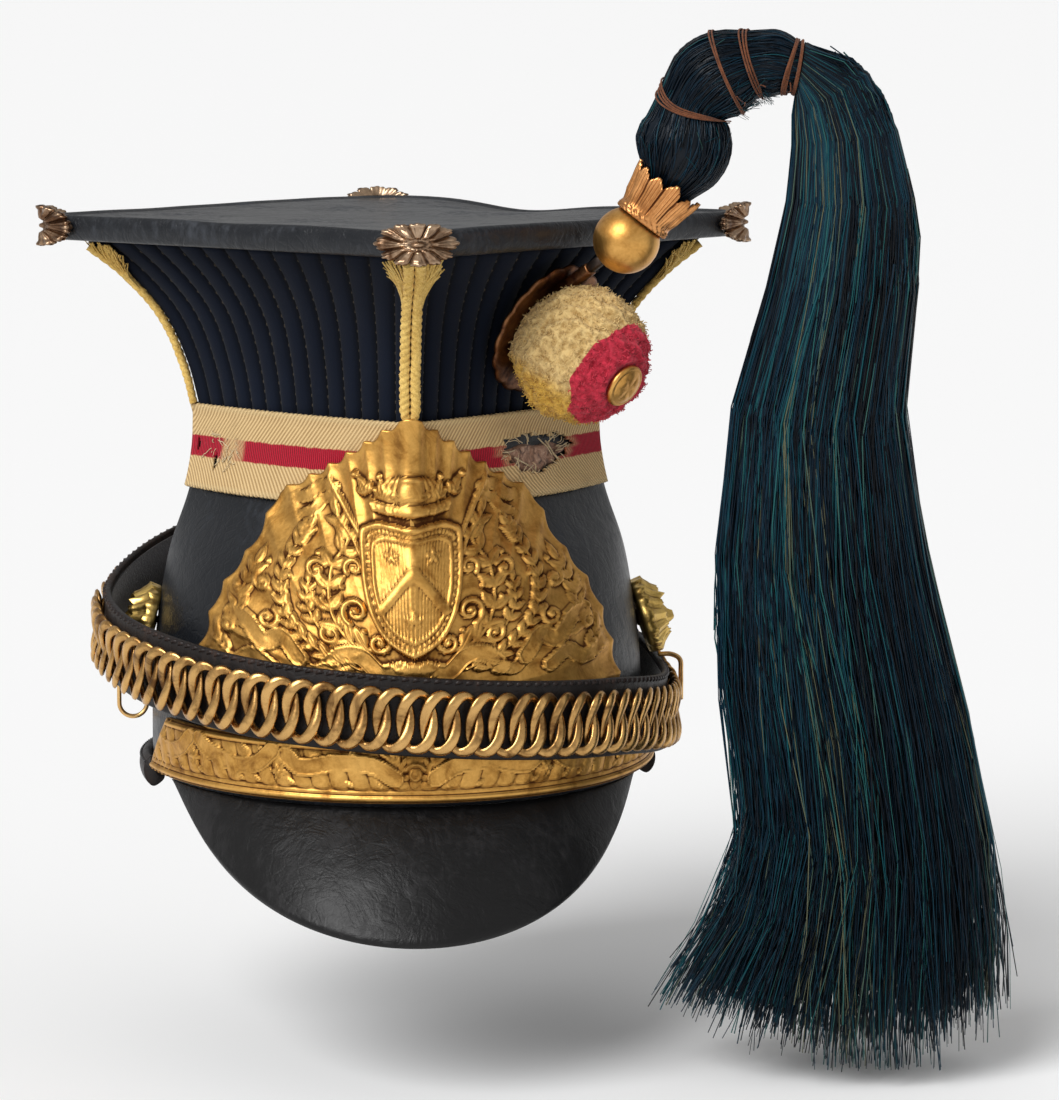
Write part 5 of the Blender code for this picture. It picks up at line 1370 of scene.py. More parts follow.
@dataclass
class CornerTrim:
    """The plaited cord up a corner and the leafy rosette over it."""

    side: Side
    cord_width: float = 0.0062
    fray_width: float = 0.0240
    plait_period: float = 0.0048
    strand: float = 0.00172
    rosette_width: float = 0.033
    rosette_height: float = 0.0145
    rosette_proud: float = 0.0022
    petals: int = 12
    petal_columns: int = 14
    front_rings: int = 22
    cord_stations: int = 150
    cord_sides: int = 18
    yarns: int = 160
    fluff: int = 70
    bend: float = 0.006
    clear: float = 0.0009

    def build(self, finishes: Finishes, repeater: Repeater) -> None:
        """Make the cord, its frayed end and the rosette."""
        label = self.side.name.lower()
        self._cord(label, finishes)
        self._fray(label, finishes, repeater)
        self._rosette(label, finishes)

    def _on_wall(self, z: np.ndarray, across: np.ndarray, out: np.ndarray) -> np.ndarray:
        """Points beside the corner, measured along the wall."""
        width, depth, _ = wall_sizes(z)
        return wall_point(z, self.side.value + across / np.hypot(width, depth), out)

    def _cord(self, label: str, finishes: Finishes) -> None:
        """Two cords twisted opposite ways, so that their yarns meet in a row of points."""
        low = LACE_BASE + LACE_HEIGHT + TOUCH
        high = BOARD_BASE - 3 * TOUCH - self.strand
        z = np.linspace(low, high, self.cord_stations)
        share = (z - low) / (high - low)
        tuck = smooth(0.0, 0.08, share) if self.side is Side.FRONT else smooth(-0.2, 0.02, share)
        swell = mix(0.75, 1.0, tuck) * (1.0 + 0.12 * smooth(0.84, 1.0, share))
        angle = angles(self.cord_sides)
        strands = []
        for side in (-1, 1):
            across = side * self.cord_width * 0.18 * swell
            across = across + 0.0002 * ripple(z[:, None] * (1.0, 0.0, 0.0), 300.0, 9)
            middle = self._on_wall(z, across, 0.00035 + self.strand * 0.72 * swell)
            along = unit(np.gradient(middle, axis=0))
            first = unit(np.cross(along, wall_normal(z, self.side.value)))
            second = np.cross(first, along)
            twist = 2 * (angle[None, :] - side * 2 * math.pi * (z / self.plait_period)[:, None])
            lobes = 0.66 + 0.40 * np.abs(np.cos(twist / 2)) ** 0.5
            section = round_section(self.strand, self.cord_sides, 0.80) * (lobes * swell[:, None])[..., None]
            strands.append(Grid(sweep(middle, first, second, section), caps=True).mesh())
        settle(f"corner_plait_{label}", join_meshes(strands), finishes.cord, "corner_cord",
               f"corner_cord_{label}")

    def _fray(self, label: str, finishes: Finishes, repeater: Repeater) -> None:
        """Loose yarns that spread at the top, and a little fluff lower down."""
        draw = np.random.default_rng(SEED + self.side.value)
        high = BOARD_BASE - 3 * TOUCH
        strands = Strands()
        for number in range(self.yarns):
            start = high - draw.uniform(0.009, 0.017)
            side = draw.choice((-1.0, 1.0))
            spread = draw.uniform(0.10, 1.0) ** 0.7 * side
            steps = np.linspace(0.0, 1.0, 7)
            z = mix(start, high - draw.uniform(0.0, 0.005) - 0.003 * (number % 9 == 0), steps ** 0.9)
            across = mix(spread * self.cord_width * 0.40, spread * self.fray_width * 0.5, steps ** 1.5)
            across = across + np.cumsum(draw.normal(0.0, 0.00025, 7)) * steps
            out = 0.0012 + draw.uniform(0.0, 0.0021) * np.sin(math.pi * mix(0.25, 0.9, steps))
            strands.add(self._on_wall(z, across, out), draw.uniform(0.00018, 0.00044))
        for _ in range(self.fluff):
            z = mix(BOARD_BASE - 0.052, high - 0.010, draw.uniform())
            edge = draw.choice((-1.0, 1.0)) * self.cord_width * 0.46
            steps = np.linspace(0.0, 1.0, 5)
            across = edge * (0.9 + steps * draw.uniform(0.05, 0.40))
            rise = z + steps * draw.uniform(-0.0018, 0.0018)
            strands.add(self._on_wall(rise, across, 0.001 + steps * draw.uniform(0.0, 0.0012)), 0.00010)
        repeater.settle_strands(f"corner_fray_{label}", strands, 3, finishes.cord, "corner_cord")

    def _on_corner(self, across: np.ndarray, rise: np.ndarray, lift: np.ndarray) -> np.ndarray:
        """Points of a sheet bent round the board's corner."""
        out_way = np.append(CORNERS[self.side.value], 0.0)
        along_way = np.array((-out_way[1], out_way[0], 0.0))
        limit = self.bend * math.pi / 4
        turn = np.clip(across, -limit, limit) / self.bend
        run = across - turn * self.bend
        centre = out_way * (BOARD_REACH - (self.bend - self.clear) * math.sqrt(2))
        way = out_way * np.cos(turn)[..., None] + along_way * np.sin(turn)[..., None]
        along = along_way * np.cos(turn)[..., None] - out_way * np.sin(turn)[..., None]
        point = centre + way * (self.bend + lift)[..., None] + along * run[..., None]
        point[..., 2] = BOARD_BASE + BOARD_EDGE * 0.52 + rise
        return point

    def _rosette(self, label: str, finishes: Finishes) -> None:
        """A ring of lobed and veined leaves round a small dome."""
        angle = angles(self.petals * self.petal_columns)
        speed = np.hypot(np.sin(angle) * self.rosette_width, np.cos(angle) * self.rosette_height)
        phase = ((np.cumsum(speed) - speed) / speed.sum() * self.petals)[None, :]
        leaf = np.abs(np.cos(math.pi * phase))
        lobes = np.abs(np.cos(3 * math.pi * phase))
        outline = 0.82 + 0.12 * leaf ** 0.5 + 0.06 * lobes ** 0.7
        share = np.concatenate((np.linspace(0.04, 1.0, self.front_rings), (1.0, 0.98, 0.5, 0.06)))
        front = np.arange(len(share)) < self.front_rings
        r = share[:, None]
        dome = np.sqrt(np.clip(1.0 - (r / 0.14) ** 2, 0.0, 1.0))
        ring = 0.3 * np.exp(-((r - 0.21) / 0.04) ** 2)
        upper = smooth(0.22, 0.36, r) * smooth(1.06, 0.94, r) * (0.18 + 0.82 * leaf ** 0.7)
        veins = 0.34 * (lobes ** 0.6 - 0.6) * smooth(0.30, 0.60, r)
        curl = 0.35 * smooth(0.72, 0.88, r) * smooth(1.04, 0.95, r) * leaf
        height = 0.10 + 1.0 * dome + ring + (upper + curl) * (1.0 + veins)
        lift = np.where(front[:, None], self.rosette_proud * height * 0.9, 0.0)
        lift[self.front_rings] = self.rosette_proud * 0.2
        across = np.cos(angle)[None, :] * r * outline * self.rosette_width / 2
        rise = np.sin(angle)[None, :] * r * outline * self.rosette_height / 2
        rings = self._on_corner(across, rise, np.maximum(lift, 0.0))
        cavity = np.zeros(height.shape)
        cavity[:self.front_rings] = hollows(height[:self.front_rings], 4, 0.5)
        settle(f"corner_rosette_{label}", closed_form(rings, cavity=cavity), finishes.tarnished,
               "ornament_brass", f"corner_ornament_{label}")


@dataclass
class WaistLace:
    """The lace band, worn through at the right and torn at the left, over its lining."""

    rows: int = 28
    hole_width: float = 0.037
    hole_height: float = 0.0130
    slit_width: float = 0.0024
    slit_height: float = 0.0070
    slit_drop: float = 0.0055
    tear_turn: float = -0.965
    lining_columns: int = 96
    lining_rings: int = 22
    hole_threads: int = 60
    slit_threads: int = 30
    seed: int = SEED + 40

    def build(self, finishes: Finishes, repeater: Repeater) -> None:
        """Make the band, the lining and the loose threads."""
        self._band(finishes)
        self._lining(finishes)
        self._threads(finishes, repeater)

    @staticmethod
    def _run() -> float:
        """Length of a quarter of the band."""
        width, depth, _ = wall_sizes(LACE_BASE + LACE_HEIGHT / 2)
        return float(np.hypot(width, depth))

    def _worn(self, along: np.ndarray, rise: np.ndarray) -> np.ndarray:
        """Distance into the worn hole, as a share of its ragged edge; under 1 is inside."""
        angle = np.arctan2(rise / self.hole_height, along / self.hole_width)
        ragged = (1.0 + 0.14 * np.sin(3 * angle + 0.6) + 0.07 * np.sin(11 * angle)
                  + 0.05 * np.sin(23 * angle))
        return np.hypot(along / (self.hole_width / 2), rise / (self.hole_height / 2)) / ragged

    def _band(self, finishes: Finishes) -> None:
        """The woven band as a thin sheet with real holes."""
        turns = np.concatenate((np.arange(-2.0, -1.0, 0.009), np.arange(-1.0, -0.62, 0.0042),
                                np.arange(-0.62, 0.42, 0.008), np.arange(0.42, 0.78, 0.0032),
                                np.arange(0.78, 2.0, 0.009)))
        share = np.linspace(0.0, 1.0, self.rows)
        z = LACE_BASE + LACE_HEIGHT * share
        run = self._run()
        along = turns * run
        tooth = 0.00022 * np.sin(along * 2 * math.pi / 0.0023)
        edge = np.zeros((self.rows, 1))
        edge[0], edge[-1] = -1.0, 1.0
        grid_z = z[:, None] + tooth[None, :] * edge
        flat = wall_point(z[:, None], turns[None, :])
        lift = LACE_SEAT + LACE_THICKNESS + 0.00018 * ripple(flat, 110.0, 31)
        offset_along = (turns - WORN_TURN) * run
        offset_rise = z - LACE_BASE - LACE_HEIGHT / 2
        worn = self._worn(offset_along[None, :], offset_rise[:, None])
        lift = lift + 0.0007 * np.exp(-((worn - 1.05) / 0.16) ** 2)
        points = wall_point(grid_z, turns[None, :], lift)
        bare = (smooth(-0.84, -0.815, turns) * smooth(-0.705, -0.73, turns))[None, :]
        bare = bare * (0.8 + 0.6 * ripple(flat, 300.0, 33))
        bare = bare + smooth(1.32, 1.02, worn) * (0.25 + 0.5 * ripple(flat, 500.0, 34))
        grid = Grid(points, across=np.append(along, 4 * run + along[0]), along=z - LACE_BASE,
                    shades={"bare": np.clip(bare, 0.0, 1.0)})
        slit_along = (turns - SLIT_TURN) * run
        slit_rise = offset_rise + self.slit_drop
        slit = (np.abs(slit_along)[None, :] / (self.slit_width / 2)
                + np.abs(slit_rise)[:, None] / (self.slit_height / 2)) < 1.15
        tear = (np.abs((turns - self.tear_turn) * run)[None, :] / 0.0009
                + np.abs(offset_rise)[:, None] / 0.0052) < 1.0
        mesh = grid.mesh()
        cut_away(mesh, "FACES", ((worn < 1.0) | slit | tear)[:-1])
        settle("lace_band", mesh, finishes.lace, "waist_lace", "waist_lace", wall=LACE_THICKNESS)

    def _on_band(self, along: np.ndarray, rise: np.ndarray, out: np.ndarray,
                 turn: float = WORN_TURN) -> np.ndarray:
        """Points off the skull round a place of the band."""
        return wall_point(LACE_BASE + LACE_HEIGHT / 2 + rise, turn + along / self._run(), out)

    def _lining(self, finishes: Finishes) -> None:
        """The crumpled patch of leather behind the hole."""
        angle = angles(self.lining_columns)
        ragged = 1.0 + 0.14 * np.sin(3 * angle + 0.6) + 0.10 * np.sin(7 * angle + 1.0)
        share = np.concatenate((np.linspace(0.04, 0.93, self.lining_rings), (0.93, 0.5, 0.05)))
        front = (np.arange(len(share)) < self.lining_rings)[:, None]
        along = np.cos(angle)[None, :] * share[:, None] * ragged * self.hole_width / 2
        rise = np.sin(angle)[None, :] * share[:, None] * ragged * self.hole_height / 2
        rise = np.where(rise > 0, rise * 0.55, rise) - 0.0006
        probe = np.stack((along, rise * 1.6, np.zeros_like(along)), axis=-1)
        crumple = 0.5 + 0.5 * ripple(probe, 620.0, 41)
        fade = smooth(0.97, 0.72, share)[:, None]
        out = np.where(front, LACE_SEAT * 0.5 + (0.0003 + 0.0017 * crumple) * fade, LACE_SEAT * 0.25)
        rings = self._on_band(along, rise, out)
        settle("lining_patch", closed_form(rings), finishes.lining, "worn_lining", "worn_lining")

    def _threads(self, finishes: Finishes, repeater: Repeater) -> None:
        """Torn warp and weft threads at both damaged places."""
        draw = np.random.default_rng(self.seed)
        strands = Strands()
        steps = np.linspace(0.0, 1.0, 8)

        def add(turn: float, start: tuple[float, float], end: tuple[float, float], width: float) -> None:
            """One thread from start to end, measured from a place of the band."""
            wave = np.cumsum(draw.normal(0.0, 0.00016, (8, 2)), axis=0) * np.sin(math.pi * steps)[:, None]
            along = mix(start[0], end[0], steps) + wave[:, 0]
            rise = mix(start[1], end[1], steps) + wave[:, 1]
            out = 0.0017 + 0.0006 * np.sin(math.pi * steps) + draw.uniform(0.0, 0.0004)
            strands.add(self._on_band(along, rise, out, turn), width)

        for _ in range(self.hole_threads):
            angle = draw.uniform(0, 2 * math.pi)
            edge = np.array((math.cos(angle) * self.hole_width, math.sin(angle) * self.hole_height)) / 2
            inward = edge * draw.uniform(0.70, 0.98) + draw.normal(0.0, 0.0016, 2)
            add(WORN_TURN, tuple(edge * draw.uniform(1.0, 1.12)), tuple(inward),
                draw.uniform(0.00009, 0.00022))
        add(WORN_TURN, (0.0065, 0.0032), (0.0138, -0.0068), 0.00030)
        add(WORN_TURN, (0.0020, 0.0045), (0.0090, -0.0020), 0.00024)
        add(WORN_TURN, (-0.0120, -0.0010), (-0.0050, -0.0046), 0.00024)
        for _ in range(self.slit_threads):
            along = draw.uniform(-0.0040, 0.0130)
            start = (along, draw.uniform(-0.005, 0.005))
            end = (along + draw.normal(0.0, 0.0030), start[1] - draw.uniform(-0.002, 0.005))
            add(SLIT_TURN, start, end, draw.uniform(0.00009, 0.00020))
        repeater.settle_strands("lace_threads", strands, 4, finishes.pale_thread, "waist_lace")


# The plate


class Relief:
    """Heights of cast figures over places measured across and up, the same on both sides."""

    def __init__(self, across: np.ndarray, up: np.ndarray) -> None:
        """Start flat over the given places."""
        self.across = np.abs(across).ravel()
        self.up = up.ravel()
        self.shape = across.shape
        self.height = np.zeros(across.size)

    def _near(self, path: np.ndarray, reach: float) -> np.ndarray:
        """Indices of the places within reach of a path's box."""
        low = path.min(axis=0) - reach
        high = path.max(axis=0) + reach
        return np.nonzero((self.across > low[0]) & (self.across < high[0])
                          & (self.up > low[1]) & (self.up < high[1]))[0]

    @staticmethod
    def _distance(x: np.ndarray, y: np.ndarray,
                  path: np.ndarray) -> tuple[np.ndarray, np.ndarray, np.ndarray]:
        """Distance, side and share of the way along a path."""
        best = np.full(len(x), 1e9)
        side = np.zeros(len(x))
        share = np.zeros(len(x))
        steps = len(path) - 1
        for index in range(steps):
            start = path[index]
            way = path[index + 1] - start
            span = max(float(way @ way), 1e-12)
            t = np.clip(((x - start[0]) * way[0] + (y - start[1]) * way[1]) / span, 0.0, 1.0)
            off_x = x - start[0] - t * way[0]
            off_y = y - start[1] - t * way[1]
            gap = np.hypot(off_x, off_y)
            closer = gap < best
            best = np.where(closer, gap, best)
            side = np.where(closer, np.sign(way[0] * off_y - way[1] * off_x), side)
            share = np.where(closer, (index + t) / steps, share)
        return best, side, share

    def _lift(self, where: np.ndarray, height: np.ndarray) -> None:
        """Raise places to a height where they are lower."""
        self.height[where] = np.maximum(self.height[where], height)

    def stroke(self, path: Path, half: float, height: float, taper: float = 0.0,
               base: float = 0.0) -> None:
        """A rounded rib along a path that thins to its end."""
        line = smooth_path(path, 5) if len(path) < 12 else np.asarray(path, float)
        where = self._near(line, half)
        gap, _, share = self._distance(self.across[where], self.up[where], line)
        wide = half * (1.0 - taper * share)
        body = np.sqrt(np.clip(1.0 - (gap / wide) ** 2, 0.0, 1.0))
        self._lift(where, (base + height * body) * (gap < wide))

    def ribbon(self, path: Path, half: float, height: float, waves: float = 3.0) -> None:
        """A bare flat band with raised edges that rises and falls along its way."""
        line = smooth_path(path, 7)
        where = self._near(line, half)
        gap, side, share = self._distance(self.across[where], self.up[where], line)
        reach = gap / half
        roll = 0.72 + 0.28 * np.sin(share * waves * 2 * math.pi + 0.6)
        edge = smooth(0.70, 0.84, reach) * smooth(1.0, 0.92, reach)
        lean = 0.12 * side * reach
        body = smooth(1.0, 0.93, reach)
        self._lift(where, height * body * (roll * 0.82 + 0.30 * edge + lean))

    def area(self, outline: Path, height: float, bevel: float, crown: float = 0.0) -> None:
        """A flat-topped figure with bevelled sides."""
        line = np.asarray(outline, float)
        where = self._near(line, bevel)
        x, y = self.across[where], self.up[where]
        inside = np.zeros(len(where), bool)
        closed = np.vstack((line, line[:1]))
        for start, end in zip(closed, closed[1:]):
            crosses = (start[1] > y) != (end[1] > y)
            slope = (end[0] - start[0]) / (end[1] - start[1] if end[1] != start[1] else 1e-12)
            inside ^= crosses & (x < start[0] + slope * (y - start[1]))
        gap, _, _ = self._distance(x, y, line)
        body = smooth(0.0, bevel, gap) + crown * np.clip(gap / bevel, 0.0, 6.0) / 6.0
        self._lift(where, height * body * inside)

    def sink(self, path: Path, half: float, depth: float) -> None:
        """A groove along a path."""
        line = smooth_path(path, 5)
        where = self._near(line, half)
        gap, _, _ = self._distance(self.across[where], self.up[where], line)
        self.height[where] -= depth * np.clip(1.0 - (gap / half) ** 2, 0.0, 1.0)

    def leaf(self, x: float, y: float, angle: float, length: float, wide: float, height: float) -> None:
        """A pointed leaf with a groove down its middle."""
        where = np.nonzero(np.hypot(self.across - x, self.up - y) < length)[0]
        off_x = self.across[where] - x
        off_y = self.up[where] - y
        along = (off_x * math.cos(angle) + off_y * math.sin(angle)) / length
        aside = np.abs(-off_x * math.sin(angle) + off_y * math.cos(angle))
        half = wide * np.clip(np.sin(math.pi * np.clip(along, 0.0, 1.0) ** 0.8), 0.0, 1.0)
        share = aside / np.maximum(half, 1e-6)
        body = np.sqrt(np.clip(1.0 - share ** 2, 0.0, 1.0)) - 0.35 * np.exp(-(aside / (wide * 0.16)) ** 2)
        self._lift(where, height * body * ((along > 0) & (along < 1) & (share < 1)))

    def dot(self, x: float, y: float, radius: float, height: float) -> None:
        """A small round boss."""
        where = np.nonzero(np.hypot(self.across - x, self.up - y) < radius)[0]
        gap = np.hypot(self.across[where] - x, self.up[where] - y) / radius
        self._lift(where, height * np.sqrt(np.clip(1.0 - gap ** 2, 0.0, 1.0)))

    def spray(self, path: Path, leaves: int, length: float, wide: float, height: float,
              spread: float = 0.62) -> None:
        """Leaves in pairs along a stem."""
        line = smooth_path(path, 8)
        self.stroke(path, wide * 0.30, height * 0.8, 0.4)
        for number in range(leaves):
            place = (number + 0.5) / leaves * (len(line) - 2)
            index = int(place)
            spot = mix(line[index], line[index + 1], place - index)
            way = line[index + 1] - line[index]
            heading = math.atan2(way[1], way[0])
            size = 1.0 - 0.25 * number / leaves
            for side in (1, -1):
                self.leaf(spot[0], spot[1], heading + side * spread, length * size, wide * size, height)
        tip = line[-1]
        way = line[-1] - line[-2]
        self.leaf(tip[0], tip[1], math.atan2(way[1], way[0]), length * 0.9, wide * 0.8, height)

    def result(self) -> np.ndarray:
        """The heights, in the shape of the places."""
        return self.height.reshape(self.shape)


def scroll(x: float, y: float, outer: float, inner: float, start: float, turns: float) -> list:
    """Points of a spiral from its outer end to its eye."""
    share = np.linspace(0.0, 1.0, 22)
    angle = start + turns * 2 * math.pi * share
    radius = mix(outer, inner, share)
    return list(zip(x + radius * np.cos(angle), y + radius * np.sin(angle)))


def hollows(height: np.ndarray, passes: int, span: float) -> np.ndarray:
    """How sunk each place of a height field lies: 0 on crests, a half on slopes, 1 in hollows."""
    blurred = height.copy()
    for _ in range(passes):
        padded = np.pad(blurred, 1, mode="edge")
        blurred = (padded[:-2, 1:-1] + padded[2:, 1:-1] + padded[1:-1, :-2] + padded[1:-1, 2:]
                   + 2 * blurred) / 6
    return np.clip(0.5 + (blurred - height) / span, 0.0, 1.0)


@dataclass
class FrontPlate:
    """The rayed gilt plate with its raised figures, and the strip along its foot."""

    pleats: int = 27
    pleat_depth: float = 0.0010
    cusp: float = 0.0019
    top_columns: int = 376
    foot_columns: int = 30
    rings: int = 118
    relief: float = 0.0014
    strip_stations: int = 660
    strip_rows: int = 38
    strip_proud: float = 0.0004

    def build(self, finishes: Finishes) -> None:
        """Make the sheet and the strip."""
        self._sheet(finishes)
        self._strip(finishes)

    @staticmethod
    def _reach(angles: np.ndarray) -> np.ndarray:
        """How far the sheet's edge lies from its heart at each angle."""
        run = PLATE_TOP - PLATE_FOOT
        rows = np.array(PLATE_OUTLINE)
        z = PLATE_FOOT + rows[:, 1] * run
        outline = np.column_stack((turn_at(z, rows[:, 0] * PLATE_HALF_WIDTH) * QUARTER_RUN,
                                   z - PLATE_HEART))
        reaches = np.zeros(len(angles))
        for place, angle in enumerate(angles):
            way = np.array((abs(math.cos(angle)), math.sin(angle)))
            for start, end in zip(outline, outline[1:]):
                edge = end - start
                cross = way[0] * edge[1] - way[1] * edge[0]
                if abs(cross) < 1e-12:
                    continue
                reach = (start[0] * edge[1] - start[1] * edge[0]) / cross
                share = (start[0] * way[1] - start[1] * way[0]) / cross
                if reach > 0 and -1e-6 <= share <= 1 + 1e-6:
                    reaches[place] = max(reaches[place], reach)
        return reaches

    def _figures(self, across: np.ndarray, up: np.ndarray) -> np.ndarray:
        """Heights of shield, coronet, lances, pennons, sprays, scrolls and bare ribbons."""
        work = Relief(across, up)
        r = self.relief
        for path, leaves, length, wide, height, spread in (
                (((0.400, 0.400), (0.432, 0.460), (0.420, 0.540), (0.385, 0.600)), 6, 0.062, 0.0125, 0.90,
                 0.50),
                (((0.450, 0.360), (0.490, 0.400), (0.500, 0.440)), 4, 0.050, 0.0110, 0.80, 0.60),
                (((0.100, 0.400), (0.165, 0.430), (0.205, 0.510), (0.195, 0.610), (0.150, 0.675),
                  (0.165, 0.735)), 9, 0.062, 0.0170, 1.00, 0.80),
                (((0.130, 0.350), (0.215, 0.385), (0.285, 0.440), (0.322, 0.510), (0.318, 0.590),
                  (0.275, 0.665), (0.245, 0.700)), 15, 0.046, 0.0118, 1.20, 0.55),
                (((0.235, 0.455), (0.262, 0.510), (0.258, 0.565)), 4, 0.040, 0.0100, 0.90, 0.70)):
            work.spray(path, leaves, length, wide, r * height, spread)
        for x, y, size, start, turns in (
                (0.142, 0.500, 0.036, -1.2, 1.5), (0.235, 0.600, 0.026, 2.6, -1.3),
                (0.140, 0.610, 0.024, -0.6, 1.3), (0.205, 0.440, 0.024, 0.4, -1.3),
                (0.360, 0.470, 0.028, 2.2, 1.3), (0.370, 0.560, 0.020, 0.2, -1.2),
                (0.085, 0.420, 0.030, 2.0, 1.5), (0.460, 0.440, 0.018, 1.2, 1.2)):
            work.stroke(scroll(x, y, size, 0.004, start, turns), 0.0075, r * 1.15, 0.45)
            work.dot(x, y, 0.0080, r * 1.35)
        for x, y in ((0.262, 0.405), (0.345, 0.530), (0.296, 0.480), (0.352, 0.610), (0.300, 0.580),
                     (0.225, 0.530), (0.182, 0.470), (0.228, 0.640), (0.174, 0.560), (0.122, 0.450)):
            work.dot(x, y, 0.0068, r * 1.3)
        work.stroke(((0.070, 0.560), (0.120, 0.700), (0.192, 0.850)), 0.0070, r * 1.25)
        work.stroke(((0.095, 0.560), (0.136, 0.680), (0.168, 0.740)), 0.0050, r * 1.0)
        work.leaf(0.188, 0.842, 1.10, 0.056, 0.0135, r * 1.5)
        work.dot(0.186, 0.840, 0.0095, r * 1.4)
        for half, height, waves, path in (
                (0.0150, 1.10, 1.6, ((0.172, 0.806), (0.204, 0.806), (0.236, 0.780), (0.268, 0.772))),
                (0.0130, 1.00, 1.6, ((0.164, 0.784), (0.196, 0.776), (0.224, 0.746), (0.252, 0.730))),
                (0.0235, 1.30, 1.6, ((0.285, 0.375), (0.325, 0.425), (0.372, 0.410), (0.412, 0.462),
                                     (0.448, 0.470))),
                (0.0200, 1.15, 1.4, ((0.352, 0.345), (0.400, 0.375), (0.450, 0.352), (0.505, 0.392))),
                (0.0235, 1.35, 1.6, ((0.030, 0.352), (0.085, 0.345), (0.130, 0.385), (0.178, 0.388),
                                     (0.218, 0.352))),
                (0.0170, 1.05, 1.0, ((0.215, 0.352), (0.258, 0.345), (0.282, 0.372)))):
            work.ribbon(path, half, r * height, waves)
        knot = [(0.062 * math.cos(angle), 0.352 + 0.026 * math.sin(angle)) for angle in angles(24)]
        work.area(knot, r * 1.3, 0.014, 0.4)
        shield = ((0.0, 0.715), (0.030, 0.722), (0.065, 0.728), (0.095, 0.720), (0.112, 0.705),
                  (0.117, 0.640), (0.116, 0.565), (0.102, 0.495), (0.076, 0.440), (0.042, 0.405),
                  (0.0, 0.380))
        inner = [(x * 0.76, mix(0.555, y, 0.76)) for x, y in shield]
        work.area(shield + ((-0.02, 0.380), (-0.02, 0.715)), r * 1.15, 0.008)
        work.stroke([(x * 0.955, mix(0.55, y, 0.955)) for x, y in shield], 0.0070, r * 0.80, 0.0, r * 0.95)
        work.stroke(inner, 0.0050, r * 0.55, 0.0, r * 1.05)
        for x, y in smooth_path([(x * 0.855, mix(0.552, y, 0.858)) for x, y in shield], 3):
            work.dot(x, y, 0.0062, r * 1.75)
        for number in range(10):
            work.sink(((0.008 * number, 0.42), (0.008 * number, 0.68)), 0.0016, r * 0.16)
        work.stroke(((0.076, 0.505), (0.037, 0.552), (-0.004, 0.603)), 0.0125, r * 0.60, 0.0, r * 1.12)
        for x, y in ((0.042, 0.640), (0.0, 0.480)):
            for turn in range(5):
                work.leaf(x, y, 0.5 * math.pi + turn * 0.4 * math.pi, 0.026, 0.0072, r * 1.75)
            work.dot(x, y, 0.0070, r * 1.85)
        band = ((0.0, 0.772), (0.050, 0.778), (0.088, 0.790), (0.080, 0.752), (0.045, 0.742), (0.0, 0.738))
        work.area(((0.0, 0.850), (0.040, 0.842), (0.070, 0.815), (0.082, 0.780), (0.0, 0.760), (-0.02, 0.760),
                   (-0.02, 0.850)), r * 0.95, 0.012, 0.3)
        for x in (0.018, 0.040, 0.062):
            work.sink(((x * 0.3, 0.850), (x, 0.790)), 0.0036, r * 0.30)
        work.area(band + ((-0.02, 0.738), (-0.02, 0.772)), r * 1.45, 0.006)
        for x, y, lean in ((0.0, 0.770, 1.571), (0.046, 0.776, 1.38), (0.086, 0.786, 1.05)):
            for turn, size in ((0.0, 1.0), (0.75, 0.62), (-0.75, 0.62)):
                work.leaf(x, y + 0.012, lean + turn, 0.052 * size, 0.0125, r * 1.6)
            work.dot(x + 0.064 * math.cos(lean), y + 0.066 * math.sin(lean), 0.0088, r * 1.6)
        for x, y in ((0.023, 0.796), (0.067, 0.808)):
            work.dot(x, y, 0.0080, r * 1.7)
        for x, y in ((0.0, 0.756), (0.020, 0.758), (0.040, 0.761), (0.060, 0.766), (0.077, 0.771)):
            work.dot(x, y, 0.0062, r * 1.85)
        return work.result()

    def _sheet(self, finishes: Finishes) -> None:
        """The pleated sheet with cusped edge, closed at the back."""
        low = 0.14
        top = np.linspace(-low, math.pi + low, self.top_columns)
        foot = np.linspace(math.pi + low, 2 * math.pi - low, self.foot_columns + 2)[1:-1]
        angle = np.concatenate((top, foot))
        reach = self._reach(angle)
        phase = (angle - math.pi / 2) / (math.pi + 2 * low) * self.pleats
        crest = np.abs(2.0 * (phase % 1.0) - 1.0)
        crest = 1.0 - np.sin(np.clip((1.0 - crest) * math.pi / 2, 0.0, math.pi / 2))
        fan = smooth(-low, -low + 0.1, angle) * smooth(math.pi + low, math.pi + low - 0.1, angle)
        reach = reach - self.cusp * (1.0 - crest) * fan
        share = np.linspace(0.02, 1.0, self.rings) ** 0.86
        r = share[:, None] * reach[None, :]
        z = PLATE_HEART + np.sin(angle) * r
        turn = np.cos(angle) * r / QUARTER_RUN
        x = plan_point(z, turn)[..., 0]
        figures = self._figures(x / PLATE_RUN, (z - STRIP_FOOT) / PLATE_RUN)
        over_strip = smooth(STRIP_FOOT + STRIP_HEIGHT - 0.002, PLATE_HEART, z)
        pleat = self.pleat_depth * crest * smooth(0.30, 0.92, share)[:, None] * over_strip
        pleat = pleat * (1.0 + 0.15 * ripple(np.stack((x, z, z), axis=-1), 160.0, 51))
        hammer = 0.00008 * ripple(np.stack((x, z, x), axis=-1), 900.0, 52)
        edge_roll = 0.0003 * smooth(0.965, 0.995, share)[:, None] * fan
        figures = figures * over_strip * smooth(1.0, 0.94, share)[:, None]
        height = np.maximum(pleat, figures + 0.35 * pleat * (figures > 0.0)) + hammer + edge_roll
        front = plate_point(turn, z, PLATE_THICKNESS + height)
        back_share = np.array((1.0, 0.9, 0.45, 0.03))[:, None]
        back_z = PLATE_HEART + np.sin(angle) * reach * back_share
        back = plate_point(np.cos(angle) * reach * back_share / QUARTER_RUN, back_z, np.zeros_like(back_z))
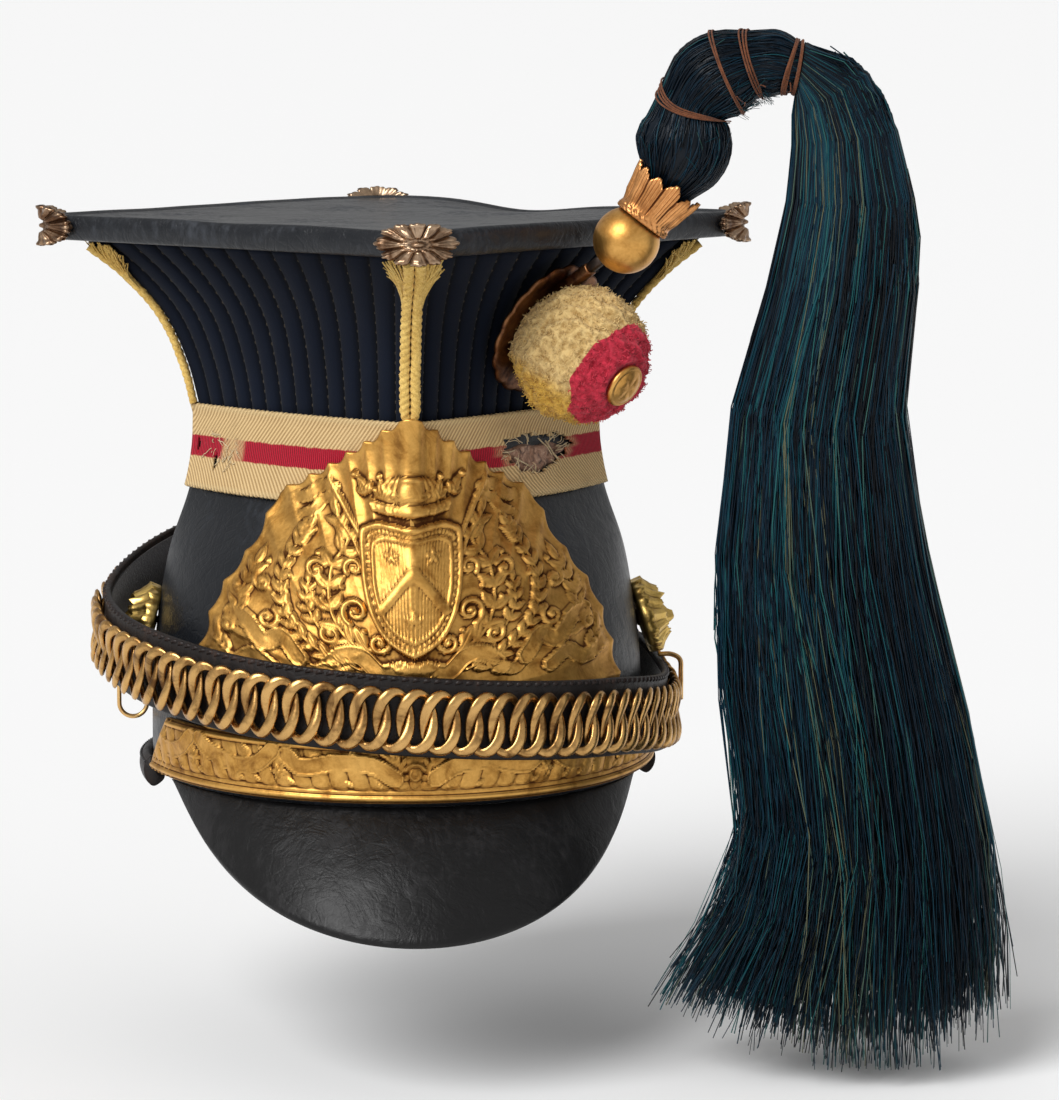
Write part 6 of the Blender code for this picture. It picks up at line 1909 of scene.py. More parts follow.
        cavity = np.zeros((self.rings + len(back_share), len(angle)))
        cavity[:self.rings] = mix(hollows(height, 14, 0.0012), hollows(height, 2, 0.0004), 0.4)
        settle("plate_rays", closed_form(np.concatenate((front, back)), cavity=cavity), finishes.plate,
               "plate_gilt", "front_plate")

    def _strip(self, finishes: Finishes) -> None:
        """The bordered strip with bare ribbons, sprigs and a knot at its middle."""
        share = np.linspace(0.0, 1.0, self.strip_stations)[:, None]
        rise = np.linspace(0.0, 1.0, self.strip_rows)[None, :]
        turn = mix(STRIP_LEFT + STRIP_SLANT * rise, STRIP_RIGHT, share)
        z = STRIP_FOOT + rise * STRIP_HEIGHT
        along = turn * QUARTER_RUN / STRIP_HEIGHT
        work = Relief(along, np.broadcast_to(rise, along.shape))
        r = self.relief
        end = STRIP_RIGHT * QUARTER_RUN / STRIP_HEIGHT
        for low in (0.08, 0.92):
            work.stroke(((0.0, low), (end, low)), 0.050, r * 0.85)
        work.stroke(((0.0, 0.175), (end, 0.175)), 0.020, r * 0.4)
        for path, half, height, waves in (
                ([(0.34, 0.42), (0.70, 0.62), (1.30, 0.66), (1.90, 0.56), (2.20, 0.74)], 0.155, 1.10, 1.4),
                ([(2.45, 0.80), (2.75, 0.56), (3.25, 0.50), (3.80, 0.66), (4.05, 0.82)], 0.150, 1.05, 1.2),
                ([(4.30, 0.82), (4.60, 0.58), (5.10, 0.50), (5.60, 0.66), (5.85, 0.80)], 0.145, 1.0, 1.2)):
            work.ribbon(path, half, r * height, waves)
        for x, y in ((2.32, 0.46), (4.18, 0.50)):
            for petal in range(6):
                work.leaf(x, y, petal * math.pi / 3, 0.17, 0.050, r * 1.1)
            work.dot(x, y, 0.050, r * 1.35)
        work.spray(((0.42, 0.30), (0.24, 0.44), (0.20, 0.62), (0.34, 0.78)), 5, 0.22, 0.055, r * 0.9)
        work.spray(((5.70, 0.34), (5.95, 0.46), (6.20, 0.62), (6.42, 0.74)), 5, 0.24, 0.060, r * 0.9)
        work.stroke(scroll(0.0, 0.50, 0.17, 0.03, 0.4, 1.5), 0.045, r * 1.1, 0.3)
        work.dot(0.0, 0.50, 0.085, r * 1.25)
        for x in (0.50, 1.00, 2.02, 2.66, 3.00, 3.92, 4.48):
            work.leaf(x, 0.26, 0.5, 0.22, 0.050, r * 0.9)
            work.leaf(x + 0.10, 0.86, -2.6, 0.22, 0.045, r * 0.9)
        flutes = np.abs(np.sin(math.pi * (along - 0.30 * rise * np.sign(along)) / 0.33)) ** 0.55
        scallop = 0.20 + 0.07 * (1.0 - flutes)
        ground = r * 0.62 * flutes * smooth(scallop, scallop + 0.06, rise) * smooth(0.95, 0.70, rise)
        height = np.maximum(work.result(), ground)
        panel = (turn < -0.70) * np.exp(-((((turn - STRIP_SLANT * rise) * 40.0) % 1.0 - 0.5) / 0.16) ** 2)
        height = np.maximum(height, panel * r * 0.35)
        height = height + 0.00008 * ripple(np.stack((along, rise + along * 0, along), axis=-1), 18.0, 55)
        height = height * smooth(0.0, 0.01, share) * smooth(1.0, 0.99, share)
        z = z + 0 * turn
        front = plate_point(turn, z, PLATE_THICKNESS + self.strip_proud + height)
        back_turn = turn[:, ::-15]
        back = plate_point(back_turn, z[:, ::-15], np.full_like(back_turn, -self.strip_proud))
        cavity = np.zeros((self.strip_stations, self.strip_rows + back.shape[1]))
        cavity[:, :self.strip_rows] = mix(hollows(height, 12, 0.0011), hollows(height, 2, 0.0004), 0.4)
        mesh = Grid(np.concatenate((front, back), axis=1), caps=True, shades={"cavity": cavity}).mesh()
        settle("plate_strip", mesh, finishes.plate, "plate_gilt", "front_plate")


# The chin strap and what holds it


def loop_point(turn: np.ndarray, out: np.ndarray, rise: np.ndarray) -> np.ndarray:
    """Points on the strap's course, out from its inner face and up from its middle."""
    clearance, height = read_table(LOOP_COURSE, np.asarray(turn) % 4.0)
    z = height * LOOP_RISE
    point = wall_point(z + 0 * out, turn + 0 * out, clearance * LOOP_CLEARANCE + out)
    point[..., 2] = z + rise
    return point


@dataclass
class ChinLoop:
    """The leather strap with its velvet lining, and the chain of flattened links on it."""

    columns: int = 400
    links: int = 84
    link_stations: int = 34
    course_steps: int = 2401
    lacing_run: float = 0.60
    lacing_length: float = 0.0036
    wire_sides: int = 8
    seed: int = SEED + 60
    link_half_width: float = 0.0056
    link_half_height: float = 0.0094
    link_swing: float = 0.00125
    wire_wide: float = 0.00185
    wire_deep: float = 0.00092
    chain_out: float = 0.00505
    chain_rise: float = 0.0010
    stitch_pitch: float = 0.0034

    def build(self, finishes: Finishes, repeater: Repeater) -> None:
        """Make strap, lining, edge stitches and chain."""
        turns = (np.arange(self.columns) * 4 / self.columns)[:, None]
        low = -STRAP_HEIGHT / 2 + STRAP_SHOWS
        high = STRAP_HEIGHT / 2 + STRAP_SHOWS
        corner = 0.0009
        angle = np.linspace(0.0, math.pi / 2, 4)
        corners = []
        for out, rise, start in ((corner, high - corner, math.pi / 2), (corner, low + corner, math.pi),
                                 (STRAP_THICKNESS - corner, low + corner, 1.5 * math.pi),
                                 (STRAP_THICKNESS - corner, high - corner, 0.0)):
            corners += [(out + corner * math.cos(start + a), rise + corner * math.sin(start + a))
                        for a in angle]
        section = np.array(corners)
        rings = loop_point(turns, section[None, :, 0], section[None, :, 1])
        rings += (ripple(rings, 70.0, 61) * 0.0003)[..., None] * wall_normal(0.03, turns)
        settle("chin_strap_leather", Grid(rings, loop_rows=True).mesh(), finishes.strap,
               "strap_leather", "chin_strap")
        lining = np.array(((-0.0007, low + 0.0016), (0.0002, low + 0.0014), (0.0002, high - 0.0022),
                           (-0.0007, high - 0.0024)))
        rings = loop_point(turns, lining[None, :, 0], lining[None, :, 1])
        settle("strap_lining", Grid(rings, loop_rows=True).mesh(), finishes.velvet, "strap_leather")
        self._stitches(finishes, repeater, high)
        self._chain(finishes, repeater)

    def _even(self, count: int, out: float, rise: float) -> np.ndarray:
        """Turns of evenly spaced places on the course."""
        fine = np.linspace(0.0, 4.0, self.course_steps)
        points = loop_point(fine, np.full(self.course_steps, out), rise)
        length = np.concatenate(((0.0,), np.cumsum(np.linalg.norm(np.diff(points, axis=0), axis=1))))
        return np.interp(np.arange(count) / count * length[-1], length, fine)

    def _ways(self, turns: np.ndarray, out: float, rise: float) -> tuple[np.ndarray, np.ndarray, np.ndarray]:
        """Places on the course, with the ways along and out."""
        outs = np.full(len(turns), out)
        places = loop_point(turns, outs, rise)
        along = unit(loop_point(turns + 0.01, outs, rise) - loop_point(turns - 0.01, outs, rise))
        normal = wall_normal(places[:, 2], turns)
        return places, along, unit(normal - along * np.einsum("ij,ij->i", normal, along)[:, None])

    def _stitches(self, finishes: Finishes, repeater: Repeater, high: float) -> None:
        """Leather lacing over the strap's upper edge."""
        turns = self._even(int(self.lacing_run / self.stitch_pitch), 0.001, high)
        places, along, out = self._ways(turns, STRAP_THICKNESS * 0.75, high - 0.0012)
        ways = (places, unit(along + UP * 0.28), unit(out + UP * 0.7))
        repeater.settle_repeats("strap_lacing", stitch_form(self.lacing_length, 0.00090), ways,
                                finishes.lacing, "strap_leather")

    def _chain(self, finishes: Finishes, repeater: Repeater) -> None:
        """Oval links whose upper left and lower right arcs lie in front."""
        angle = angles(self.link_stations)
        shown = 0.5 - 0.5 * np.sin(2 * angle)
        middle = np.stack((np.cos(angle) * self.link_half_width,
                           np.sin(angle) * self.link_half_height,
                           -self.link_swing * np.sin(2 * angle)), axis=-1)
        along = unit(np.roll(middle, -1, axis=0) - np.roll(middle, 1, axis=0))
        second = unit(UP - along * along[:, 2:3])
        first = np.cross(along, second)
        wide = self.wire_wide * mix(0.66, 1.12, shown)
        sizes = np.stack((wide, np.full(self.link_stations, self.wire_deep)), axis=-1)
        section = round_section(1.0, self.wire_sides)[None] * sizes[:, None]
        rings = sweep(middle, first, second, section)
        # Painted light: cavity is near 1 on the links' back arcs and faces, darkened towards patina as
        # painted shade, and near 0 on the front arcs, brightened as painted highlight.
        height = rings[..., 2] / (self.link_swing + self.wire_deep)
        cavity = np.clip(0.50 - 0.44 * height, 0.0, 1.0)
        link = Grid(rings, loop_rows=True, shades={"cavity": cavity}).mesh()
        turns = self._even(self.links, self.chain_out, self.chain_rise)
        places, along, out = self._ways(turns, self.chain_out, self.chain_rise)
        draw = np.random.default_rng(self.seed)
        lean, roll, tip = (draw.normal(0.0, spread, (self.links, 1)) for spread in (0.05, 0.02, 0.018))
        out = unit(out + along * lean + UP * roll)
        repeater.settle_repeats("chin_chain_links", link, (places, unit(along + UP * tip), out),
                                finishes.chain, "chain_brass", "chin_chain")


# Place across and up, width, height and stretch of the hills and pits of a beast mask
MASK_HILLS = (
    (0.0, -0.24, 0.20, 0.30), (0.13, -0.24, 0.11, 0.12), (0.0, 0.02, 0.075, 0.13, 2.6),
    (0.0, -0.12, 0.11, 0.10, 0.6), (0.20, 0.20, 0.12, 0.13, 0.55), (0.44, 0.46, 0.10, 0.16),
    (0.34, -0.16, 0.14, 0.06), (0.0, 0.44, 0.12, 0.08), (0.20, 0.085, 0.065, -0.16, 0.6),
    (0.20, 0.08, 0.030, 0.07, 0.7), (0.0, -0.37, 0.17, -0.16, 0.16), (0.0, -0.50, 0.13, 0.07, 0.6),
    (0.055, -0.13, 0.026, -0.06),
)


def boss_frame(side: int) -> tuple[np.ndarray, np.ndarray, np.ndarray]:
    """Seat, outward way and up way of a side boss."""
    seat = np.array((float(plan_point(BOSS_HEIGHT, 1.0)[0]) * side, BOSS_BACK, BOSS_HEIGHT))
    return seat, *tilted(RIGHT * side, BOSS_TILT)


@dataclass
class SideBosses:
    """Two beast-mask bosses, the hook on the right and the long ring on the left."""

    columns: int = 120
    rings: int = 46
    hook_wire: float = 0.0009
    ring_radius: float = 0.0049
    ring_stretch: float = 0.0060
    ring_wire: float = 0.0008
    eye_radius: float = 0.0030
    eye_wire: float = 0.0007
    eye_stations: int = 36

    def build(self, finishes: Finishes) -> None:
        """Make both bosses and what hangs on them."""
        for name, side in (("right", 1), ("left", -1)):
            self._mask(name, side, finishes)
        self._hook(finishes)
        self._ring(finishes)

    def _mask(self, name: str, side: int, finishes: Finishes) -> None:
        """A mask with mane, ears, brows, eyes, muzzle and mouth."""
        seat, out_way, up_way = boss_frame(side)
        angle = angles(self.columns)
        share = np.linspace(0.03, 1.0, self.rings)[:, None]
        x = np.cos(angle) * share
        y = np.sin(angle) * share

        def bump(at_x: float, at_y: float, wide: float, high: float, tall: float = 1.0) -> np.ndarray:
            """A soft hill on both sides of the face."""
            return high * np.exp(-((np.abs(x) - at_x) / wide) ** 2 - ((y - at_y) / (wide * tall)) ** 2)

        locks = 0.7 * np.cos(angle * 15 + 5.0 * share + 0.8 * np.sin(3 * angle))
        fine = np.cos(angle * 45 + 15.0 * share)
        mane = 0.16 + 0.34 * smooth(1.02, 0.62, share) + 0.075 * locks + 0.02 * fine
        height = 0.10 + smooth(0.50, 0.64, share) * mane + 0.60 * smooth(0.78, 0.30, share)
        for hill in MASK_HILLS:
            height = height + bump(*hill)
        outline = 1.0 - 0.035 * (0.5 - 0.5 * np.cos(angle * 15 + 5.0 + 0.8 * np.sin(3 * angle)))
        lift = BOSS_STANDOFF + BOSS_DEPTH * np.clip(height / 1.06, 0.0, 1.0)
        radius = BOSS_RADIUS * share * outline
        back_radius = np.array((0.97, 0.93, 0.50, 0.46, 0.22, 0.20))[:, None] * BOSS_RADIUS * outline
        back_lift = np.array((0.0024, 0.0015, 0.0011, 0.0010, 0.0009, TOUCH / 2))[:, None]
        radius = np.concatenate((radius, back_radius))
        lift = np.concatenate((lift, back_lift + np.zeros_like(back_radius)))
        rings = oval(seat + out_way * lift[..., None], BACK, up_way, angle, radius, radius)
        cavity = np.zeros(rings.shape[:2])
        cavity[:self.rings] = hollows(height * BOSS_DEPTH, 6, 0.0013)
        settle(f"beast_boss_{name}", closed_form(rings, cavity=cavity), finishes.boss, "boss_brass",
               f"boss_{name}")

    @staticmethod
    def _foot(side: int) -> np.ndarray:
        """The lowest point of a boss's mane."""
        seat, out_way, up_way = boss_frame(side)
        return seat + out_way * (BOSS_STANDOFF + BOSS_DEPTH * 0.14) - up_way * BOSS_RADIUS

    def _hook(self, finishes: Finishes) -> None:
        """The wire that comes down from the right boss over the chain."""
        foot = self._foot(1)
        outer = STRAP_THICKNESS + TOUCH * 2 + 0.0045 + TOUCH * 2 + self.hook_wire
        turn = np.array((1.0 + BOSS_BACK / RIM_HALF_DEPTH * 2 / math.pi,))
        low = loop_point(turn, np.array((outer,)), 0.00045)[0]
        high = loop_point(turn, np.array((outer,)), 0.0099)[0]
        start = np.array((foot[0], BOSS_BACK, foot[2] - self.hook_wire - TOUCH))
        path = (start, (mix(start[0], high[0], 0.55), BOSS_BACK, start[2]),
                (high[0] - self.hook_wire * 0.4, high[1], mix(start[2], high[2], 0.3)), high, low)
        settle("chain_hook_wire", wire(smooth_path(path, 9), self.hook_wire), finishes.wire,
               "hook_brass", "chain_hook")

    def _ring(self, finishes: Finishes) -> None:
        """The long ring and the eye that carries it."""
        eye_centre = self._foot(-1) - UP * (self.eye_wire + TOUCH + self.eye_radius)
        circle = oval(eye_centre, BACK, UP, angles(self.eye_stations), self.eye_radius, self.eye_radius)
        settle("hanging_eye", wire(circle, self.eye_wire, True), finishes.wire, "ring_brass",
               "ring_eye")
        top = eye_centre - UP * (self.eye_radius - self.eye_wire - TOUCH - self.ring_wire)
        upper = top - UP * self.ring_radius
        arc = np.linspace(0.0, math.pi, 22)
        path = np.concatenate([
            oval(middle, RIGHT, UP, arc + start, self.ring_radius, self.ring_radius)
            for middle, start in ((upper, 0.0), (upper - UP * self.ring_stretch, math.pi))])
        settle("hanging_ring", wire(path, self.ring_wire, True), finishes.wire, "ring_brass",
               "hook_ring")


# The pompom and the plume


POMPOM_CENTRE = FACE_OUT * POMPOM_OUT + UP * POMPOM_HEIGHT
POMPOM_AXIS, POMPOM_UP = tilted(FACE_OUT, -POMPOM_TILT)
SOCKET_WAY, SOCKET_OVER = tilted(FACE_OUT, SOCKET_TILT)
SOCKET_SEAT = POMPOM_CENTRE + SOCKET_OVER * SOCKET_OVER_POMPOM
BALL_CENTRE = SOCKET_SEAT + SOCKET_WAY * (BALL_OUT - SOCKET_SEAT @ FACE_OUT) / (SOCKET_WAY @ FACE_OUT)


def turned(centre: np.ndarray, axis: np.ndarray, angle: np.ndarray, radius: np.ndarray,
           height: np.ndarray) -> np.ndarray:
    """Rings about an axis, by angle, distance off the axis and height along it."""
    first = unit(np.cross(axis, (0.3, 0.9, 0.2)))
    return oval(centre + axis * height[..., None], first, np.cross(axis, first), angle, radius, radius)


@dataclass
class Pompom:
    """The woollen ball with its button, on its lobed brass backing and socket."""

    lump: float = 0.022
    socket_side: float = 0.0044
    socket_reach: float = 0.0065
    stem_length: float = 0.0065
    backing_radius: float = 0.0250
    backing_thickness: float = 0.0012
    button_radius: float = 0.0078
    button_height: float = 0.0034
    stem_side: float = 0.0034
    button_columns: int = 72
    disc_columns: int = 144
    bar_columns: int = 16
    subdivisions: int = 6
    crimson_spread: float = math.radians(53)
    fibres: float = 560000.0

    def build(self, finishes: Finishes, repeater: Repeater) -> None:
        """Make wool, fibres, button, backing, socket and stem."""
        self._wool(finishes, repeater)
        profile = np.array((
            (0.06, 1.00), (0.22, 0.99), (0.35, 0.97), (0.50, 0.93), (0.60, 0.88), (0.70, 0.80), (0.78, 0.72),
            (0.84, 0.62), (0.88, 0.66), (0.94, 0.60), (1.00, 0.35), (0.98, 0.10), (0.90, 0.0),
            (0.30, 0.0))) * (self.button_radius, self.button_height)
        angle = angles(self.button_columns)
        share = np.linspace(0.0, 1.0, len(profile))[:, None]
        flower = 0.00030 * np.exp(-((share - 0.22) / 0.10) ** 2) * np.abs(np.cos(angle * 3))
        button = turned(POMPOM_CENTRE + POMPOM_AXIS * (BUTTON_SEAT + TOUCH), POMPOM_AXIS, angle,
                        profile[:, :1], profile[:, 1:] + flower)
        settle("brass_button", closed_form(button), finishes.ball, "button_brass", "pompom_button")
        self._backing(finishes)

    def _wool(self, finishes: Finishes, repeater: Repeater) -> None:
        """The lumpy ball and the short curled fibres that cover it."""
        level = unit(np.cross(POMPOM_UP, POMPOM_AXIS))
        limit = SOCKET_OVER_POMPOM - self.socket_side / 2 - TOUCH
        work = bmesh.new()
        bmesh.ops.create_icosphere(work, subdivisions=self.subdivisions, radius=1.0)
        mesh = bpy.data.meshes.new("wool")
        work.to_mesh(mesh)
        work.free()
        ball = np.zeros(len(mesh.vertices) * 3)
        mesh.vertices.foreach_get("co", ball)
        ball = unit(ball.reshape(-1, 3))
        wide = np.hypot(ball[:, 0], ball[:, 1])
        swirl = np.sin(5 * np.arctan2(ball[:, 1], ball[:, 0]) + 4 * ball[:, 2])
        clumps = ripple(ball, 9.0, 71)
        curls = ripple(ball, 26.0, 72)
        size = POMPOM_RADIUS * (0.985 + self.lump * 0.4 * swirl * wide + 0.030 * clumps + 0.040 * curls
                                + 0.022 * ripple(ball, 60.0, 74))
        out = np.maximum(ball[:, 2] * size, -POMPOM_FLAT)
        spread = wide * size
        seat = smooth(0.0102, 0.0080, spread) * (ball[:, 2] > 0)
        out = mix(out, np.minimum(out, BUTTON_SEAT), seat)
        point = (level * (ball[:, 0] * size)[:, None] + POMPOM_UP * (ball[:, 1] * size)[:, None]
                 + POMPOM_AXIS * out[:, None])
        past = np.maximum(point @ SOCKET_OVER - limit, 0.0)
        point = POMPOM_CENTRE + point - SOCKET_OVER * past[:, None]
        mesh.vertices.foreach_set("co", point.reshape(-1))
        angle = np.arccos(np.clip(ball[:, 2], -1.0, 1.0)) + 0.10 * ripple(ball, 6.0, 73)
        add_shade(mesh, "crimson", smooth(self.crimson_spread + 0.05, self.crimson_spread - 0.05, angle))
        add_shade(mesh, "low", smooth(-0.15, -0.85, ball[:, 1] + 0.3 * ball[:, 0]))
        mesh.shade_smooth()
        cover = mesh.copy()
        cut_away(cover, "VERTS", (spread < 0.0095) & (ball[:, 2] > 0))
        fibres = repeater.run(cover, repeater.fuzz, Density=self.fibres, Length=0.00070, Thickness=0.20,
                              Curl=1.3, Seed=SEED, Material=finishes.wool_fibre)
        settle("pompom_fibres", fibres, finishes.wool_fibre, "pompom_wool")
        settle("pompom_wool", mesh, finishes.wool, "pompom_wool", "pompom", soft=True)

    def _backing(self, finishes: Finishes) -> None:
        """The lobed disc with a raised rim, the square socket and the stem."""
        profile = np.array(((0.05, 0.5), (0.80, 0.5), (0.88, 0.8), (0.96, 0.9), (1.0, 0.4), (1.0, -0.2),
                            (0.96, -0.5), (0.05, -0.5))) * (self.backing_radius, self.backing_thickness)
        angle = angles(self.disc_columns)
        lobes = (profile[:, :1] > 0.02) * 0.0009 * (np.abs(np.cos(angle * 9)) - 1.0)
        seat = POMPOM_CENTRE + POMPOM_AXIS * (-POMPOM_FLAT - TOUCH - self.backing_thickness / 2)
        disc = closed_form(turned(seat, POMPOM_AXIS, angle, profile[:, :1] + lobes, profile[:, 1:]))
        head = BALL_CENTRE - SOCKET_WAY * (BALL_RADIUS + TOUCH * 2)
        square = round_section(1.0, self.bar_columns)
        square = square / np.maximum(np.abs(square).max(axis=1, keepdims=True), 0.82)
        aside = np.cross(SOCKET_WAY, SOCKET_OVER)

        def bar(low: np.ndarray, high: np.ndarray, side: float) -> bpy.types.Mesh:
            """A square bar with rounded corners and eased ends."""
            steps = np.array((0.0, 0.0, 0.02, 0.5, 0.98, 1.0, 1.0))
            swell = np.array((0.5, 0.94, 1.0, 1.0, 1.0, 0.94, 0.5)) * side / 2
            middle = mix(low, high, steps[:, None])
            section = square[None] * swell[:, None, None]
            return Grid(sweep(middle, aside, SOCKET_OVER, section), caps=True).mesh()

        joint = head - SOCKET_WAY * (self.stem_length + TOUCH)
        socket = bar(SOCKET_SEAT - SOCKET_WAY * self.socket_reach, joint, self.socket_side)
        settle("brass_backing", join_meshes((disc, socket)), finishes.backing, "backing_brass",
               "pompom_backing")
        settle("iron_stem", bar(head - SOCKET_WAY * self.stem_length, head, self.stem_side), finishes.iron,
               "stem_iron", "plume_stem")


@dataclass
class Plume:
    """The ball and leaf cup, the bound head and the falling hair."""

    cup_length: float = 0.0164
    cup_neck: float = 0.0096
    cup_mouth: float = 0.0120
    leaves: int = 12
    leaf_columns: int = 22
    ball_columns: int = 72
    ball_rings: int = 40
    head_columns: int = 64
    head_rings: int = 70
    tail_columns: int = 56
    head_strands: int = 900
    loose_strands: int = 130
    loose_below: int = 84
    winding_points: int = 49
    seam_turns: int = 4
    seam_start: float = 10.70
    seam_pitch: float = 0.09
    seam_end: float = 10.985
    tail_strands: int = 3260
    tail_steps: int = 11
    tail_pieces: int = 2
    locks: int = 34
    hold_fall: float = 0.865
    seed: int = SEED + 90

    def __post_init__(self) -> None:
        """Work out the ways of the lean, the end of the head and the tones of the locks."""
        self.bearing = np.array((math.cos(PLUME_BEARING), math.sin(PLUME_BEARING), 0.0))
        self.across = np.array((-self.bearing[1], self.bearing[0], 0.0))
        self.axis = self.bearing * math.sin(PLUME_LEAN) + UP * math.cos(PLUME_LEAN)
        self.draw = np.random.default_rng(self.seed)
        self.lock_ways = self.draw.uniform(0.0, 2 * math.pi, self.locks)
        self.lock_tones = self.draw.beta(1.3, 1.9, self.locks)
        self.lock_ends = self.draw.normal(0.0, 0.014, self.locks)
        self.lock_turns = self.draw.normal(0.0, 0.35, self.locks)
        self.end, self.end_way, self.end_radius = (
            values[0] for values in self._stations(np.array((float(HEAD_LAST),))))
        hold = read_table(TAIL_STATIONS, np.array((self.hold_fall,)))
        self.hold_swing = hold[0][0] * TAIL_SWING
        self.hold_half = hold[1][0] * TAIL_HALF_WIDTH

    def build(self, finishes: Finishes, repeater: Repeater) -> None:
        """Make every piece of the plume."""
        self._ball(finishes)
        self._cup(finishes)
        self._head(finishes, repeater)
        self._bindings(finishes, repeater)
        self._tail(finishes, repeater)

    def _ball(self, finishes: Finishes) -> None:
        """A polished ball with a seam."""
        rise = np.linspace(0.06, math.pi - 0.06, self.ball_rings)[:, None]
        seam = 1.0 - 0.012 * np.exp(-((rise - math.pi / 2) / 0.035) ** 2)
        ball = turned(BALL_CENTRE, self.axis, angles(self.ball_columns), np.sin(rise) * BALL_RADIUS * seam,
                      -np.cos(rise) * BALL_RADIUS)
        settle("socket_ball", closed_form(ball), finishes.ball, "ball_brass", "plume_ball")

    def _cup(self, finishes: Finishes) -> None:
        """A twisted ring and upright pointed, ribbed leaves that flare."""
        start = math.sqrt(BALL_RADIUS ** 2 - (self.cup_neck - 0.0012) ** 2) + TOUCH
        rise, swell = np.array((
            (0.0, 0.0), (0.02, 0.06), (0.06, 0.10), (0.10, 0.06), (0.12, -0.04), (0.15, 0.06), (0.18, 0.0),
            (0.28, 0.04), (0.40, 0.16), (0.52, 0.32), (0.64, 0.52), (0.76, 0.74), (0.86, 0.90), (0.94, 1.0),
            (1.0, 1.06))).T
        outer = np.stack((mix(self.cup_neck, self.cup_mouth, swell), rise * self.cup_length), axis=-1)
        inner = outer[::-3] - (0.0009, 0.0)
        profile = np.concatenate((outer, inner))
        angle = angles(self.leaves * self.leaf_columns)[None, :]
        place = angle * self.leaves / (2 * math.pi)
        away = np.abs(2.0 * (place % 1.0) - 1.0)
        tall = 0.06 * np.sin(np.floor(place) * 2.4 + 1.0)
        up = profile[:, 1:2] / self.cup_length
        twist = 0.00040 * np.cos(angle * 24 + 50.0 * up) * smooth(0.135, 0.115, up) * (up > 0.01)
        ribs = 0.5 + 0.5 * np.cos(away * 2.5 * 2 * math.pi)
        flute = (0.0011 * (0.55 - away ** 1.4) + 0.00055 * ribs) * smooth(0.16, 0.40, up)
        tip = self.cup_length * (tall + 0.03 - 0.20 * away ** 1.1 - 0.03 * ribs) * smooth(0.45, 1.0, up)
        cavity = np.clip(0.15 + 0.75 * away ** 1.5 + 0.35 * (0.5 - ribs), 0.0, 1.0) * smooth(0.12, 0.2, up)
        cavity = np.maximum(cavity, np.where(np.arange(len(profile))[:, None] < len(outer), 0.25, 0.95))
        radius = profile[:, :1] + flute + twist
        height = start + profile[:, 1:2] + tip
        rings = turned(BALL_CENTRE, self.axis, angle, radius, height)
        mesh = Grid(rings, loop_rows=True, shades={"cavity": cavity}).mesh()
        settle("leaf_cup", mesh, finishes.copper, "cup_copper", "plume_cup")

    def _stations(self, keys: np.ndarray) -> tuple[np.ndarray, np.ndarray, np.ndarray]:
        """Centres, ways and radii of the bound head at places between its rows."""
        places = []
        for step in (0.0, 0.05, -0.05):
            reach, rise, radius = read_table(HEAD_ROWS, np.clip(keys + step, 0.0, HEAD_LAST))
            places.append((BALL_CENTRE + self.bearing * (reach * HEAD_REACH)[:, None]
                           + UP * (rise * HEAD_RISE)[:, None], radius * HEAD_RADIUS))
        return places[0][0], unit(places[1][0] - places[2][0]), places[0][1]

    def _around(self, keys: np.ndarray, angle: Value, size: Value) -> np.ndarray:
        """Points round the head at places, angles and shares of its radius."""
        centre, way, radius = self._stations(keys)
        return oval(centre, self.across, np.cross(way, self.across), angle, radius * size, radius * size)

    def _head(self, finishes: Finishes, repeater: Repeater) -> None:
        """A core painted dark as shade between the strands, wrapped in bound hair."""
        keys = np.linspace(0.0, HEAD_LAST, self.head_rings)
        angle = angles(self.head_columns)
        centre, way, radius = self._stations(keys)
        places = np.broadcast_arrays(keys[:, None], np.cos(angle) * 3, np.sin(angle) * 3)
        grain = 1.0 + 0.02 * np.cos(angle * 23)[None, :] + 0.02 * ripple(np.stack(places, axis=-1), 1.5, 81)
        size = radius[:, None] * 0.955 * grain
        rings = oval(centre[:, None], self.across, np.cross(way, self.across)[:, None], angle, size, size)
        # Tone 0.12 paints the core darker than the strands over it: painted shade in the gaps between them.
        tone = np.full(rings.shape[:2], 0.12)
        core = Grid(rings, poles=(centre[0], centre[-1]), shades={"tone": tone}).mesh()
        settle("plume_head_core", core, finishes.hair, "plume_hair", "plume_head")
        strands = Strands()
        for _ in range(self.head_strands):
            start = self.draw.uniform(0.0, HEAD_LAST - 1.6)
            end = min(start + self.draw.uniform(1.8, 3.6), HEAD_LAST)
            steps = np.linspace(start, end, 10)
            angle = self.draw.uniform(0, 2 * math.pi)
            angle = angle + 0.10 * np.sin(steps * 0.8 + self.draw.uniform(0, 6.28))
            lift = 0.975 + self.draw.uniform(-0.01, 0.035)
            ends = np.linspace(-1, 1, 10)
            ease = 1.0 - 0.06 * np.abs(ends) ** 6 * ((ends < 0) | (end < HEAD_LAST))
            strands.add(self._around(steps, angle, lift * ease), self.draw.uniform(0.00016, 0.00028),
                        self.draw.beta(1.3, 3.6))
        share = np.linspace(0, 1, 7)
        for number in range(self.loose_strands):
            start = self.draw.uniform(0.6, HEAD_LAST - 0.4)
            angle = self.draw.uniform(0, 2 * math.pi)
            rise = self.draw.uniform(0.02, 0.14)
            if number >= self.loose_strands - self.loose_below:
                start = self.draw.uniform(6.3, 8.8)
                angle = 1.5 * math.pi + self.draw.normal(0, 0.45)
                rise = self.draw.uniform(0.05, 0.32)
            angle = angle + share * self.draw.normal(0, 0.3)
            steps = start + share * self.draw.uniform(0.2, 1.3)
            lift = 1.0 + share ** 1.6 * rise
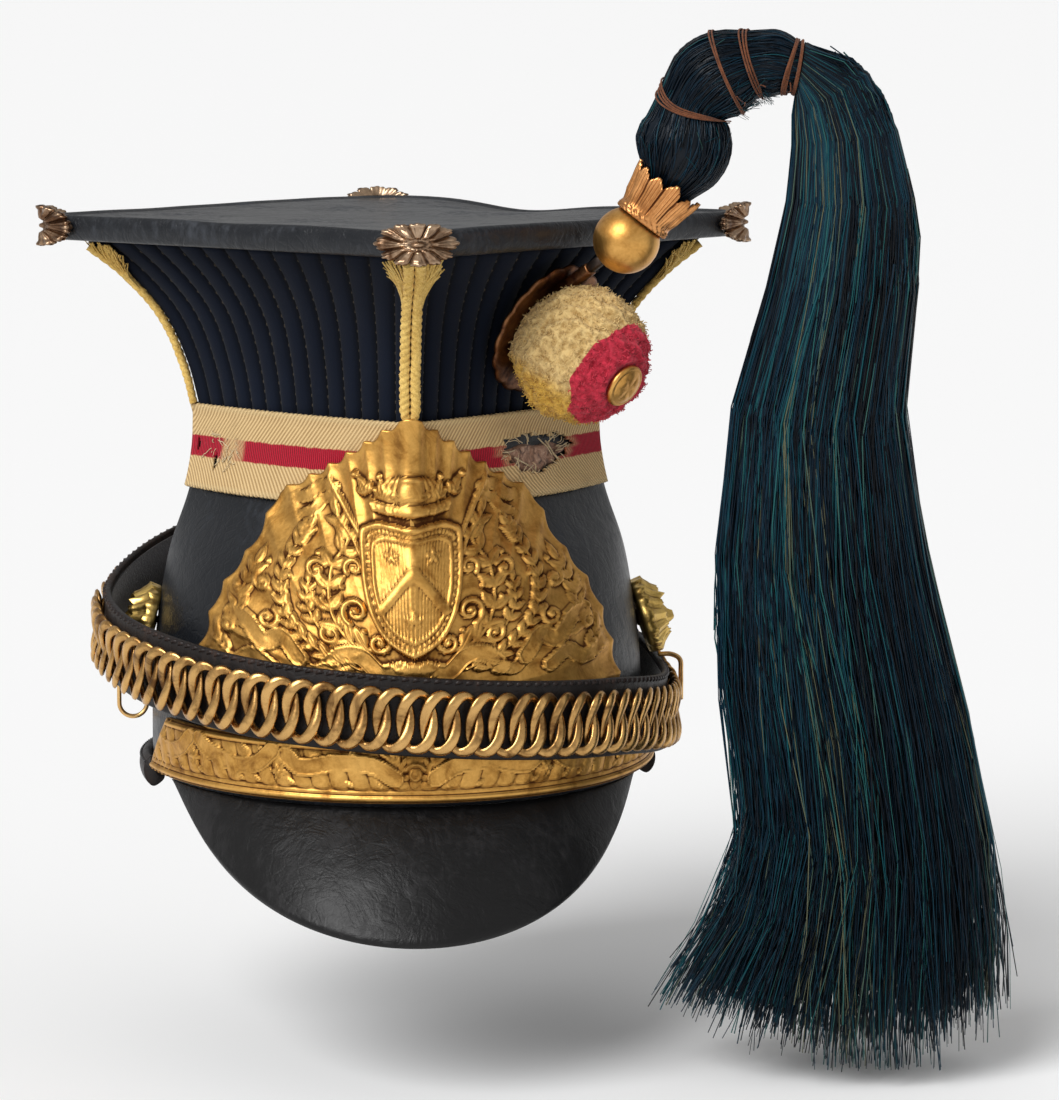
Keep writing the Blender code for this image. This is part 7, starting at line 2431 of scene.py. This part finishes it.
            strands.add(self._around(np.clip(steps, 0, HEAD_LAST), angle, lift), 0.00009,
                        self.draw.uniform(0.2, 0.95))
        repeater.settle_strands("plume_head_hair", strands, 3, finishes.hair, "plume_hair")

    def _bindings(self, finishes: Finishes, repeater: Repeater) -> None:
        """Turns of thread round the head, with loose ends, and the seam where the tail begins."""
        angle = np.linspace(0.0, 2 * math.pi, self.winding_points)
        for number, (station, bulge, slant, turns) in enumerate(WINDINGS, 1):
            strands = Strands()
            for turn in range(turns):
                offset = (turn - 1.5) * 0.085 + bulge * np.cos(angle) + slant * np.sin(angle + turn * 0.15)
                offset = offset + 0.02 * np.sin(3 * angle + turn)
                size = 1.045 + 0.012 * np.sin(2 * angle + turn * 1.7)
                strands.add(self._around(np.clip(station + offset, 0, HEAD_LAST), angle, size), 0.00036)
            for turn in range(self.seam_turns * (number == len(WINDINGS))):
                seam = self.seam_start + self.seam_pitch * turn + 0.05 * np.sin(angle + turn)
                seam = np.minimum(seam, self.seam_end)
                strands.add(self._around(seam, angle, 1.05 + 0.018 * turn), 0.00038)
            for _ in range(2):
                steps = np.linspace(0, 1, 8)
                round_it = 4.2 + self.draw.uniform(-0.5, 0.5) + steps * self.draw.uniform(-0.5, 0.5)
                along = station + steps * self.draw.uniform(-0.5, 0.5)
                strands.add(self._around(along, round_it, 1.06 + 0.12 * steps), 0.00024)
            repeater.settle_strands(f"binding_thread_{number}", strands, 5, finishes.thread,
                                    "binding_thread", f"plume_binding_{number}")

    def _sections(self, falls: np.ndarray) -> tuple[np.ndarray, np.ndarray, np.ndarray, np.ndarray]:
        """Middles, ways, half widths and depths of the tail at falls."""
        near = smooth(0.0, 0.15, falls) * 0.030
        windows = [falls + near * step for step in (-1.0, 0.0, 1.0)]

        def read(last: float) -> np.ndarray:
            """The table's columns round the falls, up to a last fall."""
            return np.mean([read_table(TAIL_STATIONS, np.clip(fall, TAIL_STATIONS[0][0], last))
                            for fall in windows], axis=0)

        swing, _, lean = read(TAIL_STATIONS[-1][0])
        half = read(TAIL_STATIONS[-2][0])[1] * TAIL_HALF_WIDTH
        middle = self.end + self.bearing * (swing * TAIL_SWING)[:, None] - UP * (falls * TAIL_LENGTH)[:, None]
        tilt = lean * math.pi / 2
        ways = unit(self.bearing * np.sin(tilt)[:, None] - UP * np.cos(tilt)[:, None])
        deep = np.maximum(half * TAIL_DEPTH_SHARE, self.end_radius)
        at_head = smooth(0.004, 0.0, falls)
        middle = mix(middle, self.end + self.end_way * TOUCH * 2, at_head[:, None])
        ways = unit(mix(ways, self.end_way, at_head[:, None]))
        return middle, ways, mix(half, self.end_radius, at_head), mix(deep, self.end_radius, at_head)

    def _tail(self, finishes: Finishes, repeater: Repeater) -> None:
        """A core painted near black as shade between the strands, under thousands of strands in two pieces.
        """
        falls = np.concatenate((np.linspace(0.0, 0.05, 14), np.linspace(0.06, 0.93, 70)))
        middle, way, half, deep = self._sections(falls)
        angle = angles(self.tail_columns)
        lock = 1.0 + 0.05 * np.cos(angle * 8)[None, :] * smooth(0.0, 0.2, falls)[:, None]
        lock = lock * (0.78 + 0.08 * smooth(0.08, 0.3, falls) - 0.42 * smooth(0.40, 0.93, falls))[:, None]
        rings = oval(middle[:, None], self.across, np.cross(way, self.across)[:, None], angle,
                     deep[:, None] * lock, half[:, None] * lock)
        # Tone 0.04 paints the core near black: painted shade in the gaps between the strands.
        tone = np.full(rings.shape[:2], 0.04)
        core = Grid(rings, poles=(middle[0], middle[-1]), shades={"tone": tone}).mesh()
        settle("plume_tail_core", core, finishes.hair, "plume_hair", "plume_tail")
        for number in range(1, self.tail_pieces + 1):
            strands = Strands()
            for _ in range(self.tail_strands // self.tail_pieces):
                strands.add(*self._strand())
            repeater.settle_strands(f"plume_tail_hair_{number}", strands, 3, finishes.hair, "plume_hair")

    def _strand(self) -> tuple[np.ndarray, np.ndarray, float]:
        """Points, radii and tone of one hair of the tail."""
        draw = self.draw
        lock = draw.integers(0, self.locks)
        stray = draw.uniform() < 0.03
        steps = np.linspace(0.0, 1.0, self.tail_steps)
        angle = self.lock_ways[lock] + draw.normal(0.0, 0.13)
        if draw.uniform() < 0.32:
            angle = draw.uniform(0.0, 2 * math.pi)
        side = math.sin(angle + self.lock_turns[lock])
        end = 1.030 - 0.070 * smooth(0.25, -1.0, side) - 0.060 * smooth(0.2, 1.0, side)
        end = min(end + self.lock_ends[lock] - abs(draw.normal(0.0, 0.026)), 1.02)
        if draw.uniform() < 0.10:
            end = draw.uniform(0.50, 0.95)
        start = 0.0 if draw.uniform() < 0.85 else draw.uniform(0.0, 0.2)
        eased = steps ** 1.3
        falls = mix(start, end, eased - 0.45 * np.sin(2 * math.pi * eased) / (2 * math.pi))
        middle, way, half, deep = self._sections(falls)
        angle = angle + self.lock_turns[lock] * falls + draw.normal(0.0, 0.16) * (falls - 0.3)
        wave = np.sin(falls * draw.uniform(4.0, 8.0) + draw.uniform(0, 6.28))
        angle = angle + 0.06 * wave * smooth(0, 0.2, falls)
        size = mix(draw.uniform(0.93, 1.02), draw.uniform(0.78, 1.0) ** 0.6, smooth(0.0, 0.25, falls))
        size = size + 0.02 * np.sin(falls * 9.0 + draw.uniform(0, 6.28)) * smooth(0.0, 0.2, falls)
        size = size * mix(1.0, draw.uniform(0.10, 1.0) ** 0.36, smooth(0.50, 1.0, falls))
        if stray:
            size = size + falls * draw.uniform(0.01, 0.10)
            angle = angle + falls * draw.normal(0.0, 0.5)
        line = oval(middle, self.across, np.cross(way, self.across), angle, deep * size, half * size)
        out = np.sin(angle) * size
        held = self.hold_swing + out * self.hold_half - (line - self.end) @ self.bearing
        line = line + self.bearing * (held * smooth(-0.9, 0.5, out) * smooth(0.80, 0.90, falls))[:, None]
        splay = smooth(0.78, 1.03, falls) * (draw.normal(0.0, 0.0040) + 0.001 * side)
        line = line + self.bearing * splay[:, None]
        width = draw.uniform(0.00022, 0.00046) * (1.0 - 0.5 * falls) * (0.7 + 0.3 * smooth(0.0, 0.15, falls))
        tone = self.lock_tones[lock] + draw.normal(0.0, 0.20)
        if draw.uniform() < 0.015:
            tone = draw.uniform(0.85, 1.0)
        return line, width, min(max(tone, 0.0), 1.0)


@dataclass
class Studio:
    """Camera, floor and soft lights."""

    focal_pixels: float = 4545.0
    frame_height: float = 1100.0
    eye: tuple[float, float, float] = (-0.0926, -1.598, 0.281)
    look: tuple[float, float, float] = (0.0864, 0.988, -0.128)
    world: float = 0.46
    floor_reach: float = 90.0
    sensor: float = 36.0
    sight: float = 400.0

    def build(self, floor_height: float) -> None:
        """Set the camera, the floor at its height, the world and the lights."""
        lens = bpy.data.cameras.new("camera")
        lens.lens = self.focal_pixels * self.sensor / self.frame_height
        lens.clip_end = self.sight
        camera = bpy.data.objects.new("camera", lens)
        camera.location = self.eye
        camera.rotation_euler = Vector(self.look).normalized().to_track_quat("-Z", "Y").to_euler()
        bpy.context.scene.collection.objects.link(camera)
        bpy.context.scene.camera = camera
        self._floor(floor_height)
        world = bpy.data.worlds.new("studio")
        world.use_nodes = True
        background = world.node_tree.nodes["Background"]
        background.inputs["Color"].default_value = (1.0, 1.0, 1.0, 1.0)
        background.inputs["Strength"].default_value = self.world
        bpy.context.scene.world = world
        bpy.context.scene.view_settings.view_transform = "Standard"
        for name, place, power, spread in (("key", (-0.62, -0.72, 0.78), 2.75, 36.0),
                                           ("fill", (0.9, -0.8, 0.45), 0.15, 60.0)):
            light = bpy.data.lights.new(name, "SUN")
            light.energy = power
            light.angle = math.radians(spread)
            lamp = bpy.data.objects.new(name, light)
            lamp.rotation_euler = (-Vector(place)).to_track_quat("-Z", "Y").to_euler()
            bpy.context.scene.collection.objects.link(lamp)

    def _floor(self, height: float) -> None:
        """A wide pale floor."""
        reach = self.floor_reach
        points = np.array(((-reach, -reach, height), (reach, -reach, height), (reach, reach, height),
                           (-reach, reach, height)))
        floor = place_piece("floor", make_mesh(points, [[0, 1, 2, 3]]))
        bench = Bench("floor")
        floor.data.materials.append(bench.dress(Base_Color=(0.93, 0.93, 0.93), Roughness=0.9))
        floor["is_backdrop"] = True


def plain_box(bounds: Sequence) -> list[list[float]]:
    """A box as plain lists."""
    return [[float(value) for value in corner] for corner in bounds]


def main() -> None:
    """Build every sub-assembly, then the studio."""
    logging.basicConfig(level=logging.INFO, format="%(name)s: %(message)s")
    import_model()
    cad_box = plain_box(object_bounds())
    finishes = Finishes()
    repeater = Repeater()
    SkullShell().build(finishes, repeater)
    QuiltedUpper().build(finishes, repeater)
    BoardTop().build(finishes)
    for side in Side:
        CornerTrim(side).build(finishes, repeater)
    WaistLace().build(finishes, repeater)
    FrontPlate().build(finishes)
    ChinLoop().build(finishes, repeater)
    SideBosses().build(finishes)
    Pompom().build(finishes, repeater)
    Plume().build(finishes, repeater)
    Studio().build(cad_box[0][2] - 0.004)


if __name__ == "__main__":
    main()
